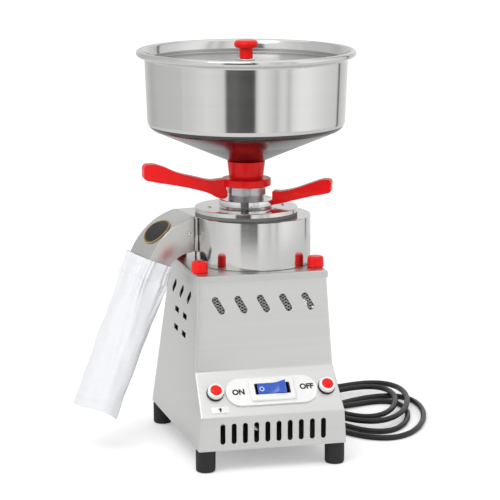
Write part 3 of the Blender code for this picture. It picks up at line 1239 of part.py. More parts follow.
def build_buttons(panel):
    seal_top = GAP + SEAL_HEIGHT
    low, barrel = seal_top + GAP, BARREL_RADIUS
    high, bore = low + BEZEL_HEIGHT, BUTTON_RADIUS + BORE_PLAY
    floor = high - BUTTON_DEPTH - 2 * BUTTON_PROUD - OVERRUN
    seal = [(SEAL_RADIUS, seal_top), (SEAL_RADIUS, GAP), (barrel + GAP, GAP), (barrel + GAP, seal_top)]
    bezel = arc(BEZEL_RADIUS - BEZEL_ROUNDING, high - BEZEL_ROUNDING, BEZEL_ROUNDING, 90, 0, 2)
    bezel += [(BEZEL_RADIUS, low), (barrel, low), (barrel, -BARREL_DEPTH), (0, -BARREL_DEPTH)]
    bezel += [(0, floor), (bore, floor), (bore, high)]
    top = high + BUTTON_PROUD
    radius, dome, foot = BUTTON_RADIUS, BUTTON_DOME, top - BUTTON_DEPTH
    cap = [(0, top), (radius / 2, top - dome / 4), (radius - dome, top - dome), (radius, top - 2 * dome)]
    cap += [(radius, foot), (0, foot)]
    for name, side in (("left", -1), ("right", 1)):
        spot = empty(f"button_axis_{name}", panel, (side * BUTTON_SPACING / 2, BUTTON_RISE, 0))
        turned(f"button_seal_{name}", seal, RUBBER, spot, MOULDED_STEPS, closed=True)
        turned(f"button_bezel_{name}", bezel, WHITE, spot, MOULDED_STEPS, closed=True)
        turned(f"push_button_{name}", cap, RED, spot, MOULDED_STEPS)


def hopper_outline():
    """Outer side from the rolled rim down to the spout, then the inner side back up."""
    bead_r = RIM_RADIUS - BEAD_RADIUS
    wall = HOPPER_SHEET
    outline = arc(bead_r, RIM_Z, BEAD_RADIUS, 135, -110, 6)
    outline += [(HOPPER_TOP_RADIUS, RIM_Z - 2 * BEAD_RADIUS)]
    fall, run = SHOULDER_TOP_Z - CORNER_RADIUS - CONE_FOOT_Z, HOPPER_LOW_RADIUS - CONE_FOOT_RADIUS
    slope = math.degrees(math.atan2(fall, run))
    corner = (HOPPER_LOW_RADIUS - CORNER_RADIUS, SHOULDER_TOP_Z)
    outline += arc(*corner, CORNER_RADIUS, 0, slope - 90, 3)
    outline += [(CONE_FOOT_RADIUS, CONE_FOOT_Z), (SPOUT_RADIUS, CONE_FOOT_Z), (SPOUT_RADIUS, SPOUT_BOTTOM_Z)]
    outline += [(SPOUT_RADIUS - wall, SPOUT_BOTTOM_Z), (SPOUT_RADIUS - wall, CONE_FOOT_Z + wall)]
    outline += arc(*corner, CORNER_RADIUS - wall, slope - 90, 0, 3)
    outline += [(HOPPER_TOP_RADIUS - wall, RIM_Z - 2 * BEAD_RADIUS)]
    return outline


def build_hopper(axis):
    hopper = empty("hopper_axis", axis)
    turned("hopper_bowl", hopper_outline(), POLISHED_STEEL, hopper, FINE_STEPS, closed=True)
    lid = empty("hopper_lid_axis", hopper)
    wall_share = (RIM_Z - LID_TOP_Z) / (RIM_Z - SHOULDER_TOP_Z)
    taper = wall_share * (HOPPER_TOP_RADIUS - HOPPER_LOW_RADIUS)
    seat = HOPPER_TOP_RADIUS - HOPPER_SHEET - taper - 2 * GAP
    top, sheet, lip = LID_TOP_Z, LID_SHEET, LID_TOP_Z + LID_EDGE_HEIGHT
    inner = seat - sheet
    outline = [(inner, lip), (seat, lip), (seat, top), (seat - LID_EDGE_ROUNDING, top - sheet)]
    outline += [(0, top - sheet), (0, top), (inner - LID_EDGE_ROUNDING, top), (inner, top + LID_EDGE_ROUNDING)]
    turned("hopper_lid", outline, POLISHED_STEEL, lid, FINE_STEPS, closed=True)
    low = top + GAP
    high = low + FERRULE_HEIGHT
    radius = FERRULE_RADIUS
    ferrule = [(0, high), (radius - LID_SHEET, high), (radius, high - LID_SHEET), (radius, low), (0, low)]
    turned("lid_ferrule", ferrule, CHROME, lid, ROUND_STEPS)
    low = high + GAP
    neck = low + LID_STEM_HEIGHT
    high, fillet, head = neck + LID_HEAD_HEIGHT, LID_HEAD_ROUNDING, LID_HEAD_RADIUS
    knob = [(0, high)] + arc(head - fillet, high - fillet, fillet, 90, 0, 3)
    knob += arc(head - fillet, neck + fillet, fillet, 0, -90, 2)
    knob += [(LID_STEM_RADIUS, neck - fillet / 2), (LID_STEM_RADIUS, low), (0, low)]
    turned("lid_knob", knob, RED, lid, MOULDED_STEPS)


def build_gland(gland):
    base = GAP + GLAND_NUT_HEIGHT
    tip = base + GLAND_TAPER_LENGTH
    deep = SHEET + GLAND_SHANK_LENGTH
    outline = [(0, tip), (GLAND_TIP_RADIUS, tip), (GLAND_TAPER_RADIUS, base), (GLAND_NUT_RADIUS, base)]
    outline += [(GLAND_NUT_RADIUS, GAP), (GLAND_SHANK_RADIUS, GAP), (GLAND_SHANK_RADIUS, -deep), (0, -deep)]
    turned("cable_gland", outline, BLACK, gland, SMALL_STEPS)
    return tip


def pile_point(turns):
    """Centre of the cord in its loose pile, by turns from its outer end on the floor.

    The loops are egg shapes. They spiral in for two turns on the floor, climb a layer in the half turn
    where the spiral reverses, and spiral out again above.
    """
    climb = min(1.0, max(0.0, (turns - CLIMB_START) / CLIMB_TURNS))
    climb = climb * climb * (3 - 2 * climb)
    low_half = LOW_PILE_HALF - LOW_PILE_STEP * min(turns, LOW_TURNS)
    high_half = HIGH_PILE_HALF + HIGH_PILE_STEP * max(turns - LOW_TURNS, 0.0)
    half = low_half + climb * (high_half - low_half)
    angle = 2 * math.pi * turns - math.pi
    x = half * math.cos(angle)
    y = half * PILE_LENGTH_SHARE * (1 + PILE_EGG_SHARE * math.cos(angle)) * math.sin(angle)
    turn = Matrix.Rotation(PILE_TILT, 2)
    centre = Vector(LOW_PILE_CENTRE).lerp(Vector(HIGH_PILE_CENTRE), climb)
    x, y = centre + turn @ Vector((x, y))
    return Vector((BODY_BOTTOM_HALF + x, y, LOW_LAYER_Z + climb * (HIGH_LAYER_Z - LOW_LAYER_Z)))


def smooth_route(points, step):
    """The first and last spans of a route kept straight, with evenly spaced points on a curve between."""
    fine = []
    for a, b, c, d in zip(points, points[1:], points[2:], points[3:]):
        for i in range(ROUTE_SAMPLES):
            t = i / ROUTE_SAMPLES
            bend = (2 * a - 5 * b + 4 * c - d) * t * t + (3 * b - a - 3 * c + d) * t ** 3
            fine.append((2 * b + (c - a) * t + bend) / 2)
    fine.append(points[-2])
    lengths = [0.0]
    for a, b in zip(fine, fine[1:]):
        lengths.append(lengths[-1] + (b - a).length)
    count = round(lengths[-1] / step)
    made, j = [points[0]], 0
    for i in range(count + 1):
        goal = lengths[-1] * i / count
        while j < len(fine) - 2 and lengths[j + 1] < goal:
            j += 1
        made.append(fine[j].lerp(fine[j + 1], (goal - lengths[j]) / (lengths[j + 1] - lengths[j])))
    return made + [points[-1]]


def tube(name, points, radius, material, parent, resolution):
    """A cord as a curve with round section and flat ends."""
    curve = bpy.data.curves.new(name, "CURVE")
    curve.dimensions = "3D"
    curve.bevel_depth = radius
    curve.bevel_resolution = resolution
    curve.use_fill_caps = True
    curve.twist_mode = "MINIMUM"
    spline = curve.splines.new("POLY")
    spline.points.add(len(points) - 1)
    for point, place in zip(spline.points, points):
        point.co = (*place, 1)
    return add(name, curve_mesh(name, curve), material, parent)


def run_length(points):
    return sum((b - a).length for a, b in zip(points, points[1:]))


def least_gap(points):
    """Least free space between stretches of the cord that lie well apart along it."""
    least = 1.0
    along = [0.0]
    for a, b in zip(points, points[1:]):
        along.append(along[-1] + (b - a).length)
    for i, a in enumerate(points):
        for j in range(i + 1, len(points) - 1):
            if along[j] - along[i] < FAR_DIAMETERS * CORD_DIAMETER:
                continue
            b, c = points[j], points[j + 1]
            way = c - b
            t = min(1.0, max(0.0, (a - b).dot(way) / way.length_squared))
            least = min(least, (a - b - t * way).length)
    return least - CORD_DIAMETER


def straight_end(point, way, length):
    """A point and the one a length further back, so that an end is straight and square."""
    return [point - way.normalized() * length, point]


def build_cord(mill, gland_tip, gland_way):
    """The lead from the gland to the floor, the pile beside the mill and the tail to the plug behind it."""
    straight = STRAIGHT_SHARE * CORD_DIAMETER
    count = round(PILE_TURNS * TURN_POINTS)
    pile = [pile_point(PILE_TURNS * i / count) for i in range(count + 1)]
    start_way, end_way = pile[1] - pile[0], pile[-1] - pile[-2]
    pile = [pile[0] - start_way.normalized() * straight] + pile + [pile[-1] + end_way.normalized() * straight]
    tube("power_cord_coil", pile, CORD_RADIUS, CORD_SKIN, mill, 1)
    leave = gland_tip + gland_way * GAP
    join_in = pile[0] - start_way.normalized() * GAP
    lead = [leave, leave + gland_way * straight]
    lead += [Vector((BODY_BOTTOM_HALF + x, y, z)) for x, y, z in LEAD_FALL]
    lead += [Vector((BODY_BOTTOM_HALF + x, y, LOW_LAYER_Z)) for x, y in LEAD_FLOOR]
    lead += straight_end(join_in, start_way, straight)
    tube("power_cord_lead", smooth_route(lead, CORD_STEP), CORD_RADIUS, CORD_SKIN, mill, 2)
    part = pile[-1] + end_way.normalized() * GAP
    neck_end = Vector((PLUG_X + PLUG_LENGTH + PLUG_NECK_LENGTH + GAP, PLUG_Y, PLUG_HEIGHT / 2))
    tail = [part, part + end_way.normalized() * straight]
    tail += [Vector((BODY_BOTTOM_HALF + x, y, z)) for x, y, z in TAIL_ROUTE]
    tail += [neck_end + Vector((TAIL_REACH_SHARE * straight, 0, -TAIL_SAG_SHARE * straight))]
    tail += [neck_end + Vector((straight, 0, 0)), neck_end]
    tube("power_cord_tail", smooth_route(tail, CORD_STEP), CORD_RADIUS, CORD_SKIN, mill, 2)
    total = run_length(lead) + run_length(pile) + run_length(tail)
    print(f"cord: {total:.3f} m in all, least gap in the pile {1000 * least_gap(pile):.2f} mm")


def build_plug(mill):
    place = empty("plug_place", mill, (PLUG_X, PLUG_Y, FLOOR_PLAY))
    half = PLUG_WIDTH / 2
    body = add("plug_body", box("plug_body", (0, -half, 0), (PLUG_LENGTH, half, PLUG_HEIGHT)), BLACK, place)
    bevel(body, PLUG_ROUNDING, 3)
    root, end = PLUG_LENGTH - PLUG_ROUNDING, PLUG_LENGTH + PLUG_NECK_LENGTH
    neck = cylinder("plug_neck", PLUG_NECK_RADIUS, root, end, SMALL_STEPS)
    middle = PLUG_HEIGHT / 2 - FLOOR_PLAY
    join(body, tool("plug_neck", neck, place, (0, 0, middle), (0, math.pi / 2, 0)))
    pins = (
        ("plug_pin_line", PIN_RADIUS, -PIN_SPREAD / 2, middle - PIN_DROP),
        ("plug_pin_neutral", PIN_RADIUS, PIN_SPREAD / 2, middle - PIN_DROP),
        ("plug_pin_earth", EARTH_PIN_RADIUS, 0.0, middle + EARTH_PIN_RISE),
    )
    for name, radius, y, z in pins:
        outline = [(0, PIN_LENGTH), (PIN_TIP_SHARE * radius, PIN_LENGTH)]
        outline += [(radius, PIN_LENGTH - PIN_POINT_SHARE * radius), (radius, GAP), (0, GAP)]
        turned(name, outline, BRASS, place, SMALL_STEPS, location=(0, y, z), rotation=(0, -math.pi / 2, 0))


def main():
    mill = empty("mill_axis", None, (axis_from_middle(), 0, 0))
    outlet = empty("outlet", mill, (DRUM_SHIFT, 0, 0), (0, 0, OUTLET_ANGLE))
    panel_lean = math.atan2(PANEL_TOP_Z - SKIRT_TOP_Z, FRONT_SKIRT - FRONT_FOLD)
    panel_spot = (PANEL_SHIFT, -(FRONT_SKIRT + FRONT_FOLD) / 2, (SKIRT_TOP_Z + PANEL_TOP_Z) / 2)
    panel = empty("control_panel", mill, panel_spot, (panel_lean, 0, 0))
    back_lean = math.atan2(BACK_BOTTOM - BACK_TOP, CAP_LIP_Z - BODY_BOTTOM_Z)
    gland_spot = Vector((GLAND_X, back_reach(GLAND_Z), GLAND_Z))
    gland = empty("gland_axis", mill, gland_spot, (back_lean - math.pi / 2, 0, 0))
    build_feet(mill)
    build_base(mill)
    build_casing(mill, panel, gland)
    build_vent_mesh(mill)
    build_cap(mill)
    build_knobs(mill)
    build_drum(mill, outlet)
    build_duct(outlet)
    build_duct_screws(outlet)
    build_sleeve(outlet)
    build_cover(mill)
    build_lock(mill)
    adjuster = build_adjuster(mill)
    build_feed_sleeve(adjuster)
    runner = empty("runner_axis", mill)
    build_stones(adjuster, runner)
    build_runner(runner)
    build_motor(mill)
    build_capacitor(mill)
    build_switch(panel)
    build_buttons(panel)
    build_hopper(adjuster)
    tip = build_gland(gland)
    way = Vector((0, math.cos(back_lean), math.sin(back_lean)))
    build_cord(mill, gland_spot + way * tip, way)
    build_plug(mill)


main()
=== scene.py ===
"""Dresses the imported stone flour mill: fine meshes over the CAD frame, its finishes and a plain studio.

Every size is in metres. Pieces are built round the mill's axis, the upright line that the shaft, the stones,
the handles and the hopper share, and are then moved to where that axis stands in the frame.
"""

import json
import logging
import math
from collections.abc import Callable, Sequence
from dataclasses import dataclass, field
from enum import Enum

import bmesh
import bpy
from mathutils import Matrix, Vector, noise

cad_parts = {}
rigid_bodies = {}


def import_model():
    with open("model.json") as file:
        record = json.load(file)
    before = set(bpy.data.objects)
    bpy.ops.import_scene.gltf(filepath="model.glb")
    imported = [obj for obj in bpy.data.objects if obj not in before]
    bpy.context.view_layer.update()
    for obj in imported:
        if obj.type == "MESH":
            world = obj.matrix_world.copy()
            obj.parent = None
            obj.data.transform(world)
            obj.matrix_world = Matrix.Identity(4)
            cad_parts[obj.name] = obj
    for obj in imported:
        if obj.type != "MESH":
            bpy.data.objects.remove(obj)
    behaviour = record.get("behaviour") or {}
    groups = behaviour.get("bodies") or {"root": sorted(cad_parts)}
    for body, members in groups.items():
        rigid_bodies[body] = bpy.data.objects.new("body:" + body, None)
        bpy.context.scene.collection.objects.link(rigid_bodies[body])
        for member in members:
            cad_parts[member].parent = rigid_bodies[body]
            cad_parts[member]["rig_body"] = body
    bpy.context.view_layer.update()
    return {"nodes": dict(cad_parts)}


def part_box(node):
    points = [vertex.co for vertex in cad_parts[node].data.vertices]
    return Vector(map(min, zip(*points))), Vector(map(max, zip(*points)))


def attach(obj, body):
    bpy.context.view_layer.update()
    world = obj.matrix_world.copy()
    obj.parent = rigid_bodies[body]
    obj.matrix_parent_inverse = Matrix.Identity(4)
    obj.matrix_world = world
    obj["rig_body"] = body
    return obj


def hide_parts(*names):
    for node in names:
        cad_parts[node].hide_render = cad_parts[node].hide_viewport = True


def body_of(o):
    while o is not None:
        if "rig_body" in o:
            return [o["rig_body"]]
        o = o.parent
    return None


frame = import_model()
LOG = logging.getLogger("stone_flour_mill")

Point = tuple[float, float]
Outline = list[Point]
GAP = 0.0003
MERGE = 0.00001
OVERRUN = 0.004
SMOOTH_ANGLE = math.radians(28)


class Body(str, Enum):
    """The CAD bodies that pieces without a CAD node of their own ride on."""

    MILL = "mill_body"
    ROCKER = "rocker"


class Slot(str, Enum):
    """The record's material slots."""

    SATIN = "satin_steel"
    POLISHED = "polished_steel"
    CHROME = "chrome"
    ENAMEL = "red_enamel"
    RED = "red_plastic"
    BLUE = "blue_plastic"
    WHITE = "white_plastic"
    BLACK = "black_plastic"
    MESH = "black_mesh"
    RUBBER = "black_rubber"
    SHEATH = "cord_sheath"
    COTTON = "white_cotton"
    STONE = "emery_stone"
    IRON = "cast_iron"
    ALUMINIUM = "cast_aluminium"
    BRASS = "brass"


class Grain(Enum):
    """How a metal's surface was worked."""

    BRUSHED = "brushed"
    SPUN = "spun"
    CAST = "cast"
    BRIGHT = "bright"


# Shader helpers and finishes


class ShaderBook:
    """A material's node tree, with short calls to add and join nodes."""

    def __init__(self, name: str) -> None:
        """Starts a material with an empty tree, a Principled shader and its output."""
        self.material = bpy.data.materials.new(name)
        self.material.use_nodes = True
        self.tree = self.material.node_tree
        self.tree.nodes.clear()
        self.shader = self.tree.nodes.new("ShaderNodeBsdfPrincipled")
        self.output = self.tree.nodes.new("ShaderNodeOutputMaterial")
        self.join(self.shader.outputs["BSDF"], self.output.inputs["Surface"])

    def join(self, source: bpy.types.NodeSocket, target: bpy.types.NodeSocket) -> None:
        """Links one socket to another."""
        self.tree.links.new(source, target)

    def add(self, kind: str, settings: dict | None = None, **values: object) -> bpy.types.Node:
        """Adds a node.

        Args:
            kind: The node's type name, without its "ShaderNode" prefix.
            settings: Properties of the node itself.
            **values: Input values by socket name, underscores standing for spaces, or sockets to link there.

        Returns:
            The new node.
        """
        node = self.tree.nodes.new("ShaderNode" + kind)
        for key, value in (settings or {}).items():
            setattr(node, key, value)
        for key, value in values.items():
            socket = node.inputs[int(key[1:])] if key[0] == "_" else node.inputs[key.replace("_", " ")]
            if isinstance(value, bpy.types.NodeSocket):
                self.join(value, socket)
            else:
                socket.default_value = value
        return node

    def set(self, **values: object) -> None:
        """Sets or links inputs of the Principled shader, underscores standing for spaces."""
        for key, value in values.items():
            socket = self.shader.inputs[key.replace("_", " ")]
            if isinstance(value, bpy.types.NodeSocket):
                self.join(value, socket)
            else:
                socket.default_value = value

    def place(
        self, centre: Sequence[float] = (0, 0, 0), turn: Sequence[float] = (0, 0, 0)
    ) -> bpy.types.NodeSocket:
        """Object coordinates, moved so that a centre is their origin, and turned.

        Args:
            centre: The point in the frame that becomes the origin.
            turn: Euler angles of the pattern.

        Returns:
            The vector socket.
        """
        coordinates = self.add("TexCoord")
        shifted = self.add(
            "VectorMath", {"operation": "SUBTRACT"}, _0=coordinates.outputs["Object"], _1=tuple(centre)
        )
        mapping = self.add("Mapping", Vector=shifted.outputs[0], Rotation=tuple(turn))
        return mapping.outputs[0]

    def stretched(
        self, vector: bpy.types.NodeSocket, scale: Sequence[float], detail: float = 2.0
    ) -> bpy.types.Node:
        """Noise whose grain is longer in the directions of a smaller scale."""
        mapping = self.add("Mapping", Vector=vector, Scale=tuple(scale))
        return self.add("TexNoise", Vector=mapping.outputs[0], Scale=1.0, Detail=detail, Roughness=0.6)

    def spread(self, value: bpy.types.NodeSocket, low: float, high: float) -> bpy.types.NodeSocket:
        """A noise value between 0.3 and 0.7 spread over a range."""
        node = self.add("MapRange", Value=value, From_Min=0.3, From_Max=0.7, To_Min=low, To_Max=high)
        return node.outputs[0]

    def tinted(
        self, value: bpy.types.NodeSocket, low: Sequence[float], high: Sequence[float]
    ) -> bpy.types.NodeSocket:
        """A colour between two, by a noise value.

        Args:
            value: A factor from 0 to 1.
            low: Colour at 0.
            high: Colour at 1.

        Returns:
            The mixed colour.
        """
        share = self.spread(value, 0.0, 1.0)
        node = self.add("Mix", {"data_type": "RGBA"})
        self.join(share, node.inputs[0])
        node.inputs[6].default_value = (*low, 1)
        node.inputs[7].default_value = (*high, 1)
        return node.outputs[2]

    def bump(self, height: bpy.types.NodeSocket, distance: float, strength: float = 1.0) -> None:
        """Feeds a height to the shader's normal, on top of any bump already there."""
        node = self.add("Bump", Height=height, Distance=distance, Strength=strength)
        normal = self.shader.inputs["Normal"]
        if normal.is_linked:
            self.join(normal.links[0].from_socket, node.inputs["Normal"])
        self.join(node.outputs[0], normal)


def scaled(colour: Sequence[float], factor: float) -> tuple[float, ...]:
    """A colour made darker or paler by a factor."""
    return tuple(min(1.0, channel * factor) for channel in colour)


@dataclass(frozen=True)
class MetalFinish:
    """A metal surface with the grain that its making leaves.

    Args:
        name: Name of the material.
        slot: The record's slot; not used.
        colour: Base colour.
        roughness: Middle of the roughness range.
        grain: How the surface was worked.
        along: For brushed sheet, the scale of the grain along each axis; small values run long.
        swing: How far the roughness swings either side of its middle.
        depth: Height of the grain.
        tint: How far the colour varies, as a share.
    """

    name: str
    slot: Slot
    colour: tuple[float, float, float]
    roughness: float
    grain: Grain = Grain.BRUSHED
    along: tuple[float, float, float] = (18.0, 900.0, 900.0)
    swing: float = 0.05
    depth: float = 0.000004
    tint: float = 0.03

    def material(self, centre: Sequence[float] = (0, 0, 0)) -> bpy.types.Material:
        """Builds the node material.

        Args:
            centre: For spun grain, a point on the axis that its rings run round.

        Returns:
            The material.
        """
        book = ShaderBook(self.name)
        place = book.place(centre)
        if self.grain is Grain.SPUN:
            parts = book.add("SeparateXYZ", Vector=place)
            flat = book.add("CombineXYZ", X=parts.outputs["X"], Y=parts.outputs["Y"])
            radius = book.add("VectorMath", {"operation": "LENGTH"}, _0=flat.outputs[0])
            place = book.add("CombineXYZ", X=radius.outputs["Value"], Z=parts.outputs["Z"]).outputs[0]
            fine = book.stretched(place, (1500.0, 1.0, 1500.0), 3.0)
            broad = book.stretched(place, (60.0, 1.0, 60.0))
        elif self.grain is Grain.BRUSHED:
            fine = book.stretched(place, self.along, 3.0)
            broad = book.stretched(place, tuple(0.08 * value for value in self.along))
        elif self.grain is Grain.CAST:
            fine = book.stretched(place, (900.0, 900.0, 900.0), 4.0)
            broad = book.stretched(place, (60.0, 60.0, 60.0))
        else:
            fine = book.stretched(place, (300.0, 300.0, 300.0))
            broad = book.stretched(place, (25.0, 25.0, 25.0))
        mixed = book.add("Mix", _0=0.5, _2=fine.outputs["Fac"], _3=broad.outputs["Fac"]).outputs[0]
        low, high = scaled(self.colour, 1 - self.tint), scaled(self.colour, 1 + self.tint)
        rough = book.spread(mixed, self.roughness - self.swing, self.roughness + self.swing)
        book.set(Base_Color=book.tinted(mixed, low, high), Metallic=1.0, Roughness=rough)
        book.bump(fine.outputs["Fac"], self.depth)
        return book.material


@dataclass(frozen=True)
class CoatedFinish:
    """Enamel, moulded plastic or rubber: a coloured surface with fine texture, and gloss on top of it.

    Args:
        name: Name of the material.
        slot: The record's slot; not used.
        colour: Base colour.
        roughness: Middle of the roughness range.
        grain_scale: Grains per metre.
        depth: Height of the texture.
        coat: Weight of a clear coat.
        gloss: How strongly the surface mirrors; 0.5 is plain plastic.
        tint: How far the colour varies, as a share.
    """

    name: str
    slot: Slot
    colour: tuple[float, float, float]
    roughness: float
    grain_scale: float = 900.0
    depth: float = 0.00001
    coat: float = 0.0
    gloss: float = 0.5
    tint: float = 0.05

    def material(self, centre: Sequence[float] = (0, 0, 0)) -> bpy.types.Material:
        """Builds the node material, its patterns centred on a point.

        Args:
            centre: Where the patterns have their origin.

        Returns:
            The material.
        """
        book = ShaderBook(self.name)
        place = book.place(centre)
        fine = book.stretched(place, (self.grain_scale,) * 3, 3.0)
        broad = book.stretched(place, (35.0,) * 3)
        low, high = scaled(self.colour, 1 - self.tint), scaled(self.colour, 1 + self.tint)
        rough = book.spread(broad.outputs["Fac"], 0.85 * self.roughness, 1.15 * self.roughness)
        book.set(Base_Color=book.tinted(broad.outputs["Fac"], low, high), Roughness=rough)
        book.set(Coat_Weight=self.coat, Coat_Roughness=0.12, Specular_IOR_Level=self.gloss)
        book.bump(fine.outputs["Fac"], self.depth)
        return book.material


@dataclass(frozen=True)
class CottonFinish:
    """Plain-woven cotton whose threads follow the cloth's own UV map, laid out in metres."""

    name: str = "woven_cotton"
    slot: Slot = Slot.COTTON
    colour: tuple[float, float, float] = (0.84, 0.85, 0.885)
    thread: float = 0.00055
    depth: float = 0.00010

    def material(self, centre: Sequence[float] = (0, 0, 0)) -> bpy.types.Material:
        """Builds the weave from two crossed waves, with slubs and a soft sheen.

        Args:
            centre: Not read: a weave has no centre, but every finish takes one.

        Returns:
            The material.
        """
        book = ShaderBook(self.name)
        uv = book.add("UVMap", {"uv_map": "cloth"})
        heights = []
        for across in ("X", "Y"):
            wave = book.add(
                "TexWave", {"wave_type": "BANDS", "bands_direction": across, "wave_profile": "SIN"}
            )
            book.join(uv.outputs[0], wave.inputs["Vector"])
            wave.inputs["Scale"].default_value = 1 / (self.thread * 20)
            wave.inputs["Distortion"].default_value = 0.6
            heights.append(wave.outputs["Fac"])
        weave = book.add("Math", {"operation": "MULTIPLY"}, _0=heights[0], _1=heights[1])
        slub = book.stretched(uv.outputs[0], (60.0, 900.0, 1.0), 3.0)
        crease = book.stretched(uv.outputs[0], (22.0, 14.0, 1.0), 4.0)
        low, high = scaled(self.colour, 0.95), scaled(self.colour, 1.0)
        book.set(Base_Color=book.tinted(slub.outputs["Fac"], low, high), Roughness=0.92)
        book.set(Sheen_Weight=0.25, Sheen_Roughness=0.5, Subsurface_Weight=0.0)
        book.bump(crease.outputs["Fac"], 0.0012, 0.6)
        book.bump(weave.outputs[0], self.depth, 0.8)
        return book.material


@dataclass(frozen=True)
class StoneFinish:
    """Emery stone: dark grains and pale ones in a binder."""

    name: str = "emery"
    slot: Slot = Slot.STONE
    dark: tuple[float, float, float] = (0.16, 0.14, 0.12)
    pale: tuple[float, float, float] = (0.52, 0.48, 0.43)

    def material(self, centre: Sequence[float] = (0, 0, 0)) -> bpy.types.Material:
        """Builds the speckle and its pits."""
        book = ShaderBook(self.name)
        place = book.place(centre)
        cells = book.add("TexVoronoi", Vector=place, Scale=700.0)
        speck = book.add("SeparateColor", Color=cells.outputs["Color"])
        book.set(Base_Color=book.tinted(speck.outputs[0], self.dark, self.pale), Roughness=0.9)
        book.bump(cells.outputs["Distance"], 0.0004)
        return book.material


class Palette:
    """Every finish of the mill, its material built when first asked for."""

    SHEET = MetalFinish(
        "brushed_sheet", Slot.SATIN, (0.775, 0.775, 0.76), 0.36, along=(14.0, 1400.0, 1400.0), swing=0.05
    )
    CAP_SHEET = MetalFinish("cap_sheet", Slot.SATIN, (0.70, 0.70, 0.685), 0.32, along=(14.0, 1400.0, 1400.0))
    DUCT_SHEET = MetalFinish("duct_sheet", Slot.SATIN, (0.69, 0.69, 0.67), 0.30, along=(1400.0, 1400.0, 14.0))
    SPUN_STEEL = MetalFinish("spun_steel", Slot.POLISHED, (0.74, 0.735, 0.72), 0.10, Grain.SPUN, swing=0.03)
    # Painted shade: polished steel given a near-black colour, so the hopper's cone underside reads dark as if
    # it mirrored shaded parts.
    SHADED_UNDERSIDE_STEEL = MetalFinish(
        "painted_shade_steel", Slot.POLISHED, (0.10, 0.097, 0.094), 0.20, Grain.SPUN, swing=0.04
    )
    LID_STEEL = MetalFinish("lid_steel", Slot.POLISHED, (0.47, 0.47, 0.46), 0.28, Grain.SPUN, swing=0.06)
    CHROME = MetalFinish(
        "chrome_plate", Slot.CHROME, (0.82, 0.82, 0.82), 0.07, Grain.BRIGHT, swing=0.02, depth=0.0
    )
    IRON = MetalFinish("grey_iron", Slot.IRON, (0.20, 0.20, 0.21), 0.62, Grain.CAST, depth=0.00008, tint=0.15)
    ALUMINIUM = MetalFinish(
        "cast_alloy", Slot.ALUMINIUM, (0.60, 0.61, 0.62), 0.42, Grain.CAST, depth=0.00004, tint=0.08
    )
    BRASS = MetalFinish("brass", Slot.BRASS, (0.78, 0.60, 0.28), 0.28, Grain.BRIGHT)
    PLATE = MetalFinish("base_sheet", Slot.SATIN, (0.62, 0.62, 0.61), 0.42, along=(1400.0, 14.0, 1400.0))
    GOLD = MetalFinish("gold_foil", Slot.BRASS, (0.72, 0.52, 0.22), 0.30, Grain.BRIGHT)
    ENAMEL = CoatedFinish(
        "red_enamel_coat", Slot.ENAMEL, (0.86, 0.004, 0.005), 0.24, 500.0, 0.00003, coat=0.12, gloss=0.2
    )
    RED = CoatedFinish(
        "red_moulding", Slot.RED, (0.90, 0.010, 0.008), 0.24, 1200.0, 0.000006, coat=0.12, gloss=0.2
    )
    BLUE = CoatedFinish("blue_moulding", Slot.BLUE, (0.008, 0.085, 0.52), 0.22, 1500.0, 0.000005, coat=0.4)
    WHITE = CoatedFinish("white_moulding", Slot.WHITE, (0.90, 0.90, 0.89), 0.32, 1500.0, 0.000006, tint=0.015)
    BLACK = CoatedFinish("black_moulding", Slot.BLACK, (0.018, 0.018, 0.019), 0.38, 1400.0, 0.00001)
    LATTICE = CoatedFinish("steel_mesh", Slot.MESH, (0.40, 0.40, 0.39), 0.35, 1400.0, 0.00001)
    RUBBER = CoatedFinish(
        "moulded_rubber", Slot.RUBBER, (0.014, 0.014, 0.015), 0.60, 1600.0, 0.00003, tint=0.2
    )
    GASKET = CoatedFinish("gasket_rubber", Slot.RUBBER, (0.16, 0.16, 0.155), 0.5, 1600.0, 0.00002)
    SHEATH = CoatedFinish("cord_skin", Slot.SHEATH, (0.011, 0.011, 0.012), 0.38, 1400.0, 0.00002, tint=0.15)
    BADGE = CoatedFinish(
        "badge_black", Slot.BLACK, (0.010, 0.010, 0.010), 0.30, 1500.0, 0.000004, coat=0.1, gloss=0.15
    )
    INK = CoatedFinish("black_ink", Slot.BLACK, (0.012, 0.012, 0.012), 0.5, 2000.0, 0.000002)
    WHITE_INK = CoatedFinish("white_ink", Slot.WHITE, (0.85, 0.87, 0.90), 0.4, 2000.0, 0.000002)
    COTTON = CottonFinish()
    STONE = StoneFinish()

    def __init__(self, centre: Vector) -> None:
        """Args: centre: a point on the mill's axis, which spun grain runs round."""
        self.centre = centre
        self.made: dict[str, bpy.types.Material] = {}

    def material(self, finish: object) -> bpy.types.Material:
        """The finish's material."""
        if finish.name not in self.made:
            self.made[finish.name] = finish.material(self.centre)
        return self.made[finish.name]


# Mesh helpers


def to_mesh(bm: bmesh.types.BMesh, name: str) -> bpy.types.Mesh:
    """Writes a bmesh to a new mesh and frees it."""
    made = bpy.data.meshes.new(name)
    bm.to_mesh(made)
    bm.free()
    return made


def outward(bm: bmesh.types.BMesh) -> None:
    """Welds a closed shape and turns its faces outwards."""
    bmesh.ops.remove_doubles(bm, verts=bm.verts, dist=MERGE)
    bmesh.ops.recalc_face_normals(bm, faces=bm.faces)
    if bm.calc_volume(signed=True) < 0:
        bmesh.ops.reverse_faces(bm, faces=bm.faces)


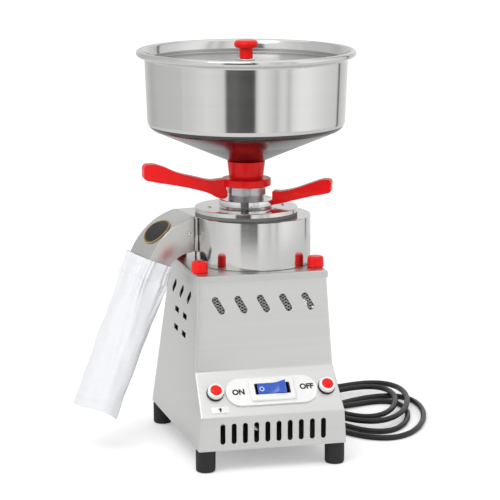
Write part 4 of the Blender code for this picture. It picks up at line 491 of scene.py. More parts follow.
def baked(mesh: bpy.types.Mesh, dress: Callable[[bpy.types.Object], None]) -> bpy.types.Mesh:
    """A plain mesh with modifiers applied.

    Args:
        mesh: What the modifiers start from.
        dress: Adds the modifiers to the object that it is given.

    Returns:
        The new mesh.
    """
    holder = bpy.data.objects.new(mesh.name + "_holder", mesh)
    bpy.context.scene.collection.objects.link(holder)
    dress(holder)
    bpy.context.view_layer.update()
    shape = holder.evaluated_get(bpy.context.evaluated_depsgraph_get())
    made = bpy.data.meshes.new_from_object(shape)
    made.name = mesh.name
    bpy.data.objects.remove(holder)
    return made


def combined(mesh: bpy.types.Mesh, other: bpy.types.Mesh, operation: str) -> bpy.types.Mesh:
    """A mesh joined with, or cut by, another; the operation is UNION or DIFFERENCE.

    Args:
        mesh: The mesh that stays.
        other: The mesh that is joined or cut away.
        operation: UNION or DIFFERENCE.

    Returns:
        The combined mesh.
    """
    partner = bpy.data.objects.new("partner", other)
    bpy.context.scene.collection.objects.link(partner)

    def dress(holder: bpy.types.Object) -> None:
        """Adds the boolean step."""
        step = holder.modifiers.new("boolean", "BOOLEAN")
        step.operation = operation
        step.solver = "EXACT"
        step.object = partner

    made = baked(mesh, dress)
    bpy.data.objects.remove(partner)
    return made


def bevelled(
    mesh: bpy.types.Mesh, width: float, segments: int = 4, angle: float = SMOOTH_ANGLE
) -> bpy.types.Mesh:
    """A mesh with its edges rounded where they are sharper than an angle.

    Args:
        mesh: The mesh.
        width: Width of the rounding.
        segments: Steps across it.
        angle: Edges sharper than this are rounded.

    Returns:
        The rounded mesh.
    """

    def dress(holder: bpy.types.Object) -> None:
        """Adds the bevel step."""
        step = holder.modifiers.new("bevel", "BEVEL")
        step.width = width
        step.segments = segments
        step.limit_method = "ANGLE"
        step.angle_limit = angle

    return baked(mesh, dress)


def thickened(mesh: bpy.types.Mesh, thickness: float) -> bpy.types.Mesh:
    """An open sheet given a wall on its inner side.

    Args:
        mesh: The open sheet.
        thickness: Thickness of its wall.

    Returns:
        The closed mesh.
    """

    def dress(holder: bpy.types.Object) -> None:
        """Adds the wall."""
        step = holder.modifiers.new("wall", "SOLIDIFY")
        step.thickness = thickness
        step.offset = -1.0
        step.use_even_offset = True

    return baked(mesh, dress)


def box_into(bm: bmesh.types.BMesh, low: Sequence[float], high: Sequence[float]) -> list[bmesh.types.BMVert]:
    """Adds a box between two corners, and returns its corners."""
    low, high = Vector(low), Vector(high)
    place = Matrix.Translation((low + high) / 2) @ Matrix.Diagonal((*(high - low), 1))
    return bmesh.ops.create_cube(bm, size=1, matrix=place)["verts"]


def box(name: str, low: Sequence[float], high: Sequence[float]) -> bpy.types.Mesh:
    """A box, for rounding and cutting."""
    bm = bmesh.new()
    box_into(bm, low, high)
    return to_mesh(bm, name)


def cylinder_into(
    bm: bmesh.types.BMesh, radius: float, low: float, high: float, steps: int = 64, centre: Point = (0, 0)
) -> None:
    """Adds an upright cylinder between two heights."""
    place = Matrix.Translation((*centre, (low + high) / 2))
    bmesh.ops.create_cone(
        bm, cap_ends=True, segments=steps, radius1=radius, radius2=radius, depth=high - low, matrix=place
    )


def slot_into(
    bm: bmesh.types.BMesh, place: Matrix, length: float, width: float, depth: float, steps: int = 28
) -> None:
    """Adds a prism with round ends, its length along Y and its depth along Z, set down by a matrix.

    Args:
        bm: What the prism is added to.
        place: Its place and turn.
        length: Its length.
        width: Its width.
        depth: Its depth.
        steps: Steps of its round ends.
    """
    turn = Matrix.Rotation(math.pi / steps, 4, "Z")
    made = bmesh.ops.create_cone(
        bm, cap_ends=True, segments=steps, radius1=width / 2, radius2=width / 2, depth=depth, matrix=turn
    )["verts"]
    for vert in made:
        vert.co.y += math.copysign((length - width) / 2, vert.co.y)
    bmesh.ops.transform(bm, matrix=place, verts=made)


def loft(name: str, rings: Sequence[Sequence[Sequence[float]]], capped: bool = False) -> bpy.types.Mesh:
    """Faces between closed rings of points that follow each other.

    Args:
        name: Name of the mesh.
        rings: Rings with the same number of points.
        capped: Whether both ends are closed.

    Returns:
        The mesh.
    """
    bm = bmesh.new()
    rows = [[bm.verts.new(point) for point in ring] for ring in rings]
    for low, high in zip(rows, rows[1:]):
        count = len(low)
        for i in range(count):
            j = (i + 1) % count
            bm.faces.new((low[i], low[j], high[j], high[i]))
    if capped:
        bm.faces.new(rows[0])
        bm.faces.new(rows[-1])
        outward(bm)
    return to_mesh(bm, name)


def arc(centre_r: float, centre_z: float, radius: float, start: float, end: float, count: int) -> Outline:
    """Points on a circle, the angles in degrees from +X."""
    angles = [math.radians(start + (end - start) * i / count) for i in range(count + 1)]
    return [(centre_r + radius * math.cos(a), centre_z + radius * math.sin(a)) for a in angles]


def flat_solid(
    name: str, outlines: Sequence[Outline], thickness: float, smooth: bool = False, resolution: int = 8
) -> bpy.types.Mesh:
    """Flat outlines, the later ones being holes, extruded evenly to both sides of their plane.

    Args:
        name: Name of the mesh.
        outlines: Closed outlines.
        thickness: Whole thickness.
        smooth: Whether the outline runs smoothly through its points.
        resolution: Points between two points of a smooth outline.

    Returns:
        A closed mesh.
    """
    curve = bpy.data.curves.new(name, "CURVE")
    curve.dimensions = "2D"
    curve.fill_mode = "BOTH"
    curve.extrude = thickness / 2
    curve.resolution_u = resolution
    for outline in outlines:
        spline = curve.splines.new("BEZIER" if smooth else "POLY")
        points = spline.bezier_points if smooth else spline.points
        points.add(len(outline) - 1)
        for point, (x, y) in zip(points, outline):
            if smooth:
                point.co = (x, y, 0)
                point.handle_left_type = "AUTO"
                point.handle_right_type = "AUTO"
            else:
                point.co = (x, y, 0, 1)
        spline.use_cyclic_u = True
    return curve_mesh(name, curve)


def curve_mesh(name: str, curve: bpy.types.Curve) -> bpy.types.Mesh:
    """The closed mesh of a curve or a text, its caps welded on.

    Args:
        name: Name of the mesh.
        curve: The curve or text.

    Returns:
        The closed mesh.
    """
    holder = bpy.data.objects.new(name + "_curve", curve)
    bpy.context.scene.collection.objects.link(holder)
    bpy.context.view_layer.update()
    shape = holder.evaluated_get(bpy.context.evaluated_depsgraph_get())
    mesh = bpy.data.meshes.new_from_object(shape)
    bpy.data.objects.remove(holder)
    bm = bmesh.new()
    bm.from_mesh(mesh)
    outward(bm)
    bm.to_mesh(mesh)
    bm.free()
    mesh.name = name
    return mesh


class Tree:
    """A Geometry Nodes tree with named inputs, that ends in Realize Instances and Set Material."""

    def __init__(self, name: str, inputs: Sequence[tuple[str, str]]) -> None:
        """Starts the tree.

        Args:
            name: Name of the tree.
            inputs: Name and socket type of each input after the geometry and the material.
        """
        self.group = bpy.data.node_groups.new(name, "GeometryNodeTree")
        face = self.group.interface
        face.new_socket("Geometry", in_out="INPUT", socket_type="NodeSocketGeometry")
        face.new_socket("Material", in_out="INPUT", socket_type="NodeSocketMaterial")
        for label, kind in inputs:
            face.new_socket(label, in_out="INPUT", socket_type=kind)
        face.new_socket("Geometry", in_out="OUTPUT", socket_type="NodeSocketGeometry")
        self.source = self.group.nodes.new("NodeGroupInput")
        self.target = self.group.nodes.new("NodeGroupOutput")

    def add(self, kind: str, settings: dict | None = None, **values: object) -> bpy.types.Node:
        """Adds a node; values go to inputs by name or, as _0, _1 and so on, by number.

        Args:
            kind: Type of the node.
            settings: Properties to set on it.

        Returns:
            The node.
        """
        node = self.group.nodes.new(kind)
        for key, value in (settings or {}).items():
            setattr(node, key, value)
        for key, value in values.items():
            socket = node.inputs[int(key[1:])] if key[0] == "_" else node.inputs[key.replace("_", " ")]
            if isinstance(value, bpy.types.NodeSocket):
                self.group.links.new(value, socket)
            else:
                socket.default_value = value
        return node

    def end(self, geometry: bpy.types.NodeSocket) -> None:
        """Realizes the instances, gives them the material and closes the tree."""
        real = self.add("GeometryNodeRealizeInstances", _0=geometry)
        dressed = self.add(
            "GeometryNodeSetMaterial", Geometry=real.outputs[0], Material=self.source.outputs["Material"]
        )
        self.group.links.new(dressed.outputs[0], self.target.inputs[0])

    def run(self, mesh: bpy.types.Mesh, material: bpy.types.Material, **values: object) -> bpy.types.Mesh:
        """Runs the tree on a mesh.

        Args:
            mesh: The input geometry.
            material: What the result is made of.
            **values: Inputs by name, underscores standing for spaces.

        Returns:
            The result as a plain mesh.
        """
        sockets = {
            item.name: item.identifier for item in self.group.interface.items_tree if item.in_out == "INPUT"
        }

        def dress(holder: bpy.types.Object) -> None:
            """Adds the tree as a modifier and sets its inputs."""
            step = holder.modifiers.new("nodes", "NODES")
            step.node_group = self.group
            step[sockets["Material"]] = material
            for key, value in values.items():
                step[sockets[key.replace("_", " ")]] = value

        return baked(mesh, dress)


class Lathe(Tree):
    """Turns outlines into round pieces."""

    HUB = 0.001

    def __init__(self) -> None:
        """Builds the tree: the outline is carried round a small hub circle."""
        super().__init__("turned_piece", [("Steps", "NodeSocketInt")])
        line = self.add("GeometryNodeMeshToCurve", _0=self.source.outputs["Geometry"])
        hub = self.add(
            "GeometryNodeCurvePrimitiveCircle", Resolution=self.source.outputs["Steps"], Radius=self.HUB
        )
        swept = self.add("GeometryNodeCurveToMesh", _0=hub.outputs[0], _1=line.outputs[0])
        self.end(swept.outputs[0])

    def turn(
        self, name: str, outline: Outline, material: bpy.types.Material, steps: int, closed: bool
    ) -> bpy.types.Mesh:
        """Turns an outline of radii and heights about Z.

        Args:
            name: Name of the mesh.
            outline: Points of radius and height.
            material: What the piece is made of.
            steps: Steps round.
            closed: Whether the outline closes on itself; otherwise it starts and ends on the axis.

        Returns:
            A closed mesh.
        """
        bm = bmesh.new()
        verts = [bm.verts.new((r - self.HUB, -z, 0)) for r, z in outline]
        ends = verts[1:] + verts[:1] if closed else verts[1:]
        for a, b in zip(verts, ends):
            bm.edges.new((a, b))
        mesh = self.run(to_mesh(bm, name), material, Steps=steps)
        bm = bmesh.new()
        bm.from_mesh(mesh)
        outward(bm)
        bm.to_mesh(mesh)
        bm.free()
        return mesh


class Workshop:
    """Finishes meshes as pieces of the mill: sets them in the frame and gives them finish and body."""

    def __init__(self) -> None:
        """Finds the mill's axis in the frame and makes the palette and the lathe."""
        low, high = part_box("hopper_bowl")
        self.shift = Vector(((low.x + high.x) / 2, (low.y + high.y) / 2, 0.0))
        self.palette = Palette(self.shift)
        self.lathe = Lathe()
        self.count = 0

    def turned(
        self, name: str, outline: Outline, finish: object, steps: int = 96, closed: bool = False
    ) -> bpy.types.Mesh:
        """A turned mesh about the mill's axis."""
        return self.lathe.turn(name, outline, self.palette.material(finish), steps, closed)

    def piece(
        self,
        name: str,
        mesh: bpy.types.Mesh,
        finish: object,
        *nodes: str,
        body: Body | None = None,
        place: Matrix = Matrix.Identity(4),
        angle: float = SMOOTH_ANGLE,
    ) -> bpy.types.Object:
        """Makes a finished piece.

        Args:
            name: Name of the piece.
            mesh: Its mesh, round the mill's axis or in the frame that place sets down.
            finish: Its finish.
            *nodes: The CAD nodes that it stands for; it rides on the body of the first.
            body: The body, where it stands for no node.
            place: Where the mesh goes, from the mill's axis.
            angle: Edges sharper than this stay sharp.

        Returns:
            The object.
        """
        mesh.transform(Matrix.Translation(self.shift) @ place)
        mesh.name = name
        mesh.materials.clear()
        mesh.materials.append(self.palette.material(finish))
        for face in mesh.polygons:
            face.material_index = 0
        mesh.shade_smooth()
        mesh.set_sharp_from_angle(angle=angle)
        made = bpy.data.objects.new(name, mesh)
        bpy.context.scene.collection.objects.link(made)
        self.seat(made, finish, nodes, body)
        return made

    def seat(
        self, made: bpy.types.Object, finish: object, nodes: Sequence[str] = (), body: Body | None = None
    ) -> None:
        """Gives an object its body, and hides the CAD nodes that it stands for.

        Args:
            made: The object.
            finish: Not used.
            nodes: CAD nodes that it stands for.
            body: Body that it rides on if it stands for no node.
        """
        rider = body_of(frame["nodes"][nodes[0]])[0] if nodes else body.value
        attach(made, rider)
        if nodes:
            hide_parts(*nodes)
        self.count += 1
        LOG.info(
            "%s rides on %s, %s", made.name, rider, "for " + ", ".join(nodes) if nodes else "as an addition"
        )

    def dress_node(self, node: str, finish: object) -> None:
        """Gives a CAD node that stays its procedural finish."""
        for holder in frame["nodes"][node].material_slots:
            holder.material = self.palette.material(finish)
        LOG.info("%s keeps its CAD shape in %s", node, finish.name)


# Casing


def share_of(value: float, low: float, high: float) -> float:
    """Where a value lies between two others."""
    return (value - low) / (high - low)


@dataclass
class Casing:
    """The folded body: walls, control panel, skirt, vents, top cap, feet and base."""

    sheet: float = 0.0015
    fold: float = 0.0020
    bottom_half: float = 0.1024
    top_half: float = 0.0892
    foot_height: float = 0.030
    skirt_top: float = 0.0760
    panel_top: float = 0.1283
    cap_lip: float = 0.2485
    cap_top: float = 0.2583
    front_skirt: float = 0.1457
    front_fold: float = 0.0967
    front_top: float = 0.0908
    back_bottom: float = 0.1495
    back_top: float = 0.0812
    slot_size: tuple[float, float] = (0.0268, 0.0092)
    slot_tilt: float = math.radians(30)
    slot_count: int = 5
    slot_pitch: float = 0.0312
    slot_z: float = 0.2172
    side_slot_count: int = 3
    side_slot_tilt: float = math.radians(50)
    side_slot_pitch: float = 0.0440
    side_slot_z: float = 0.2195
    side_slot_shift: float = 0.0035
    window_size: tuple[float, float] = (0.0230, 0.0076)
    window_pitch: tuple[float, float] = (0.0470, 0.0250)
    window_z: float = 0.1900
    window_shift: float = 0.0015
    skirt_count: int = 10
    skirt_pitch: float = 0.0155
    skirt_size: tuple[float, float] = (0.0280, 0.0070)
    back_rows: int = 5
    back_pitch: float = 0.0170
    back_size: tuple[float, float] = (0.0600, 0.0060)
    back_z: float = 0.1150
    cap_corner: float = 0.0025
    cap_bore: float = 0.0200
    knob_radius: float = 0.0115
    knob_height: float = 0.0149
    knob_rounding: float = 0.0030
    knob_spots: dict[str, Point] = field(
        default_factory=lambda: {
            "front_left": (-0.0812, -0.0630),
            "front_right": (0.0812, -0.0630),
            "back_left": (-0.0812, 0.0640),
            "back_right": (0.0812, 0.0640),
        }
    )
    stud: tuple[float, float] = (0.0025, 0.0080)
    foot_radius: float = 0.01345
    foot_rounding: float = 0.0038
    foot_inset: tuple[float, float] = (0.0125, 0.0150)
    strand: float = 0.0013

    @property
    def bottom(self) -> float:
        """Height of the casing's lower edge."""
        return self.foot_height + self.sheet / 2

    def half(self, z: float) -> float:
        """Half width of the outside at a height."""
        return self.bottom_half + share_of(z, self.bottom, self.cap_lip) * (self.top_half - self.bottom_half)

    def front(self, z: float) -> float:
        """How far the outside stands in front of the axis at a height."""
        if z <= self.skirt_top:
            return self.front_skirt
        if z <= self.panel_top:
            share = share_of(z, self.skirt_top, self.panel_top)
            return self.front_skirt + share * (self.front_fold - self.front_skirt)
        share = share_of(z, self.panel_top, self.cap_lip)
        return self.front_fold + share * (self.front_top - self.front_fold)

    def back(self, z: float) -> float:
        """How far the outside stands behind the axis at a height."""
        return self.back_bottom + share_of(z, self.bottom, self.cap_lip) * (self.back_top - self.back_bottom)

    def ring(self, z: float) -> list[tuple[float, float, float]]:
        """Corners of the section at a height."""
        x, front, back = self.half(z), self.front(z), self.back(z)
        return [(-x, -front, z), (x, -front, z), (x, back, z), (-x, back, z)]

    @property
    def panel(self) -> Matrix:
        """Frame of the control panel: X to the right, Y up the slope, Z out of it."""
        lean = math.atan2(self.panel_top - self.skirt_top, self.front_skirt - self.front_fold)
        spot = (0.0035, -(self.front_skirt + self.front_fold) / 2, (self.skirt_top + self.panel_top) / 2)
        return Matrix.Translation(spot) @ Matrix.Rotation(lean, 4, "X")

    @property
    def gland(self) -> Matrix:
        """Frame of the cord gland: Z straight out of the sloped back."""
        lean = math.atan2(self.back_bottom - self.back_top, self.cap_lip - self.bottom)
        return Matrix.Translation(
            (0.060, self.back(0.062), 0.062)
        ) @ Matrix.Rotation(lean - math.pi / 2, 4, "X")

    def openings(self) -> bpy.types.Mesh:
        """All slots and windows as one cutter.

        Returns:
            The cutter.
        """
        bm = bmesh.new()
        depth, upright = 2 * OVERRUN, Matrix.Rotation(math.pi / 2, 4, "X")
        for i in range(self.slot_count):
            x = (i - (self.slot_count - 1) / 2) * self.slot_pitch
            place = Matrix.Translation((x, -self.front(self.slot_z), self.slot_z)) @ upright
            slot_into(bm, place @ Matrix.Rotation(self.slot_tilt, 4, "Z"), *self.slot_size, depth)
        middle = (self.bottom + self.skirt_top) / 2
        for i in range(self.skirt_count):
            x = (i - (self.skirt_count - 1) / 2) * self.skirt_pitch
            slot_into(
                bm, Matrix.Translation((x, -self.front_skirt, middle)) @ upright, *self.skirt_size, depth
            )
        across, wide = Matrix.Rotation(math.pi / 2, 4, "Y"), 2 * (self.bottom_half + OVERRUN)
        lean = Matrix.Rotation(self.side_slot_tilt, 4, "X") @ across @ Matrix.Rotation(math.pi / 2, 4, "Z")
        for i in range(self.side_slot_count):
            y = self.side_slot_shift - (i - (self.side_slot_count - 1) / 2) * self.side_slot_pitch
            slot_into(bm, Matrix.Translation((0, y, self.side_slot_z)) @ lean, *self.slot_size, wide)
        half_y, half_z = self.window_size[0] / 2, self.window_size[1] / 2
        for row in range(2):
            for side in (-1, 1):
                y = self.window_shift + side * self.window_pitch[0] / 2
                z = self.window_z - row * self.window_pitch[1]
                box_into(bm, (-wide / 2, y - half_y, z - half_z), (wide / 2, y + half_y, z + half_z))
        for i in range(self.back_rows):
            z = self.back_z + i * self.back_pitch
            place = Matrix.Translation((0, self.back(z), z)) @ upright @ Matrix.Rotation(math.pi / 2, 4, "Z")
            slot_into(bm, place, *self.back_size, depth)
        return to_mesh(bm, "casing_openings")

    def panel_openings(self) -> bpy.types.Mesh:
        """The holes for the switch housing, the buttons and the gland.

        Returns:
            The cutter.
        """
        bm = bmesh.new()
        box_into(bm, (-0.0268, -0.0118, -OVERRUN), (0.0268, 0.0118, OVERRUN))
        for side in (-1, 1):
            cylinder_into(bm, 0.0091, -OVERRUN, OVERRUN, 48, (side * 0.0775, 0.002))
        bmesh.ops.transform(bm, matrix=self.panel, verts=bm.verts)
        hole = bmesh.new()
        cylinder_into(hole, 0.0070, -OVERRUN, OVERRUN, 48)
        bmesh.ops.transform(hole, matrix=self.gland, verts=hole.verts)
        other = to_mesh(hole, "gland_hole")
        bm.from_mesh(other)
        return to_mesh(bm, "panel_openings")

    def shell(self) -> bpy.types.Mesh:
        """The folded sheet with all its openings."""
        heights = (self.bottom, self.skirt_top, self.panel_top, self.cap_top - self.sheet - GAP)
        skin = bevelled(loft("casing", [self.ring(z) for z in heights]), self.fold, 5, math.radians(20))
        solid = thickened(skin, self.sheet)
        return combined(combined(solid, self.openings(), "DIFFERENCE"), self.panel_openings(), "DIFFERENCE")

    def cap(self) -> bpy.types.Mesh:
        """The top cap with its turned-down edge.

        Returns:
            The cap's mesh.
        """
        wall = self.sheet + GAP
        x, front, back = self.top_half + wall, self.front_top + wall, self.back_top + wall
        bm = bmesh.new()
        box_into(bm, (-x, -front, self.cap_lip), (x, back, self.cap_top))
        under = [f for f in bm.faces if all(abs(v.co.z - self.cap_lip) < MERGE for v in f.verts)]
        bmesh.ops.delete(bm, geom=under, context="FACES_ONLY")
        solid = thickened(bevelled(to_mesh(bm, "cap"), self.cap_corner, 6), self.sheet)
        bm = bmesh.new()
        cylinder_into(bm, self.cap_bore, self.cap_top - OVERRUN, self.cap_top + OVERRUN)
        for spot in self.knob_spots.values():
            cylinder_into(bm, self.stud[0] + GAP, self.cap_top - OVERRUN, self.cap_top + OVERRUN, 24, spot)
        return combined(solid, to_mesh(bm, "cap_holes"), "DIFFERENCE")

    def lattice(self, shop: Workshop) -> bpy.types.Mesh:
        """Expanded mesh behind the front slots, in the front face's frame.

        Args:
            shop: The workshop, for the material.

        Returns:
            The mesh, its strands running along X.
        """
        tree = Tree(
            "expanded_mesh",
            [("Half Width", "NodeSocketFloat"), ("Half Height", "NodeSocketFloat"),
             ("Cell", "NodeSocketFloat"),
             ("Rise", "NodeSocketFloat"), ("Strand", "NodeSocketFloat")],
        )
        inputs = tree.source.outputs
        math_node = "ShaderNodeMath"
        steps = tree.add(math_node, {"operation": "DIVIDE"}, _0=inputs["Half Width"], _1=inputs["Cell"])
        count = tree.add(math_node, {"operation": "MULTIPLY"}, _0=steps.outputs[0], _1=4.0)
        half_cell = tree.add(math_node, {"operation": "MULTIPLY"}, _0=inputs["Cell"], _1=0.5)
        start = tree.add(math_node, {"operation": "MULTIPLY"}, _0=inputs["Half Width"], _1=-1.0)
        begin = tree.add("ShaderNodeCombineXYZ", X=start.outputs[0])
        step = tree.add("ShaderNodeCombineXYZ", X=half_cell.outputs[0])
        line = tree.add(
            "GeometryNodeMeshLine", Count=count.outputs[0], Start_Location=begin.outputs[0],
            Offset=step.outputs[0]
        )
        index = tree.add("GeometryNodeInputIndex")
        parity = tree.add(math_node, {"operation": "MODULO"}, _0=index.outputs[0], _1=2.0)
        lift = tree.add(math_node, {"operation": "MULTIPLY"}, _0=parity.outputs[0], _1=inputs["Rise"])
        offset = tree.add("ShaderNodeCombineXYZ", Y=lift.outputs[0])
        zigzag = tree.add("GeometryNodeSetPosition", Geometry=line.outputs[0], Offset=offset.outputs[0])
        curve = tree.add("GeometryNodeMeshToCurve", _0=zigzag.outputs[0])
        section = tree.add("GeometryNodeCurvePrimitiveCircle", Resolution=4, Radius=inputs["Strand"])
        wire = tree.add("GeometryNodeCurveToMesh", _0=curve.outputs[0], _1=section.outputs[0])
        wire.inputs["Fill Caps"].default_value = True
        rows = tree.add(math_node, {"operation": "DIVIDE"}, _0=inputs["Half Height"], _1=inputs["Rise"])
        row_count = tree.add(math_node, {"operation": "MULTIPLY"}, _0=rows.outputs[0], _1=2.0)
        low = tree.add(math_node, {"operation": "MULTIPLY"}, _0=inputs["Half Height"], _1=-1.0)
        row_start = tree.add("ShaderNodeCombineXYZ", Y=low.outputs[0])
        row_step = tree.add("ShaderNodeCombineXYZ", Y=inputs["Rise"])
        spots = tree.add(
            "GeometryNodeMeshLine", Count=row_count.outputs[0], Start_Location=row_start.outputs[0],
            Offset=row_step.outputs[0]
        )
        row_index = tree.add("GeometryNodeInputIndex")
        odd = tree.add(math_node, {"operation": "MODULO"}, _0=row_index.outputs[0], _1=2.0)
        shove = tree.add(math_node, {"operation": "MULTIPLY"}, _0=odd.outputs[0], _1=half_cell.outputs[0])
        sideways = tree.add("ShaderNodeCombineXYZ", X=shove.outputs[0])
        staggered = tree.add("GeometryNodeSetPosition", Geometry=spots.outputs[0], Offset=sideways.outputs[0])
        rowed = tree.add(
            "GeometryNodeInstanceOnPoints", Points=staggered.outputs[0], Instance=wire.outputs[0]
        )
        tree.end(rowed.outputs[0])
        seed = bpy.data.meshes.new("lattice")
        half_width = (self.slot_count - 1) / 2 * self.slot_pitch + self.slot_size[0] / 2 + 0.010
        half_height = self.slot_size[0] / 2 + 0.004
        material = shop.palette.material(Palette.LATTICE)
        return tree.run(
            seed, material, Half_Width=half_width, Half_Height=half_height, Cell=0.0076, Rise=0.0021,
            Strand=self.strand / 2
        )

    def build(self, shop: Workshop) -> None:
        """Makes every piece of the casing.

        Args:
            shop: The workshop.
        """
        shop.piece("casing_shell", self.shell(), Palette.SHEET, "body_casing")
        shop.piece("cap_sheet", self.cap(), Palette.CAP_SHEET, "top_cap")
        lean = math.atan2(self.front_fold - self.front_top, self.cap_lip - self.panel_top)
        face = Matrix.Translation(
            (0, -self.front(self.slot_z), self.slot_z)
        ) @ Matrix.Rotation(math.pi / 2 - lean, 4, "X")
        behind = face @ Matrix.Translation((0, 0, -self.sheet - GAP - self.strand / 2))
        shop.piece("vent_lattice", self.lattice(shop), Palette.LATTICE, "vent_mesh", place=behind)
        self.build_knobs(shop)
        self.build_feet(shop)
        shop.dress_node("base_plate", Palette.PLATE)

    def build_knobs(self, shop: Workshop) -> None:
        """The four corner knobs.

        Args:
            shop: The workshop.
        """
        top, rounding = GAP + self.knob_height, self.knob_rounding
        edge = self.knob_radius - 0.0006
        outline = [(0, top)] + arc(edge - rounding, top - rounding, rounding, 90, 0, 8)
        outline += [(self.knob_radius, GAP + 0.0012)] + arc(
            self.knob_radius - 0.0008, GAP + 0.0008, 0.0008, 0, -90, 3
        )
        outline += [(self.stud[0], GAP), (self.stud[0], -self.stud[1]), (0, -self.stud[1])]
        for name, (x, y) in self.knob_spots.items():
            mesh = shop.turned("knob", outline, Palette.RED, 64)
            place = Matrix.Translation((x, y, self.cap_top))
            shop.piece(f"knob_{name}_cap", mesh, Palette.RED, f"corner_knob_{name}", place=place)

    def build_feet(self, shop: Workshop) -> None:
        """The four rubber feet, with the recess of their screw below.

        Args:
            shop: The workshop.
        """
        rounding, radius, high = self.foot_rounding, self.foot_radius, self.foot_height
        outline = [(0, high), (radius - 0.0006, high), (radius, high - 0.0006)]
        outline += arc(radius - rounding - 0.0002, rounding, rounding, 0, -90, 8)
        outline += [(0.0048, 0), (0.0044, 0.0006), (0.0044, 0.0060), (0, 0.0060)]
        x = self.bottom_half - self.foot_inset[0]
        spots = {
            "front": self.foot_inset[1] - self.front_skirt, "back": self.back_bottom - self.foot_inset[1]
        }
        for side, sign in (("left", -1), ("right", 1)):
            for end, y in spots.items():
                mesh = shop.turned("foot", outline, Palette.RUBBER, 64)
                place = Matrix.Translation((sign * x, y, 0))
                shop.piece(f"rubber_{end}_{side}", mesh, Palette.RUBBER, f"foot_{end}_{side}", place=place)


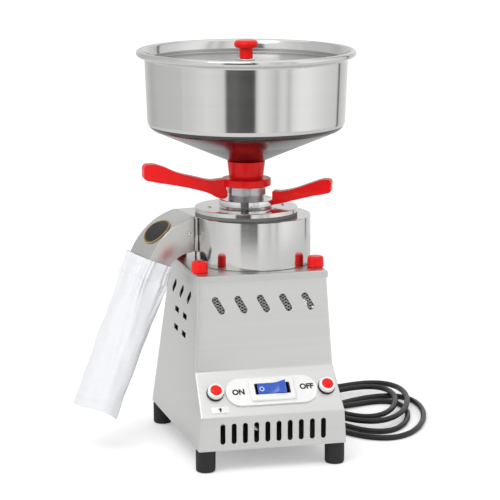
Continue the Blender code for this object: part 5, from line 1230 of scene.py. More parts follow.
@dataclass
class ControlPanel:
    """Switch plate, frame and rocker, the two buttons, and their printed marks, in the panel's frame."""

    place: Matrix
    plate: tuple[float, float, float] = (0.1270, 0.0415, 0.0030)
    frame_size: tuple[float, float, float] = (0.0620, 0.0330, 0.0050)
    housing: tuple[float, float, float] = (0.0530, 0.0230, 0.0280)
    pocket: tuple[float, float, float] = (0.0490, 0.0170, 0.0180)
    rocker_length: float = 0.0390
    rocker_width: float = 0.0158
    rocker_rise: tuple[float, float] = (0.0085, 0.0045)
    rocker_drop: float = 0.0080
    pivot_depth: float = 0.0040
    tilt: float = math.radians(13)
    spacing: float = 0.1550
    rise: float = 0.0020
    seal: tuple[float, float] = (0.0118, 0.0022)
    bezel: tuple[float, float] = (0.0110, 0.0066)
    barrel: tuple[float, float] = (0.0088, 0.0140)
    button: tuple[float, float, float] = (0.0074, 0.0012, 0.0090)

    def build(self, shop: Workshop) -> None:
        """Makes every piece of the panel.

        Args:
            shop: The workshop.
        """
        self.build_plate(shop)
        self.build_switch(shop)
        self.build_buttons(shop)
        self.build_marks(shop)

    def build_plate(self, shop: Workshop) -> None:
        """The plate with round ends and softened edges.

        Args:
            shop: The workshop.
        """
        length, width, thick = self.plate
        half, radius = (length - width) / 2, width / 2
        outline = [(half + x, y) for x, y in arc(0, 0, radius, -90, 90, 40)]
        outline += [(x - half, y) for x, y in arc(0, 0, radius, 90, 270, 40)]
        hx, hy = self.housing[0] / 2 + GAP, self.housing[1] / 2 + GAP
        hole = [(-hx, -hy), (-hx, hy), (hx, hy), (hx, -hy)]
        mesh = bevelled(flat_solid("plate", [outline, hole], thick), 0.0007, 3, math.radians(60))
        place = self.place @ Matrix.Translation((0, 0, GAP + thick / 2))
        shop.piece("switch_plate_moulding", mesh, Palette.WHITE, "switch_plate", place=place)

    def build_switch(self, shop: Workshop) -> None:
        """The raised frame with its housing and pocket, and the rocker in it.

        Args:
            shop: The workshop.
        """
        low = 2 * GAP + self.plate[2]
        high = low + self.frame_size[2]
        fx, fy = self.frame_size[0] / 2, self.frame_size[1] / 2
        rim = bevelled(box("rim", (-fx, -fy, low), (fx, fy, high)), 0.0020, 6)
        hx, hy = self.housing[0] / 2, self.housing[1] / 2
        body = box("housing", (-hx, -hy, -self.housing[2]), (hx, hy, (low + high) / 2))
        px, py = self.pocket[0] / 2, self.pocket[1] / 2
        well = bevelled(box("well", (-px, -py, high - self.pocket[2]), (px, py, high + OVERRUN)), 0.0008, 3)
        mesh = combined(combined(rim, body, "UNION"), well, "DIFFERENCE")
        shop.piece("switch_frame_moulding", mesh, Palette.WHITE, "switch_frame", place=self.place)
        floor = high - self.pocket[2] + GAP
        liner = box("liner", (-px + GAP, -py + GAP, floor), (px - GAP, py - GAP, high - 0.0008))
        inner = box(
            "inner", (-px + 0.0014, -py + 0.0003 + GAP, floor + 0.001),
            (px - 0.0014, py - 0.0003 - GAP, high + OVERRUN)
        )
        mesh = combined(liner, inner, "DIFFERENCE")
        shop.piece("switch_well_lining", mesh, Palette.BLACK, body=Body.MILL, place=self.place)
        end, mid = self.rocker_rise
        x, drop = self.rocker_length / 2, self.rocker_drop
        outline = [
            (-x, end * 0.75), (-x * 0.985, end * 0.92), (-x * 0.93, end),
            (-x * 0.70, mid + (end - mid) * 0.55)
        ]
        outline += [
            (-x * 0.45, mid * 1.15), (-x * 0.2, mid * 1.02), (0, mid), (x * 0.2, mid * 1.02),
            (x * 0.45, mid * 1.15)
        ]
        outline += [
            (x * 0.70, mid + (end - mid) * 0.55), (x * 0.93, end), (x * 0.985, end * 0.92), (x, end * 0.75)
        ]
        outline += [(x, 0), (x * 0.55, -drop), (-x * 0.55, -drop), (-x, 0)]
        upright = Matrix.Rotation(math.pi / 2, 4, "X")
        lever = bevelled(flat_solid("lever", [outline], self.rocker_width), 0.0010, 4, math.radians(40))
        seat = self.place @ Matrix.Translation(
            (0, 0, high - self.pivot_depth)
        ) @ Matrix.Rotation(-self.tilt, 4, "Y")
        shop.piece("rocker_lever", lever, Palette.BLUE, "switch_rocker", place=seat @ upright)
        self.build_rocker_marks(shop, seat)

    def build_rocker_marks(self, shop: Workshop, seat: Matrix) -> None:
        """The round O on the rocker's low end.

        Args:
            shop: The workshop.
            seat: The rocker's frame.
        """
        end, mid = self.rocker_rise
        x = self.rocker_length / 2
        run, climb = x * 0.48, end - mid * 1.15
        slope = math.atan2(climb, run)
        middle = Matrix.Translation(
            (-x * 0.69, 0, (mid * 1.15 + end) / 2 - 0.00015)
        ) @ Matrix.Rotation(slope, 4, "Y")
        ring_out = arc(0, 0, 0.0034, 0, 360, 36)[:-1]
        ring_in = arc(0, 0, 0.0024, 0, 360, 36)[:-1]
        mesh = flat_solid("ring", [ring_out, ring_in], 0.0003)
        shop.piece("rocker_ring_mark", mesh, Palette.WHITE_INK, body=Body.ROCKER, place=seat @ middle)

    def build_buttons(self, shop: Workshop) -> None:
        """Both push buttons, each with its seal, bezel and red cap.

        Args:
            shop: The workshop.
        """
        seal_r, seal_h = self.seal
        bezel_r, bezel_h = self.bezel
        barrel_r, barrel_h = self.barrel
        cap_r, proud, deep = self.button
        seal_top = GAP + seal_h
        low = seal_top + GAP
        high, bore = low + bezel_h, cap_r + GAP
        floor = high - deep - 2 * proud - OVERRUN
        seal = [
            (seal_r - 0.0005, seal_top), (seal_r, seal_top - 0.0005), (seal_r, GAP + 0.0003),
            (seal_r - 0.0003, GAP)
        ]
        seal += [(barrel_r + GAP, GAP), (barrel_r + GAP, seal_top)]
        bezel = arc(
            bezel_r - 0.0016, high - 0.0016, 0.0016, 90, 0, 6
        ) + [(bezel_r, low + 0.0003), (bezel_r - 0.0003, low)]
        bezel += [(barrel_r, low), (barrel_r, -barrel_h), (0, -barrel_h), (0, floor), (bore, floor)]
        bezel += [(bore, high - 0.0006), (bore + 0.0006, high)]
        top = high + proud
        cap = [(0, top)] + [(cap_r * s, top - 0.0008 * s * s) for s in (0.25, 0.5, 0.75)]
        cap += arc(
            cap_r - 0.0012, top - 0.0009 - 0.0012, 0.0012, 80, 0, 5
        ) + [(cap_r, top - deep), (0, top - deep)]
        for name, side in (("left", -1), ("right", 1)):
            place = self.place @ Matrix.Translation((side * self.spacing / 2, self.rise, 0))
            mesh = shop.turned("seal", seal, Palette.RUBBER, 72, closed=True)
            shop.piece(f"seal_ring_{name}", mesh, Palette.RUBBER, f"button_seal_{name}", place=place)
            mesh = shop.turned("bezel", bezel, Palette.WHITE, 72, closed=True)
            shop.piece(f"bezel_ring_{name}", mesh, Palette.WHITE, f"button_bezel_{name}", place=place)
            mesh = shop.turned("cap", cap, Palette.RED, 72)
            shop.piece(f"button_cap_{name}", mesh, Palette.RED, f"push_button_{name}", place=place)

    def build_marks(self, shop: Workshop) -> None:
        """ON and OFF on the plate, and a small plain label with an arrow under the left button.

        Args:
            shop: The workshop.
        """
        top = GAP + self.plate[2]
        for word, x, y in (("ON", -0.0462, -0.0005), ("OFF", 0.0490, 0.0024)):
            text = bpy.data.curves.new(word, "FONT")
            text.body = word
            text.size = 0.0108
            text.align_x = "CENTER"
            text.align_y = "CENTER"
            text.extrude = 0.00008
            text.offset = 0.00050
            mesh = curve_mesh(word, text)
            place = self.place @ Matrix.Translation((x, y, top + 0.0001))
            shop.piece(f"mark_{word.lower()}", mesh, Palette.INK, body=Body.MILL, place=place)
        label = bevelled(box("label", (-0.0125, -0.0048, 0), (0.0125, 0.0048, 0.0005)), 0.0002, 2)
        spot = self.place @ Matrix.Translation((-0.0746, -0.0240, GAP))
        shop.piece("button_label", label, Palette.WHITE, body=Body.MILL, place=spot)
        arrow = [
            (-0.0012, -0.0028), (0.0012, -0.0028), (0.0012, 0.0006), (0.0030, 0.0006), (0, 0.0032),
            (-0.0030, 0.0006), (-0.0012, 0.0006)
        ]
        spot = self.place @ Matrix.Translation((-0.0746, -0.0240, GAP + 0.00052))
        shop.piece(
            "label_arrow", flat_solid("arrow", [arrow], 0.00012), Palette.INK, body=Body.MILL, place=spot
        )


# Grinding head


@dataclass
class GrindingHead:
    """Drum with its outlet, cover, lock ring, feed sleeve and both red handles."""

    drum_radius: float = 0.0800
    drum_shift: float = 0.0089
    drum_bottom: float = 0.2586
    drum_top: float = 0.3245
    drum_wall: float = 0.0030
    drum_roof: float = 0.0025
    outlet_angle: float = math.radians(190.6)
    seam: float = 0.0832
    outlet_width: float = 0.0700
    outlet_bottom: float = 0.2755
    outlet_wall: float = 0.0020
    flange: tuple[float, float] = (0.0020, 0.0070)
    spigot: tuple[float, float] = (0.0130, 0.0080)
    duct_sheet: float = 0.0015
    cover_radius: float = 0.0710
    cover_heights: tuple[float, float] = (0.3293, 0.3356)
    cover_spigot: tuple[float, float] = (0.0635, 0.3218)
    shoulder: tuple[float, float] = (0.0360, 0.3377)
    neck: tuple[float, float] = (0.0310, 0.3462)
    ring_radius: float = 0.03815
    ring_top: float = 0.3465
    sleeve_bore: float = 0.0170
    sleeve_radius: float = 0.0243
    sleeve_low: float = 0.3102
    collar: tuple[float, float, float] = (0.0275, 0.3526, 0.3639)
    plate_radius: float = 0.0340
    plate_heights: tuple[float, float] = (0.3645, 0.3750)
    socket_top: float = 0.3990
    socket_radii: tuple[float, float, float] = (0.0260, 0.0234, 0.0215)
    ledge: float = 0.3800
    arm_width: float = 0.0165
    arm_rounding: float = 0.0040
    adjust_reach: float = 0.1445
    adjust_heights: tuple[float, float] = (0.3482, 0.3990)
    leg_inner: float = 0.0287
    plate_inner: float = 0.0240
    lock_angle: float = math.radians(-25)
    lock_reach: float = 0.1185
    lock_heights: tuple[float, float] = (0.3400, 0.3765)
    stud: tuple[float, float, float] = (0.0030, 0.0050, 0.3430)
    adjust_shares: tuple[Point, ...] = (
        (0.17, 0.47), (0.36, 0.51), (0.49, 0.60), (0.68, 0.75), (0.82, 0.93), (0.93, 1.0), (0.99, 0.96),
        (1.0, 0.78),
        (0.99, 0.60), (0.93, 0.54), (0.76, 0.44), (0.55, 0.31), (0.37, 0.15), (0.30, 0.04),
    )
    lock_shares: tuple[Point, ...] = (
        (0.29, 0.43), (0.42, 0.50), (0.56, 0.60), (0.75, 0.82), (0.87, 0.96), (0.95, 1.0), (0.995, 0.95),
        (1.0, 0.73),
        (0.99, 0.52), (0.94, 0.46), (0.79, 0.36), (0.56, 0.17), (0.36, 0.01), (0.29, 0.0),
    )

    @property
    def outlet(self) -> Matrix:
        """Frame of the outlet: X straight out, its middle line at zero, heights as they are."""
        turn = Matrix.Rotation(self.outlet_angle, 4, "Z")
        middle = Matrix.Translation((0, self.outlet_width / 2 - self.drum_radius, 0))
        return Matrix.Translation((self.drum_shift, 0, 0)) @ turn @ middle

    def box_out(self, low: Sequence[float], high: Sequence[float]) -> bpy.types.Mesh:
        """A box in the outlet's frame, set in place."""
        mesh = box("box", low, high)
        mesh.transform(self.outlet)
        return mesh

    def build(self, shop: Workshop) -> None:
        """Makes the drum, cover, ring, handles and feed sleeve.

        Args:
            shop: The workshop.
        """
        self.build_drum(shop)
        self.build_cover(shop)
        self.build_ring(shop)
        self.build_adjuster(shop)
        self.build_feed(shop)
        shop.dress_node("chamber_gasket", Palette.GASKET)
        for node in ("runner_stone", "bed_stone"):
            shop.dress_node(node, Palette.STONE)
        for node in ("bed_carrier", "runner_carrier"):
            shop.dress_node(node, Palette.ALUMINIUM)

    def build_drum(self, shop: Workshop) -> None:
        """The drum with its stub, flange and spigot, hollow inside.

        Args:
            shop: The workshop.
        """
        low, high, radius = self.drum_bottom, self.drum_top, self.drum_radius
        outline = [
            (0, high), (radius - 0.0006, high), (radius, high - 0.0006), (radius, low + 0.0006),
            (radius - 0.0006, low), (0, low)
        ]
        shift = Matrix.Translation((self.drum_shift, 0, 0))
        drum = shop.turned("drum", outline, Palette.SPUN_STEEL, 192)
        drum.transform(shift)
        half, deep = self.outlet_width / 2, self.flange[0]
        x = self.seam - deep
        drum = combined(drum, self.box_out((0, -half, self.outlet_bottom), (x, half, high - MERGE)), "UNION")
        lip = self.box_out(
            (x - MERGE, -half - self.outlet_wall, self.outlet_bottom),
            (self.seam, half + self.flange[1], high)
        )
        drum = combined(drum, bevelled(lip, 0.0003, 2), "UNION")
        inset = self.duct_sheet + GAP
        end = self.seam + self.spigot[0]
        bottom, top = self.outlet_bottom + inset, high - self.spigot[1]
        drum = combined(drum, self.box_out((x, -half + inset, bottom), (end, half - inset, top)), "UNION")
        bm = bmesh.new()
        cylinder_into(bm, radius - self.drum_wall, low + self.drum_wall, high - self.drum_roof, 96)
        bmesh.ops.transform(bm, matrix=shift, verts=bm.verts)
        drum = combined(drum, to_mesh(bm, "hollow"), "DIFFERENCE")
        bm = bmesh.new()
        cylinder_into(bm, self.cover_spigot[0] + GAP, high - OVERRUN, high + OVERRUN, 96)
        cylinder_into(bm, 0.0120, low - OVERRUN, low + self.drum_wall + OVERRUN, 48)
        drum = combined(drum, to_mesh(bm, "holes"), "DIFFERENCE")
        wall = inset + self.outlet_wall
        way = self.box_out(
            (0, -half + wall, bottom + self.outlet_wall), (end + OVERRUN, half - wall, top - self.outlet_wall)
        )
        drum = combined(drum, way, "DIFFERENCE")
        shop.piece("drum_shell", drum, Palette.SPUN_STEEL, "grinding_chamber")

    def build_cover(self, shop: Workshop) -> None:
        """The cover with its shoulder and threaded neck.

        Args:
            shop: The workshop.
        """
        low, high = self.cover_heights
        radius, edge = self.cover_radius, 0.0012
        shoulder_r, shoulder_z = self.shoulder
        neck_r, neck_z = self.neck
        spigot_r, spigot_z = self.cover_spigot
        bore = self.sleeve_radius + GAP
        outline = [(shoulder_r + 0.0012, high)] + arc(radius - edge, high - edge, edge, 90, 0, 6)
        outline += [
            (radius, low + 0.0004), (radius - 0.0004, low), (spigot_r, low), (spigot_r, spigot_z),
            (bore, spigot_z), (bore, neck_z)
        ]
        outline += [
            (neck_r, neck_z), (neck_r, shoulder_z), (shoulder_r - 0.0004, shoulder_z),
            (shoulder_r, shoulder_z - 0.0004)
        ]
        mesh = shop.turned("cover", outline, Palette.SPUN_STEEL, 192, closed=True)
        shop.piece("cover_disc", mesh, Palette.SPUN_STEEL, "chamber_cover")
        head = [(0, 0.0016), (0.0018, 0.0015), (0.0030, 0.0008), (0.0032, 0), (0, 0)]
        for angle in (-1.5, 88.5, 178.5, 268.5):
            turn = math.radians(angle)
            spot = (0.0520 * math.cos(turn), 0.0520 * math.sin(turn), high + MERGE)
            mesh = shop.turned("screw", head, Palette.CHROME, 32)
            name = f"cover_screw_{round(angle + 1.5)}"
            shop.piece(name, mesh, Palette.CHROME, body=Body.MILL, place=Matrix.Translation(spot))

    def build_ring(self, shop: Workshop) -> None:
        """The chrome lock ring and the red handle screwed into it.

        Args:
            shop: The workshop.
        """
        low, high, edge = self.shoulder[1] + GAP, self.ring_top, 0.0010
        inner, outer = self.neck[0] + GAP, self.ring_radius
        outline = arc(
            outer - edge, high - edge, edge, 90, 0, 5
        ) + arc(outer - edge, low + edge, edge, 0, -90, 5)
        outline += [(inner, low), (inner, high)]
        ring = shop.turned("ring", outline, Palette.CHROME, 192, closed=True)
        stud_r, stud_deep, stud_z = self.stud
        bm = bmesh.new()
        cylinder_into(bm, stud_r + GAP, inner - OVERRUN, outer + OVERRUN, 32)
        aim = Matrix.Rotation(self.lock_angle, 4, "Z")
        sideways = aim @ Matrix.Translation((0, 0, stud_z)) @ Matrix.Rotation(math.pi / 2, 4, "Y")
        bmesh.ops.transform(bm, matrix=sideways, verts=bm.verts)
        ring = combined(ring, to_mesh(bm, "stud_hole"), "DIFFERENCE")
        shop.piece("lock_ring_band", ring, Palette.CHROME, "lock_ring")
        arm = self.arm(self.lock_shares, self.lock_reach, self.lock_heights)
        arm.transform(aim @ Matrix.Rotation(math.pi / 2, 4, "X"))
        bm = bmesh.new()
        cylinder_into(bm, outer + GAP, low - OVERRUN, high + 2 * outer, 128)
        arm = combined(arm, to_mesh(bm, "root"), "DIFFERENCE")
        bm = bmesh.new()
        cylinder_into(bm, stud_r, outer - stud_deep, outer + 2 * stud_deep, 32)
        bmesh.ops.transform(bm, matrix=sideways, verts=bm.verts)
        arm = combined(arm, to_mesh(bm, "stud"), "UNION")
        shop.piece("lock_arm", arm, Palette.ENAMEL, "lock_handle", angle=math.radians(40))

    def arm(self, shares: Sequence[Point], reach: float, heights: Point) -> bpy.types.Mesh:
        """An arm from its side outline, in the plane of X and Y.

        Args:
            shares: Outline points as shares of the reach and of the height.
            reach: How far the tip is from the axis.
            heights: Lowest and highest edge.

        Returns:
            The rounded arm.
        """
        low, high = heights
        outline = [(a * reach, low + b * (high - low)) for a, b in shares]
        return bevelled(
            flat_solid("arm", [outline], self.arm_width, True, 10), self.arm_rounding, 6, math.radians(60)
        )

    def build_adjuster(self, shop: Workshop) -> None:
        """The adjusting handle: round plate, hopper socket and long arm, cast in one.

        Args:
            shop: The workshop.
        """
        low, high = self.plate_heights
        radius, edge = self.plate_radius, 0.0016
        top_r, foot_r, bore = self.socket_radii
        throat = self.sleeve_bore + GAP
        outline = arc(
            top_r - 0.0008, self.socket_top - 0.0008, 0.0008, 90, 0, 4
        ) + [(foot_r, high + 0.0006), (foot_r + 0.0006, high)]
        outline += arc(
            radius - edge, high - edge, edge, 90, 0, 6
        ) + arc(radius - edge, low + edge, edge, 0, -90, 6)
        outline += [
            (throat, low), (throat, self.ledge), (bore, self.ledge), (bore, self.socket_top - 0.0005),
            (bore + 0.0005, self.socket_top)
        ]
        socket = shop.turned("socket", outline, Palette.ENAMEL, 160, closed=True)
        arm_low, arm_high = self.adjust_heights
        inner = self.leg_inner / self.adjust_reach
        plate_share = (low + edge - arm_low) / (arm_high - arm_low)
        root = (
            (inner + 0.03, 0.0), (inner, 0.06), (inner, plate_share),
            (self.plate_inner / self.adjust_reach, plate_share + 0.03)
        )
        arm = self.arm(self.adjust_shares + root, self.adjust_reach, self.adjust_heights)
        arm.transform(Matrix.Rotation(math.pi, 4, "Z") @ Matrix.Rotation(math.pi / 2, 4, "X"))
        mesh = combined(socket, arm, "UNION")
        shop.piece("adjusting_casting", mesh, Palette.ENAMEL, "adjusting_handle", angle=math.radians(40))

    def build_feed(self, shop: Workshop) -> None:
        """The feed sleeve, with its thread and hexagonal collar.

        Args:
            shop: The workshop.
        """
        radius, low, high = self.sleeve_radius, self.sleeve_low, self.collar[2]
        outline = [(radius - 0.0006, high), (radius, high - 0.0006)]
        turns = int((self.collar[1] - self.neck[1]) / 0.0015)
        for i in range(turns):
            z = self.collar[1] - 0.0015 * i
            outline += [(radius, z - 0.0003), (radius - 0.0008, z - 0.0009), (radius, z - 0.0014)]
        outline += [(radius, low), (self.sleeve_bore, low), (self.sleeve_bore, high)]
        sleeve = shop.turned("feed", outline, Palette.ALUMINIUM, 96, closed=True)
        bm = bmesh.new()
        cylinder_into(bm, self.collar[0], self.collar[1], self.collar[2], 6)
        collar = bevelled(to_mesh(bm, "collar"), 0.0005, 2)
        bm = bmesh.new()
        cylinder_into(bm, self.sleeve_bore, low - OVERRUN, high + OVERRUN, 96)
        mesh = combined(combined(sleeve, collar, "UNION"), to_mesh(bm, "bore"), "DIFFERENCE")
        shop.piece("feed_sleeve_body", mesh, Palette.ALUMINIUM, "feed_sleeve")


@dataclass
class Duct:
    """The curved sheet duct, its screws and its badge, in the outlet's frame."""

    place: Matrix
    seam: float = 0.0832
    width: float = 0.0700
    sheet: float = 0.0015
    wall: float = 0.0020
    top: float = 0.3245
    bottom: float = 0.2755
    outer: tuple[float, float, float] = (0.0950, math.radians(13.3), math.radians(70.0))
    inner: tuple[float, float, float, float] = (0.0500, 0.0050, math.radians(8.0), math.radians(66.0))
    stations: int = 48
    cad_stations: int = 9
    screw: tuple[float, float, float, float] = (0.0075, 0.3010, 0.0034, 0.0018)
    badge_angle: float = math.radians(42)
    badge_side: float = 0.0035
    badge_half: Point = (0.0270, 0.0215)

    def outer_at(self, share: float) -> Point:
        """Outer wall at a share of the bend: distance out of the seam, and height."""
        radius, start, end = self.outer
        angle = start + share * (end - start)
        return radius * (
            math.sin(angle) - math.sin(start)
        ), self.top - radius * (math.cos(start) - math.cos(angle))

    def inner_at(self, share: float) -> Point:
        """Inner wall at a share of the bend: distance out of the seam, and height."""
        radius, flat, start, end = self.inner
        angle = start + share * (end - start)
        out = flat * min(1.0, share * (self.cad_stations - 1)) + radius * (math.sin(angle) - math.sin(start))
        return out, self.bottom - radius * (math.cos(start) - math.cos(angle))

    @property
    def set_off(self) -> float:
        """How far out the duct starts, so that its wall clears the flange."""
        _, start, end = self.outer
        return self.seam + GAP + self.sheet * math.sin(start + end / self.cad_stations)

    @property
    def mouth(self) -> Point:
        """Centre of the open end: distance out of the seam, and height."""
        (out_a, z_a), (out_b, z_b) = self.outer_at(1), self.inner_at(1)
        return (out_a + out_b) / 2, (z_a + z_b) / 2

    def on_back(self, side: float, along: float, proud: float) -> Vector:
        """A point on the outer curved face.

        Args:
            side: Sideways from the middle line.
            along: Along the bend from the badge's centre, towards the mouth.
            proud: Height above the sheet.

        Returns:
            The point in the outlet's frame.
        """
        radius, start, _ = self.outer
        angle = self.badge_angle + along / radius
        reach = radius + proud
        out = reach * math.sin(angle) - radius * math.sin(start)
        return Vector(
            (self.set_off + out, side, self.top - radius * math.cos(start) + reach * math.cos(angle))
        )

    def build(self, shop: Workshop) -> None:
        """Makes the duct, its screws and the badge.

        Args:
            shop: The workshop.
        """
        half = self.width / 2
        rings = []
        for i in range(self.stations + 1):
            (out_a, z_a), (out_b, z_b) = self.outer_at(i / self.stations), self.inner_at(i / self.stations)
            rings.append([(out_a, -half, z_a), (out_a, half, z_a), (out_b, half, z_b), (out_b, -half, z_b)])
        skin = loft("duct", rings)
        bm = bmesh.new()
        bm.from_mesh(skin)
        bmesh.ops.recalc_face_normals(bm, faces=bm.faces)
        skin = bevelled(to_mesh(bm, "duct"), 0.0006, 3, math.radians(60))
        mesh = thickened(skin, self.sheet)
        mesh.transform(Matrix.Translation((self.set_off, 0, 0)))
        bm = bmesh.new()
        out, screw_z, head_r, head_h = self.screw
        lying = Matrix.Translation((self.seam + out, 0, screw_z)) @ Matrix.Rotation(math.pi / 2, 4, "X")
        cylinder_into(bm, 0.0019, -half - OVERRUN, half + OVERRUN, 24)
        bmesh.ops.transform(bm, matrix=lying, verts=bm.verts)
        mesh = combined(mesh, to_mesh(bm, "screw_holes"), "DIFFERENCE")
        shop.piece("duct_shell", mesh, Palette.DUCT_SHEET, "discharge_duct", place=self.place)
        shank = self.sheet + self.wall
        outline = [(0, GAP + head_h * 0.55), (0.0010, GAP + head_h * 0.5), (0.0012, GAP + head_h)]
        outline += [
            (0.0020, GAP + head_h * 0.95), (0.0029, GAP + head_h * 0.68), (head_r, GAP + head_h * 0.2)
        ]
        outline += [(head_r, GAP), (0.0016, GAP), (0.0016, -shank), (0, -shank)]
        for name, side in (("front", 1), ("back", -1)):
            seat = Matrix.Translation(
                (self.seam + out, side * half, screw_z)
            ) @ Matrix.Rotation(-side * math.pi / 2, 4, "X")
            mesh = shop.turned("screw", outline, Palette.CHROME, 40)
            shop.piece(
                f"duct_fixing_{name}", mesh, Palette.CHROME, f"duct_screw_{name}", place=self.place @ seat
            )
        self.build_badge(shop)

    def build_badge(self, shop: Workshop) -> None:
        """The oval badge, bare inside: gold rim and fine inner line on black.

        Args:
            shop: The workshop.
        """
        half_side, half_along = self.badge_half

        def wrap(mesh: bpy.types.Mesh, proud: float) -> bpy.types.Mesh:
            """Bends a flat mesh onto the duct's back."""
            for vert in mesh.vertices:
                x, y, z = vert.co
                vert.co = self.on_back(self.badge_side + x, -y, proud + z)
            return mesh

        plate = flat_solid("badge", [oval(half_side, half_along)], 0.0008)
        shop.piece(
            "badge_plate", wrap(fine_grid(plate), 0.0006), Palette.BADGE, body=Body.MILL, place=self.place
        )
        rim = flat_solid(
            "rim", [oval(half_side, half_along), oval(half_side - 0.0016, half_along - 0.0016)], 0.0012
        )
        shop.piece("badge_rim", wrap(fine_grid(rim), 0.0008), Palette.GOLD, body=Body.MILL, place=self.place)
        line = flat_solid(
            "line",
            [oval(half_side - 0.0024, half_along - 0.0024), oval(half_side - 0.0028, half_along - 0.0028)],
            0.0003
        )
        shop.piece("badge_line", wrap(line, 0.0011), Palette.GOLD, body=Body.MILL, place=self.place)


def oval(half_x: float, half_y: float, count: int = 96) -> Outline:
    """Points round an oval."""
    turns = [2 * math.pi * i / count for i in range(count)]
    return [(half_x * math.cos(a), half_y * math.sin(a)) for a in turns]


def fine_grid(mesh: bpy.types.Mesh, cuts: int = 12) -> bpy.types.Mesh:
    """A flat mesh cut into strips both ways, so that it can bend smoothly.

    Args:
        mesh: The flat mesh.
        cuts: Cuts each way.

    Returns:
        The same mesh, cut.
    """
    bm = bmesh.new()
    bm.from_mesh(mesh)
    low = Vector([min(v.co[i] for v in bm.verts) for i in range(3)])
    high = Vector([max(v.co[i] for v in bm.verts) for i in range(3)])
    for axis in range(2):
        normal = Vector((0, 0, 0))
        normal[axis] = 1
        for i in range(1, cuts):
            spot = low.copy()
            spot[axis] = low[axis] + (high[axis] - low[axis]) * i / cuts
            bmesh.ops.bisect_plane(
                bm, geom=bm.verts[:] + bm.edges[:] + bm.faces[:], plane_co=spot, plane_no=normal
            )
    return to_mesh(bm, mesh.name)


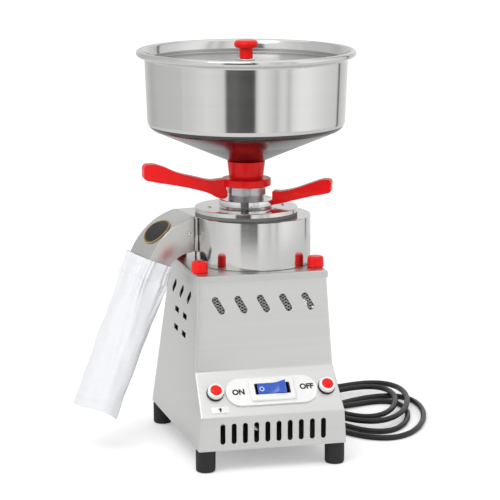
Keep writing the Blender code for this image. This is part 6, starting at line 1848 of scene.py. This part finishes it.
@dataclass
class FlourSleeve:
    """The cotton sleeve gathered on the duct's mouth: pleats, long soft folds, a hem and its stitches."""

    place: Matrix
    mouth: Point
    seam: float = 0.0832
    cloth: float = 0.0010
    overlap: float = 0.0095
    length: float = 0.2200
    hem_wave: float = 0.0030
    lean: float = math.radians(21.5)
    halves: tuple[float, float, float] = (0.0220, 0.0225, 0.0265)
    sides: tuple[float, float, float] = (0.0415, 0.0385, 0.0390)
    waist_share: float = 0.12
    full_share: float = 0.30
    points: int = 200
    stations: int = 150
    pleats: int = 24
    hem: float = 0.0110

    def surface(self, share: float, turn: float, proud: float = 0.0) -> Vector:
        """A point of the cloth's outside.

        Args:
            share: Share of the sleeve's length from its gathered top.
            turn: Share of the way round.
            proud: Height above the cloth.

        Returns:
            The point in the outlet's frame.
        """
        on_mouth = max(0.0, 1 - share / self.waist_share)
        on_mouth = on_mouth * on_mouth * (3 - 2 * on_mouth)
        full = min(1.0, max(0.0, (share - self.waist_share) / self.full_share))
        full = full * full * (3 - 2 * full)
        half = self.halves[0] * on_mouth + (1 - on_mouth) * (
            self.halves[1] + full * (self.halves[2] - self.halves[1])
        )
        side = self.sides[0] * on_mouth + (1 - on_mouth) * (
            self.sides[1] + full * (self.sides[2] - self.sides[1])
        )
        power = 2 / (4.5 - 2.0 * full)
        angle = 2 * math.pi * turn
        c, s = math.cos(angle), math.sin(angle)
        across = half * math.copysign(abs(c) ** power, c)
        sideways = side * math.copysign(abs(s) ** power, s)
        out_way = Vector((
            abs(c) ** (2 - power) * math.copysign(1, c) / half,
            abs(s) ** (2 - power) * math.copysign(1, s) / side
        ))
        out_way.normalize()
        lift = self.folds(share, angle) + proud
        across += out_way.x * lift
        sideways += out_way.y * lift
        run = share * self.length - self.overlap + self.hem_wave * share ** 4 * math.sin(2 * angle + 2.2)
        out = self.mouth[0] + run * math.sin(self.lean)
        z = self.mouth[1] - run * math.cos(self.lean)
        return Vector(
            (self.seam + out + across * math.cos(self.lean), sideways, z + across * math.sin(self.lean))
        )

    def folds(self, share: float, angle: float) -> float:
        """How far the cloth stands in or out at a point, by its pleats, folds, hems and unevenness.

        Args:
            share: Place along the sleeve, 0 at its upper end and 1 at its foot.
            angle: Angle round its section.

        Returns:
            How far out, in metres.
        """
        wander = 0.9 * noise.noise((3.1 * math.cos(angle), 3.1 * math.sin(angle), 2.0 * share))
        gather = math.exp(-(((share - self.waist_share) / 0.075) ** 2))
        crown = max(0.0, 1 - share / 0.05)
        pleat = (1 + math.sin(self.pleats * angle + 2.4 * wander)) * (0.0016 * gather + 0.0014 * crown)
        tail = math.exp(-max(0.0, share - self.waist_share) / 0.16) if share > self.waist_share else 0.0
        fall = 0.0021 * tail * math.sin(0.5 * self.pleats * angle + 3.0 * wander)
        open_share = min(1.0, share / 0.5)
        long_fold = 0.0028 * open_share * math.sin(3 * angle + 1.2 + 1.4 * share + wander)
        uneven = 0.0024 * open_share * noise.noise(
            (2.2 * math.cos(angle), 2.2 * math.sin(angle), 6.5 * share)
        )
        band = 0.0
        for edge in (self.hem, self.length - self.hem):
            away = abs(share * self.length - edge)
            band -= 0.0004 * math.exp(-((away / 0.0012) ** 2))
        return pleat + fall + long_fold + uneven + band

    def build(self, shop: Workshop) -> None:
        """Args:
            shop: The workshop.
        """
        rings = []
        for i in range(self.stations + 1):
            share = i / self.stations
            rings.append([self.surface(share, k / self.points) for k in range(self.points)])
        bm = bmesh.new()
        uv = bm.loops.layers.uv.new("cloth")
        rows = [[bm.verts.new(point) for point in ring] for ring in rings]
        round_length = 2 * math.pi * math.sqrt((self.halves[2] ** 2 + self.sides[2] ** 2) / 2)
        for i in range(self.stations):
            for k in range(self.points):
                n = (k + 1) % self.points
                face = bm.faces.new((rows[i][k], rows[i][n], rows[i + 1][n], rows[i + 1][k]))
                spots = ((k, i), (k + 1, i), (k + 1, i + 1), (k, i + 1))
                for loop, (a, b) in zip(face.loops, spots):
                    loop[uv].uv = (a / self.points * round_length, b / self.stations * self.length)
        first = rings[0]
        middle = sum(first, Vector()) / len(first)
        bm.normal_update()
        face = bm.faces[:][0]
        if face.normal.dot(face.calc_center_median() - middle) < 0:
            bmesh.ops.reverse_faces(bm, faces=bm.faces)
        mesh = thickened(to_mesh(bm, "sleeve"), self.cloth)
        piece = shop.piece(
            "cotton_sleeve", mesh, Palette.COTTON, "flour_sleeve", place=self.place, angle=math.radians(70)
        )
        stitches = self.stitches(shop)

    def stitches(self, shop: Workshop) -> bpy.types.Object:
        """Two rows of stitches, one along each hem.

        Args:
            shop: The workshop.

        Returns:
            The stitches.
        """
        tree = Tree(
            "stitch_row",
            [("Pitch", "NodeSocketFloat"), ("Length", "NodeSocketFloat"), ("Thread", "NodeSocketFloat")]
        )
        inputs = tree.source.outputs
        path = tree.add("GeometryNodeMeshToCurve", _0=inputs["Geometry"])
        spots = tree.add(
            "GeometryNodeCurveToPoints", {"mode": "LENGTH"}, Curve=path.outputs[0], Length=inputs["Pitch"]
        )
        half = tree.add("ShaderNodeMath", {"operation": "MULTIPLY"}, _0=inputs["Length"], _1=0.5)
        back = tree.add("ShaderNodeMath", {"operation": "MULTIPLY"}, _0=half.outputs[0], _1=-1.0)
        low, high = tree.add(
            "ShaderNodeCombineXYZ", Z=back.outputs[0]
        ), tree.add("ShaderNodeCombineXYZ", Z=half.outputs[0])
        line = tree.add("GeometryNodeCurvePrimitiveLine", Start=low.outputs[0], End=high.outputs[0])
        section = tree.add("GeometryNodeCurvePrimitiveCircle", Resolution=6, Radius=inputs["Thread"])
        thread = tree.add("GeometryNodeCurveToMesh", _0=line.outputs[0], _1=section.outputs[0])
        thread.inputs["Fill Caps"].default_value = True
        rowed = tree.add(
            "GeometryNodeInstanceOnPoints", Points=spots.outputs["Points"], Instance=thread.outputs[0],
            Rotation=spots.outputs["Rotation"]
        )
        tree.end(rowed.outputs[0])
        bm = bmesh.new()
        for along in (self.hem, self.length - self.hem):
            share = along / self.length
            verts = [bm.verts.new(self.surface(share, k / self.points, 0.0001)) for k in range(self.points)]
            for a, b in zip(verts, verts[1:] + verts[:1]):
                bm.edges.new((a, b))
        mesh = tree.run(
            to_mesh(bm, "rows"), shop.palette.material(Palette.COTTON), Pitch=0.0036, Length=0.0025,
            Thread=0.00026
        )
        layer = mesh.uv_layers.new(name="cloth")
        layer.active = True
        return shop.piece("sleeve_stitches", mesh, Palette.COTTON, body=Body.MILL, place=self.place)


# Hopper


@dataclass
class Hopper:
    """Spun hopper with its rolled rim, its sunk lid, ferrule and knob."""

    bead: float = 0.0044
    rim_radius: float = 0.1500
    rim_z: float = 0.5469
    top_radius: float = 0.1385
    low_radius: float = 0.1352
    sheet: float = 0.0015
    shoulder_z: float = 0.4560
    corner: float = 0.0150
    cone_radius: float = 0.0252
    cone_z: float = 0.3993
    spout: tuple[float, float] = (0.0211, 0.3803)
    lid_z: float = 0.5330
    lid_sheet: float = 0.0012
    lid_edge: float = 0.0060
    lid_rounding: float = 0.0020
    ferrule: tuple[float, float] = (0.0120, 0.0060)
    stem: tuple[float, float] = (0.00925, 0.0137)
    head: tuple[float, float, float] = (0.0165, 0.0110, 0.0050)

    def wall(self, z: float) -> float:
        """Outer radius of the upper wall at a height."""
        share = (self.rim_z - z) / (self.rim_z - self.shoulder_z)
        return self.top_radius - share * (self.top_radius - self.low_radius)

    def bowl(self) -> Outline:
        """Outer side from the rolled rim down to the spout, then the inner side back up.

        Returns:
            Radius and height of each point.
        """
        wall, foot_z = self.sheet, self.cone_z
        outline = arc(self.rim_radius - self.bead, self.rim_z, self.bead, 160, -120, 22)
        neck_z = self.rim_z - 2 * self.bead
        outline += arc(self.top_radius + 0.0025, neck_z, 0.0025, 110, 180, 5)
        slope = math.degrees(
            math.atan2(self.shoulder_z - self.corner - foot_z, self.low_radius - self.cone_radius)
        )
        corner = (self.low_radius - self.corner, self.shoulder_z)
        outline += arc(*corner, self.corner, 0, slope - 90, 14)
        spout_r, spout_z = self.spout
        outline += [
            (self.cone_radius, foot_z), (spout_r, foot_z), (spout_r, spout_z), (spout_r - wall, spout_z),
            (spout_r - wall, foot_z + wall)
        ]
        outline += arc(*corner, self.corner - wall, slope - 90, 0, 14)
        outline += [(self.top_radius - wall, neck_z)]
        return outline

    def build(self, shop: Workshop) -> None:
        """Makes the bowl, the lid and its knob.

        Args:
            shop: The workshop.
        """
        mesh = shop.turned("bowl", self.bowl(), Palette.SPUN_STEEL, 256, closed=True)
        made = shop.piece("hopper_shell", mesh, Palette.SPUN_STEEL, "hopper_bowl", angle=math.radians(35))
        # Painted shade: the downward-facing faces of the cone below the shoulder get the near-black steel.
        made.data.materials.append(shop.palette.material(Palette.SHADED_UNDERSIDE_STEEL))
        for face in made.data.polygons:
            if face.center.z < self.shoulder_z - 0.4 * self.corner and face.normal.z < -0.02:
                face.material_index = 1
        seat = self.wall(self.lid_z) - self.sheet - 2 * GAP
        top, sheet, rounding = self.lid_z, self.lid_sheet, self.lid_rounding
        lip, inner = top + self.lid_edge, seat - sheet
        outline = arc(seat - sheet / 2, lip - sheet / 2, sheet / 2, 180, 0, 8)
        outline += arc(seat - rounding, top - sheet + rounding, rounding, 0, -90, 6) + [(0, top - sheet)]
        disc = [(0, top), (self.ferrule[0] + 0.004, top), (self.ferrule[0] + 0.006, top - 0.0002)]
        disc += [(inner - 0.0120, top - 0.0002), (inner - 0.0100, top)]
        outline += disc + arc(inner - rounding, top + rounding, rounding, -90, 0, 6)
        mesh = shop.turned("lid", outline, Palette.LID_STEEL, 224, closed=True)
        shop.piece("lid_disc", mesh, Palette.LID_STEEL, "hopper_lid")
        self.build_knob(shop)

    def build_knob(self, shop: Workshop) -> None:
        """The chrome ferrule and the red knob on it.

        Args:
            shop: The workshop.
        """
        radius, high = self.ferrule
        low = self.lid_z + GAP
        edge = 0.0012
        outline = [(0, low + high)] + arc(
            radius - edge, low + high - edge, edge, 90, 0, 6
        ) + [(radius, low), (0, low)]
        mesh = shop.turned("ferrule", outline, Palette.CHROME, 96)
        shop.piece("ferrule_ring", mesh, Palette.CHROME, "lid_ferrule")
        low += high + GAP
        stem_r, stem_h = self.stem
        head_r, head_h, fillet = self.head
        neck = low + stem_h
        top = neck + head_h
        outline = [(0, top), (head_r * 0.4, top - 0.0001)] + arc(
            head_r - fillet, top - fillet - 0.0003, fillet, 88, 0, 8
        )
        outline += arc(head_r - fillet, neck + fillet, fillet, 0, -90, 8)
        outline += arc(stem_r + 0.0018, neck - 0.0018, 0.0018, 90, 180, 5) + [
            (stem_r, low + 0.0004), (stem_r - 0.0004, low), (0, low)
        ]
        mesh = shop.turned("knob", outline, Palette.RED, 96)
        shop.piece("lid_knob_moulding", mesh, Palette.RED, "lid_knob")


# Motor and cord


@dataclass
class Drive:
    """The motor and its fittings, which keep their CAD shapes."""

    iron: tuple[str, ...] = (
        "motor_housing", "motor_upper_shield", "motor_lower_shield", "stator_core", "rotor"
    )
    bright: tuple[str, ...] = ("motor_shaft", "upper_bearing", "lower_bearing")

    def build(self, shop: Workshop) -> None:
        """Gives the inner pieces their finishes.

        Args:
            shop: The workshop.
        """
        for node in self.iron:
            shop.dress_node(node, Palette.IRON)
        for node in self.bright:
            shop.dress_node(node, Palette.CHROME)
        shop.dress_node("cooling_fan", Palette.BLACK)
        shop.dress_node("capacitor", Palette.ALUMINIUM)
        shop.dress_node("capacitor_clip", Palette.PLATE)


@dataclass
class MainsCord:
    """The cord from the gland through its pile of loops to the plug, with the gland and the plug."""

    gland: Matrix
    diameter: float = 0.0082
    straight_share: float = 1.2
    low_z: float = 0.0042
    high_z: float = 0.0129
    turns: float = 3.8
    turn_points: int = 24
    low_turns: float = 2.0
    climb_start: float = 1.75
    climb_turns: float = 0.5
    low_centre: Point = (0.2040, 0.0865)
    high_centre: Point = (0.1970, 0.1300)
    low_half: tuple[float, float] = (0.0935, 0.0230)
    high_half: tuple[float, float] = (0.0520, 0.0173)
    length_share: float = 1.35
    egg_share: float = 0.45
    tilt: float = math.radians(-20.5)
    step: float = 0.0170
    samples: int = 16
    nut_height: float = 0.0050
    taper_length: float = 0.0290
    plug_spot: tuple[float, float] = (-0.0150, 0.1900)
    plug_size: tuple[float, float, float] = (0.0420, 0.0440, 0.0260)
    plug_neck: float = 0.0160

    def pile_point(self, turns: float) -> Vector:
        """Centre of the cord in its pile, by turns from its outer end on the floor.

        Args:
            turns: Turns from the outer end.

        Returns:
            The centre there.
        """
        climb = min(1.0, max(0.0, (turns - self.climb_start) / self.climb_turns))
        climb = climb * climb * (3 - 2 * climb)
        low = self.low_half[0] - self.low_half[1] * min(turns, self.low_turns)
        high = self.high_half[0] + self.high_half[1] * max(turns - self.low_turns, 0.0)
        half = low + climb * (high - low)
        angle = 2 * math.pi * turns - math.pi
        x = half * math.cos(angle)
        y = half * self.length_share * (1 + self.egg_share * math.cos(angle)) * math.sin(angle)
        centre = Vector(self.low_centre).lerp(Vector(self.high_centre), climb)
        x, y = centre + Matrix.Rotation(self.tilt, 2) @ Vector((x, y))
        return Vector((x, y, self.low_z + climb * (self.high_z - self.low_z)))

    def smooth(self, points: Sequence[Vector]) -> list[Vector]:
        """First and last spans kept straight, and points about a step apart on a smooth curve between.

        Args:
            points: The points to pass through.

        Returns:
            The evenly spaced points.
        """
        fine: list[Vector] = []
        for a, b, c, d in zip(points, points[1:], points[2:], points[3:]):
            for i in range(self.samples):
                t = i / self.samples
                bend = (2 * a - 5 * b + 4 * c - d) * t * t + (3 * b - a - 3 * c + d) * t**3
                fine.append(0.5 * (2 * b + (c - a) * t + bend))
        fine.append(points[-2])
        lengths = [0.0]
        for a, b in zip(fine, fine[1:]):
            lengths.append(lengths[-1] + (b - a).length)
        count = round(lengths[-1] / self.step)
        made, j = [points[0]], 0
        for i in range(count + 1):
            goal = lengths[-1] * i / count
            while j < len(fine) - 2 and lengths[j + 1] < goal:
                j += 1
            made.append(fine[j].lerp(fine[j + 1], (goal - lengths[j]) / (lengths[j + 1] - lengths[j])))
        return made + [points[-1]]

    def route(self) -> list[Vector]:
        """Every point of the cord from the gland to the plug.

        Returns:
            The cord's centre line.
        """
        straight, z = self.straight_share * self.diameter, self.low_z
        way = (self.gland.to_3x3() @ Vector((0, 0, 1))).normalized()
        tip = self.gland @ Vector((0, 0, GAP + self.nut_height + self.taper_length))
        count = round(self.turns * self.turn_points)
        pile = [self.pile_point(self.turns * i / count) for i in range(count + 1)]
        start_way, end_way = (pile[1] - pile[0]).normalized(), (pile[-1] - pile[-2]).normalized()
        pile = [pile[0] - start_way * straight] + pile + [pile[-1] + end_way * straight]
        leave = tip + way * GAP
        lead = [leave, leave + way * straight]
        lead += [
            Vector(point)
            for point in (
                (0.0600, 0.1970, 0.0745), (0.0605, 0.2130, 0.0680), (0.0620, 0.2260, 0.0540),
                (0.0650, 0.2340, 0.0370),
                (0.0710, 0.2385, 0.0200), (0.0810, 0.2405, 0.0085), (0.0950, 0.2405, z), (0.1110, 0.2370, z),
                (0.1270, 0.2290, z), (0.1390, 0.2150, z), (0.1440, 0.1970, z), (0.1410, 0.1780, z),
                (0.1340, 0.1600, z),
            )
        ]
        join_in = pile[0] - start_way * GAP
        lead += [join_in - start_way * straight, join_in]
        part = pile[-1] + end_way * GAP
        length, _, height = self.plug_size
        neck_end = Vector((self.plug_spot[0] + length + self.plug_neck + GAP, self.plug_spot[1], height / 2))
        tail = [part, part + end_way * straight]
        tail += [
            Vector(point)
            for point in (
                (0.1720, 0.2100, 0.0128), (0.1500, 0.2010, 0.0128), (0.1290, 0.1940, 0.0125),
                (0.1090, 0.1900, 0.0100),
                (0.0900, 0.1890, 0.0072),
            )
        ]
        tail += [
            neck_end + Vector((2.6 * straight, 0, -0.25 * straight)), neck_end + Vector((straight, 0, 0)),
            neck_end
        ]
        return self.smooth(lead)[:-1] + pile[1:-1] + self.smooth(tail)[1:]

    def build(self, shop: Workshop) -> None:
        """Args:
            shop: The workshop.
        """
        gland, plug = self.build_gland(shop), self.build_plug(shop)
        points = [point + shop.shift for point in self.route()]
        curve = bpy.data.curves.new("mains_cord", "CURVE")
        curve.dimensions = "3D"
        curve.bevel_depth = self.diameter / 2
        curve.bevel_resolution = 4
        curve.resolution_u = 3
        curve.use_fill_caps = True
        curve.twist_mode = "MINIMUM"
        spline = curve.splines.new("BEZIER")
        spline.bezier_points.add(len(points) - 1)
        for spot, point in zip(spline.bezier_points, points):
            spot.co = point
            spot.handle_left_type = "AUTO"
            spot.handle_right_type = "AUTO"
        curve.materials.append(shop.palette.material(Palette.SHEATH))
        made = bpy.data.objects.new("mains_cord", curve)
        bpy.context.scene.collection.objects.link(made)
        shop.seat(made, Palette.SHEATH, ("power_cord_lead", "power_cord_coil", "power_cord_tail"))

    def build_gland(self, shop: Workshop) -> bpy.types.Object:
        """The gland: nut, and a ribbed taper that lets the cord bend.

        Args:
            shop: The workshop.

        Returns:
            The gland.
        """
        nut, taper, tip = 0.0115, 0.0082, 0.0058
        base = GAP + self.nut_height
        top = base + self.taper_length
        outline = [(0, top), (tip - 0.0004, top), (tip, top - 0.0004)]
        ribs = 7
        for i in range(ribs):
            share, deep = i / ribs, (i + 0.55) / ribs
            outline += [
                (tip + (taper - tip) * share, top - self.taper_length * share - 0.0004),
                (tip + (taper - tip) * deep, top - self.taper_length * deep)
            ]
            outline += [
                (tip + (taper - tip) * deep - 0.0011, top - self.taper_length * deep - 0.0003),
                (tip + (taper - tip) * deep - 0.0011, top - self.taper_length * (i + 0.95) / ribs)
            ]
        outline += [(taper, base + 0.0004), (taper, base)]
        outline += [
            (nut - 0.0005, base), (nut, base - 0.0005), (nut, GAP), (0.0067, GAP), (0.0067, -0.0075),
            (0, -0.0075)
        ]
        mesh = shop.turned("gland", outline, Palette.BLACK, 64)
        return shop.piece("strain_relief", mesh, Palette.BLACK, "cable_gland", place=self.gland)

    def build_plug(self, shop: Workshop) -> bpy.types.Object:
        """The moulded plug with grip ridges and a ribbed neck.

        Args:
            shop: The workshop.

        Returns:
            The plug.
        """
        length, width, height = self.plug_size
        x, y = self.plug_spot
        half = width / 2
        body = bevelled(box("plug", (0, -half, 0), (length, half, height)), 0.0050, 6)
        bm = bmesh.new()
        for i in range(5):
            spot = 0.0140 + 0.0050 * i
            for side in (-1, 1):
                box_into(
                    bm, (spot, side * half - 0.0009, 0.006),
                    (spot + 0.0018, side * half + 0.0009, height - 0.006)
                )
        body = combined(body, to_mesh(bm, "grips"), "DIFFERENCE")
        outline = [(0, self.plug_neck), (0.0062, self.plug_neck)]
        for i in range(4):
            z = self.plug_neck - 0.0036 * i
            outline += [
                (0.0064 + 0.0002 * i, z - 0.0006), (0.0064 + 0.0002 * i, z - 0.0022), (0.0052, z - 0.0025),
                (0.0052, z - 0.0034)
            ]
        outline += [(0.0070, 0.0008), (0.0070, -0.0050), (0, -0.0050)]
        neck = shop.turned("neck", outline, Palette.BLACK, 48)
        neck.transform(
            Matrix.Translation((length, 0, height / 2 - 0.0001)) @ Matrix.Rotation(math.pi / 2, 4, "Y")
        )
        mesh = combined(body, neck, "UNION")
        for node in ("plug_pin_line", "plug_pin_neutral", "plug_pin_earth"):
            shop.dress_node(node, Palette.BRASS)
        return shop.piece(
            "plug_moulding", mesh, Palette.BLACK, "plug_body", place=Matrix.Translation((x, y, 0.0001))
        )


# Studio


@dataclass
class Studio:
    """Pale floor, soft light and the photograph's camera."""

    camera_spot: tuple[float, float, float] = (-0.8093, -3.1379, 0.8871)
    camera_way: tuple[float, float, float] = (0.2469, 0.951, -0.186)
    lens: float = 172.0
    sensor: float = 36.0
    floor_reach: float = 16.0
    # Painted reflection: the floor's tone as glossy rays see it, darker than its tone to the eye.
    floor_in_steel: float = 0.80
    ring_radius: float = 1.6
    ring_height: float = 2.6
    streaks: tuple[Point, ...] = (
        (-180, 0.72), (-157, 0.68), (-133, 0.53), (-117, 0.62), (-84, 0.66), (-67, 0.73), (-51, 0.83),
        (-43, 0.88),
        (-36, 0.85), (-24, 0.80), (-21, 0.12), (-12, 0.15), (-6, 0.11), (9, 0.08), (12, 0.80), (17, 0.93),
        (27, 0.77),
        (34, 0.62), (38, 0.80), (43, 0.84), (48, 0.62), (54, 0.92), (64, 1.03), (74, 1.0), (90, 0.88),
        (105, 0.80),
        (124, 0.72), (126, 0.15), (129, 0.15), (131, 0.66), (165, 0.85),
    )

    def build(self, shop: Workshop) -> None:
        """Sets up the camera, floor, reflection ring, world and lamp.

        Args:
            shop: The workshop, for the mill's axis.
        """
        self.build_camera(shop)
        self.build_floor()
        self.build_ring(shop)
        self.build_world()
        self.build_lamp(shop)
        bpy.context.scene.view_settings.view_transform = "Standard"

    def build_camera(self, shop: Workshop) -> None:
        """The camera at the photograph's angle.

        Args:
            shop: The workshop.
        """
        data = bpy.data.cameras.new("photo_camera")
        data.lens = self.lens
        data.sensor_width = self.sensor
        data.clip_end = 60.0
        camera = bpy.data.objects.new("photo_camera", data)
        camera.location = Vector(self.camera_spot) + shop.shift
        camera.rotation_euler = Vector(self.camera_way).to_track_quat("-Z", "Y").to_euler()
        bpy.context.scene.collection.objects.link(camera)
        bpy.context.scene.camera = camera

    def build_floor(self) -> None:
        """A wide white floor that keeps the mill's shadow."""
        book = ShaderBook("studio_floor")
        rays = book.add("LightPath")
        # Painted reflection: glossy rays see the floor darker than the camera does, so the steel mirrors a
        # greyer floor.
        tone = book.tinted(rays.outputs["Is Glossy Ray"], (0.96,) * 3, (self.floor_in_steel,) * 3)
        book.set(Base_Color=tone, Roughness=0.9, Specular_IOR_Level=0.0)
        seen = book.add(
            "Math", {"operation": "MAXIMUM"}, _0=rays.outputs["Is Camera Ray"],
            _1=rays.outputs["Is Transmission Ray"]
        )
        glow = book.add("Math", {"operation": "MULTIPLY"}, _0=seen.outputs[0], _1=0.30)
        book.set(Emission_Color=(1, 1, 1, 1), Emission_Strength=glow.outputs[0])
        reach = self.floor_reach
        bm = bmesh.new()
        corners = [(-reach, -reach, 0), (reach, -reach, 0), (reach, reach, 0), (-reach, reach, 0)]
        bm.faces.new([bm.verts.new(corner) for corner in corners])
        mesh = to_mesh(bm, "studio_floor")
        mesh.materials.append(book.material)
        floor = bpy.data.objects.new("studio_floor", mesh)
        bpy.context.scene.collection.objects.link(floor)

    def build_ring(self, shop: Workshop) -> None:
        """A tall ring of pale and dark boards that only reflections see.

        Args:
            shop: The workshop.
        """
        book = ShaderBook("studio_boards")
        place = book.place(shop.shift)
        radial = book.add("TexGradient", {"gradient_type": "RADIAL"}, Vector=place)
        ramp = book.add("ValToRGB")
        book.join(radial.outputs["Fac"], ramp.inputs["Fac"])
        camera_turn = math.degrees(math.atan2(-self.camera_way[1], -self.camera_way[0]))
        stops = sorted((((camera_turn + turn + 180) % 360) / 360, level) for turn, level in self.streaks)
        elements = ramp.color_ramp.elements
        while len(elements) < len(stops):
            elements.new(0.5)
        for element, (spot, level) in zip(elements, stops):
            element.position = spot
            element.color = (level, level, level, 1)
        light = book.add("Emission", Color=ramp.outputs["Color"], Strength=1.0)
        book.join(light.outputs[0], book.output.inputs["Surface"])
        steps = 180
        rings = [[(self.ring_radius * math.cos(a), self.ring_radius * math.sin(a), z) for a in
                  [2 * math.pi * i / steps for i in range(steps)]] for z in (0.01, self.ring_height)]
        mesh = loft("studio_boards", rings)
        mesh.transform(Matrix.Translation(shop.shift))
        mesh.materials.append(book.material)
        ring = bpy.data.objects.new("studio_boards", mesh)
        bpy.context.scene.collection.objects.link(ring)
        ring.visible_camera = False
        ring.visible_diffuse = False
        ring.visible_shadow = False
        ring.visible_transmission = False
        ring.visible_volume_scatter = False

    def build_world(self) -> None:
        """White to the eye, and softer light from the front left above for the surfaces."""
        world = bpy.data.worlds.new("studio_world")
        world.use_nodes = True
        tree = world.node_tree
        tree.nodes.clear()
        output = tree.nodes.new("ShaderNodeOutputWorld")
        seen, light = tree.nodes.new("ShaderNodeBackground"), tree.nodes.new("ShaderNodeBackground")
        rays, mix = tree.nodes.new("ShaderNodeLightPath"), tree.nodes.new("ShaderNodeMixShader")
        either, all_three = tree.nodes.new("ShaderNodeMath"), tree.nodes.new("ShaderNodeMath")
        either.operation = all_three.operation = "MAXIMUM"
        tree.links.new(rays.outputs["Is Camera Ray"], either.inputs[0])
        tree.links.new(rays.outputs["Is Glossy Ray"], either.inputs[1])
        tree.links.new(either.outputs[0], all_three.inputs[0])
        tree.links.new(rays.outputs["Is Transmission Ray"], all_three.inputs[1])
        seen.inputs["Strength"].default_value = 1.0
        seen.inputs["Color"].default_value = (1, 1, 1, 1)
        place, dot, spread = (
            tree.nodes.new("ShaderNode" + kind) for kind in ("TexCoord", "VectorMath", "MapRange")
        )
        dot.operation = "DOT_PRODUCT"
        dot.inputs[1].default_value = Vector((-0.50, -0.55, 0.67)).normalized()
        tree.links.new(place.outputs["Generated"], dot.inputs[0])
        tree.links.new(dot.outputs["Value"], spread.inputs["Value"])
        spread.inputs["From Min"].default_value = -1.0
        spread.inputs["From Max"].default_value = 1.0
        spread.inputs["To Min"].default_value = 0.35
        spread.inputs["To Max"].default_value = 1.25
        tree.links.new(spread.outputs["Result"], light.inputs["Strength"])
        tree.links.new(all_three.outputs[0], mix.inputs[0])
        tree.links.new(light.outputs[0], mix.inputs[1])
        tree.links.new(seen.outputs[0], mix.inputs[2])
        tree.links.new(mix.outputs[0], output.inputs["Surface"])
        bpy.context.scene.world = world

    def build_lamp(self, shop: Workshop) -> None:
        """A broad lamp above the front left, for the highlights.

        Args:
            shop: The workshop.
        """
        data = bpy.data.lights.new("soft_box", "AREA")
        data.shape = "RECTANGLE"
        data.size, data.size_y = 1.4, 0.9
        data.energy = 14.0
        lamp = bpy.data.objects.new("soft_box", data)
        spot = Vector((-0.9, -1.3, 1.9))
        lamp.location = spot + shop.shift
        lamp.rotation_euler = (Vector((0, 0, 0.3)) - spot).to_track_quat("-Z", "Y").to_euler()
        bpy.context.scene.collection.objects.link(lamp)


def main() -> None:
    """Builds the studio and every sub-assembly, and logs how many pieces were made."""
    logging.basicConfig(level=logging.INFO, format="%(message)s")
    shop = Workshop()
    Studio().build(shop)
    casing, head = Casing(), GrindingHead()
    MainsCord(gland=casing.gland).build(shop)
    casing.build(shop)
    ControlPanel(place=casing.panel).build(shop)
    head.build(shop)
    duct = Duct(place=head.outlet)
    duct.build(shop)
    FlourSleeve(place=head.outlet, mouth=duct.mouth).build(shop)
    Hopper().build(shop)
    Drive().build(shop)
    LOG.info("%d pieces made", shop.count)


if __name__ == "__main__":
    main()
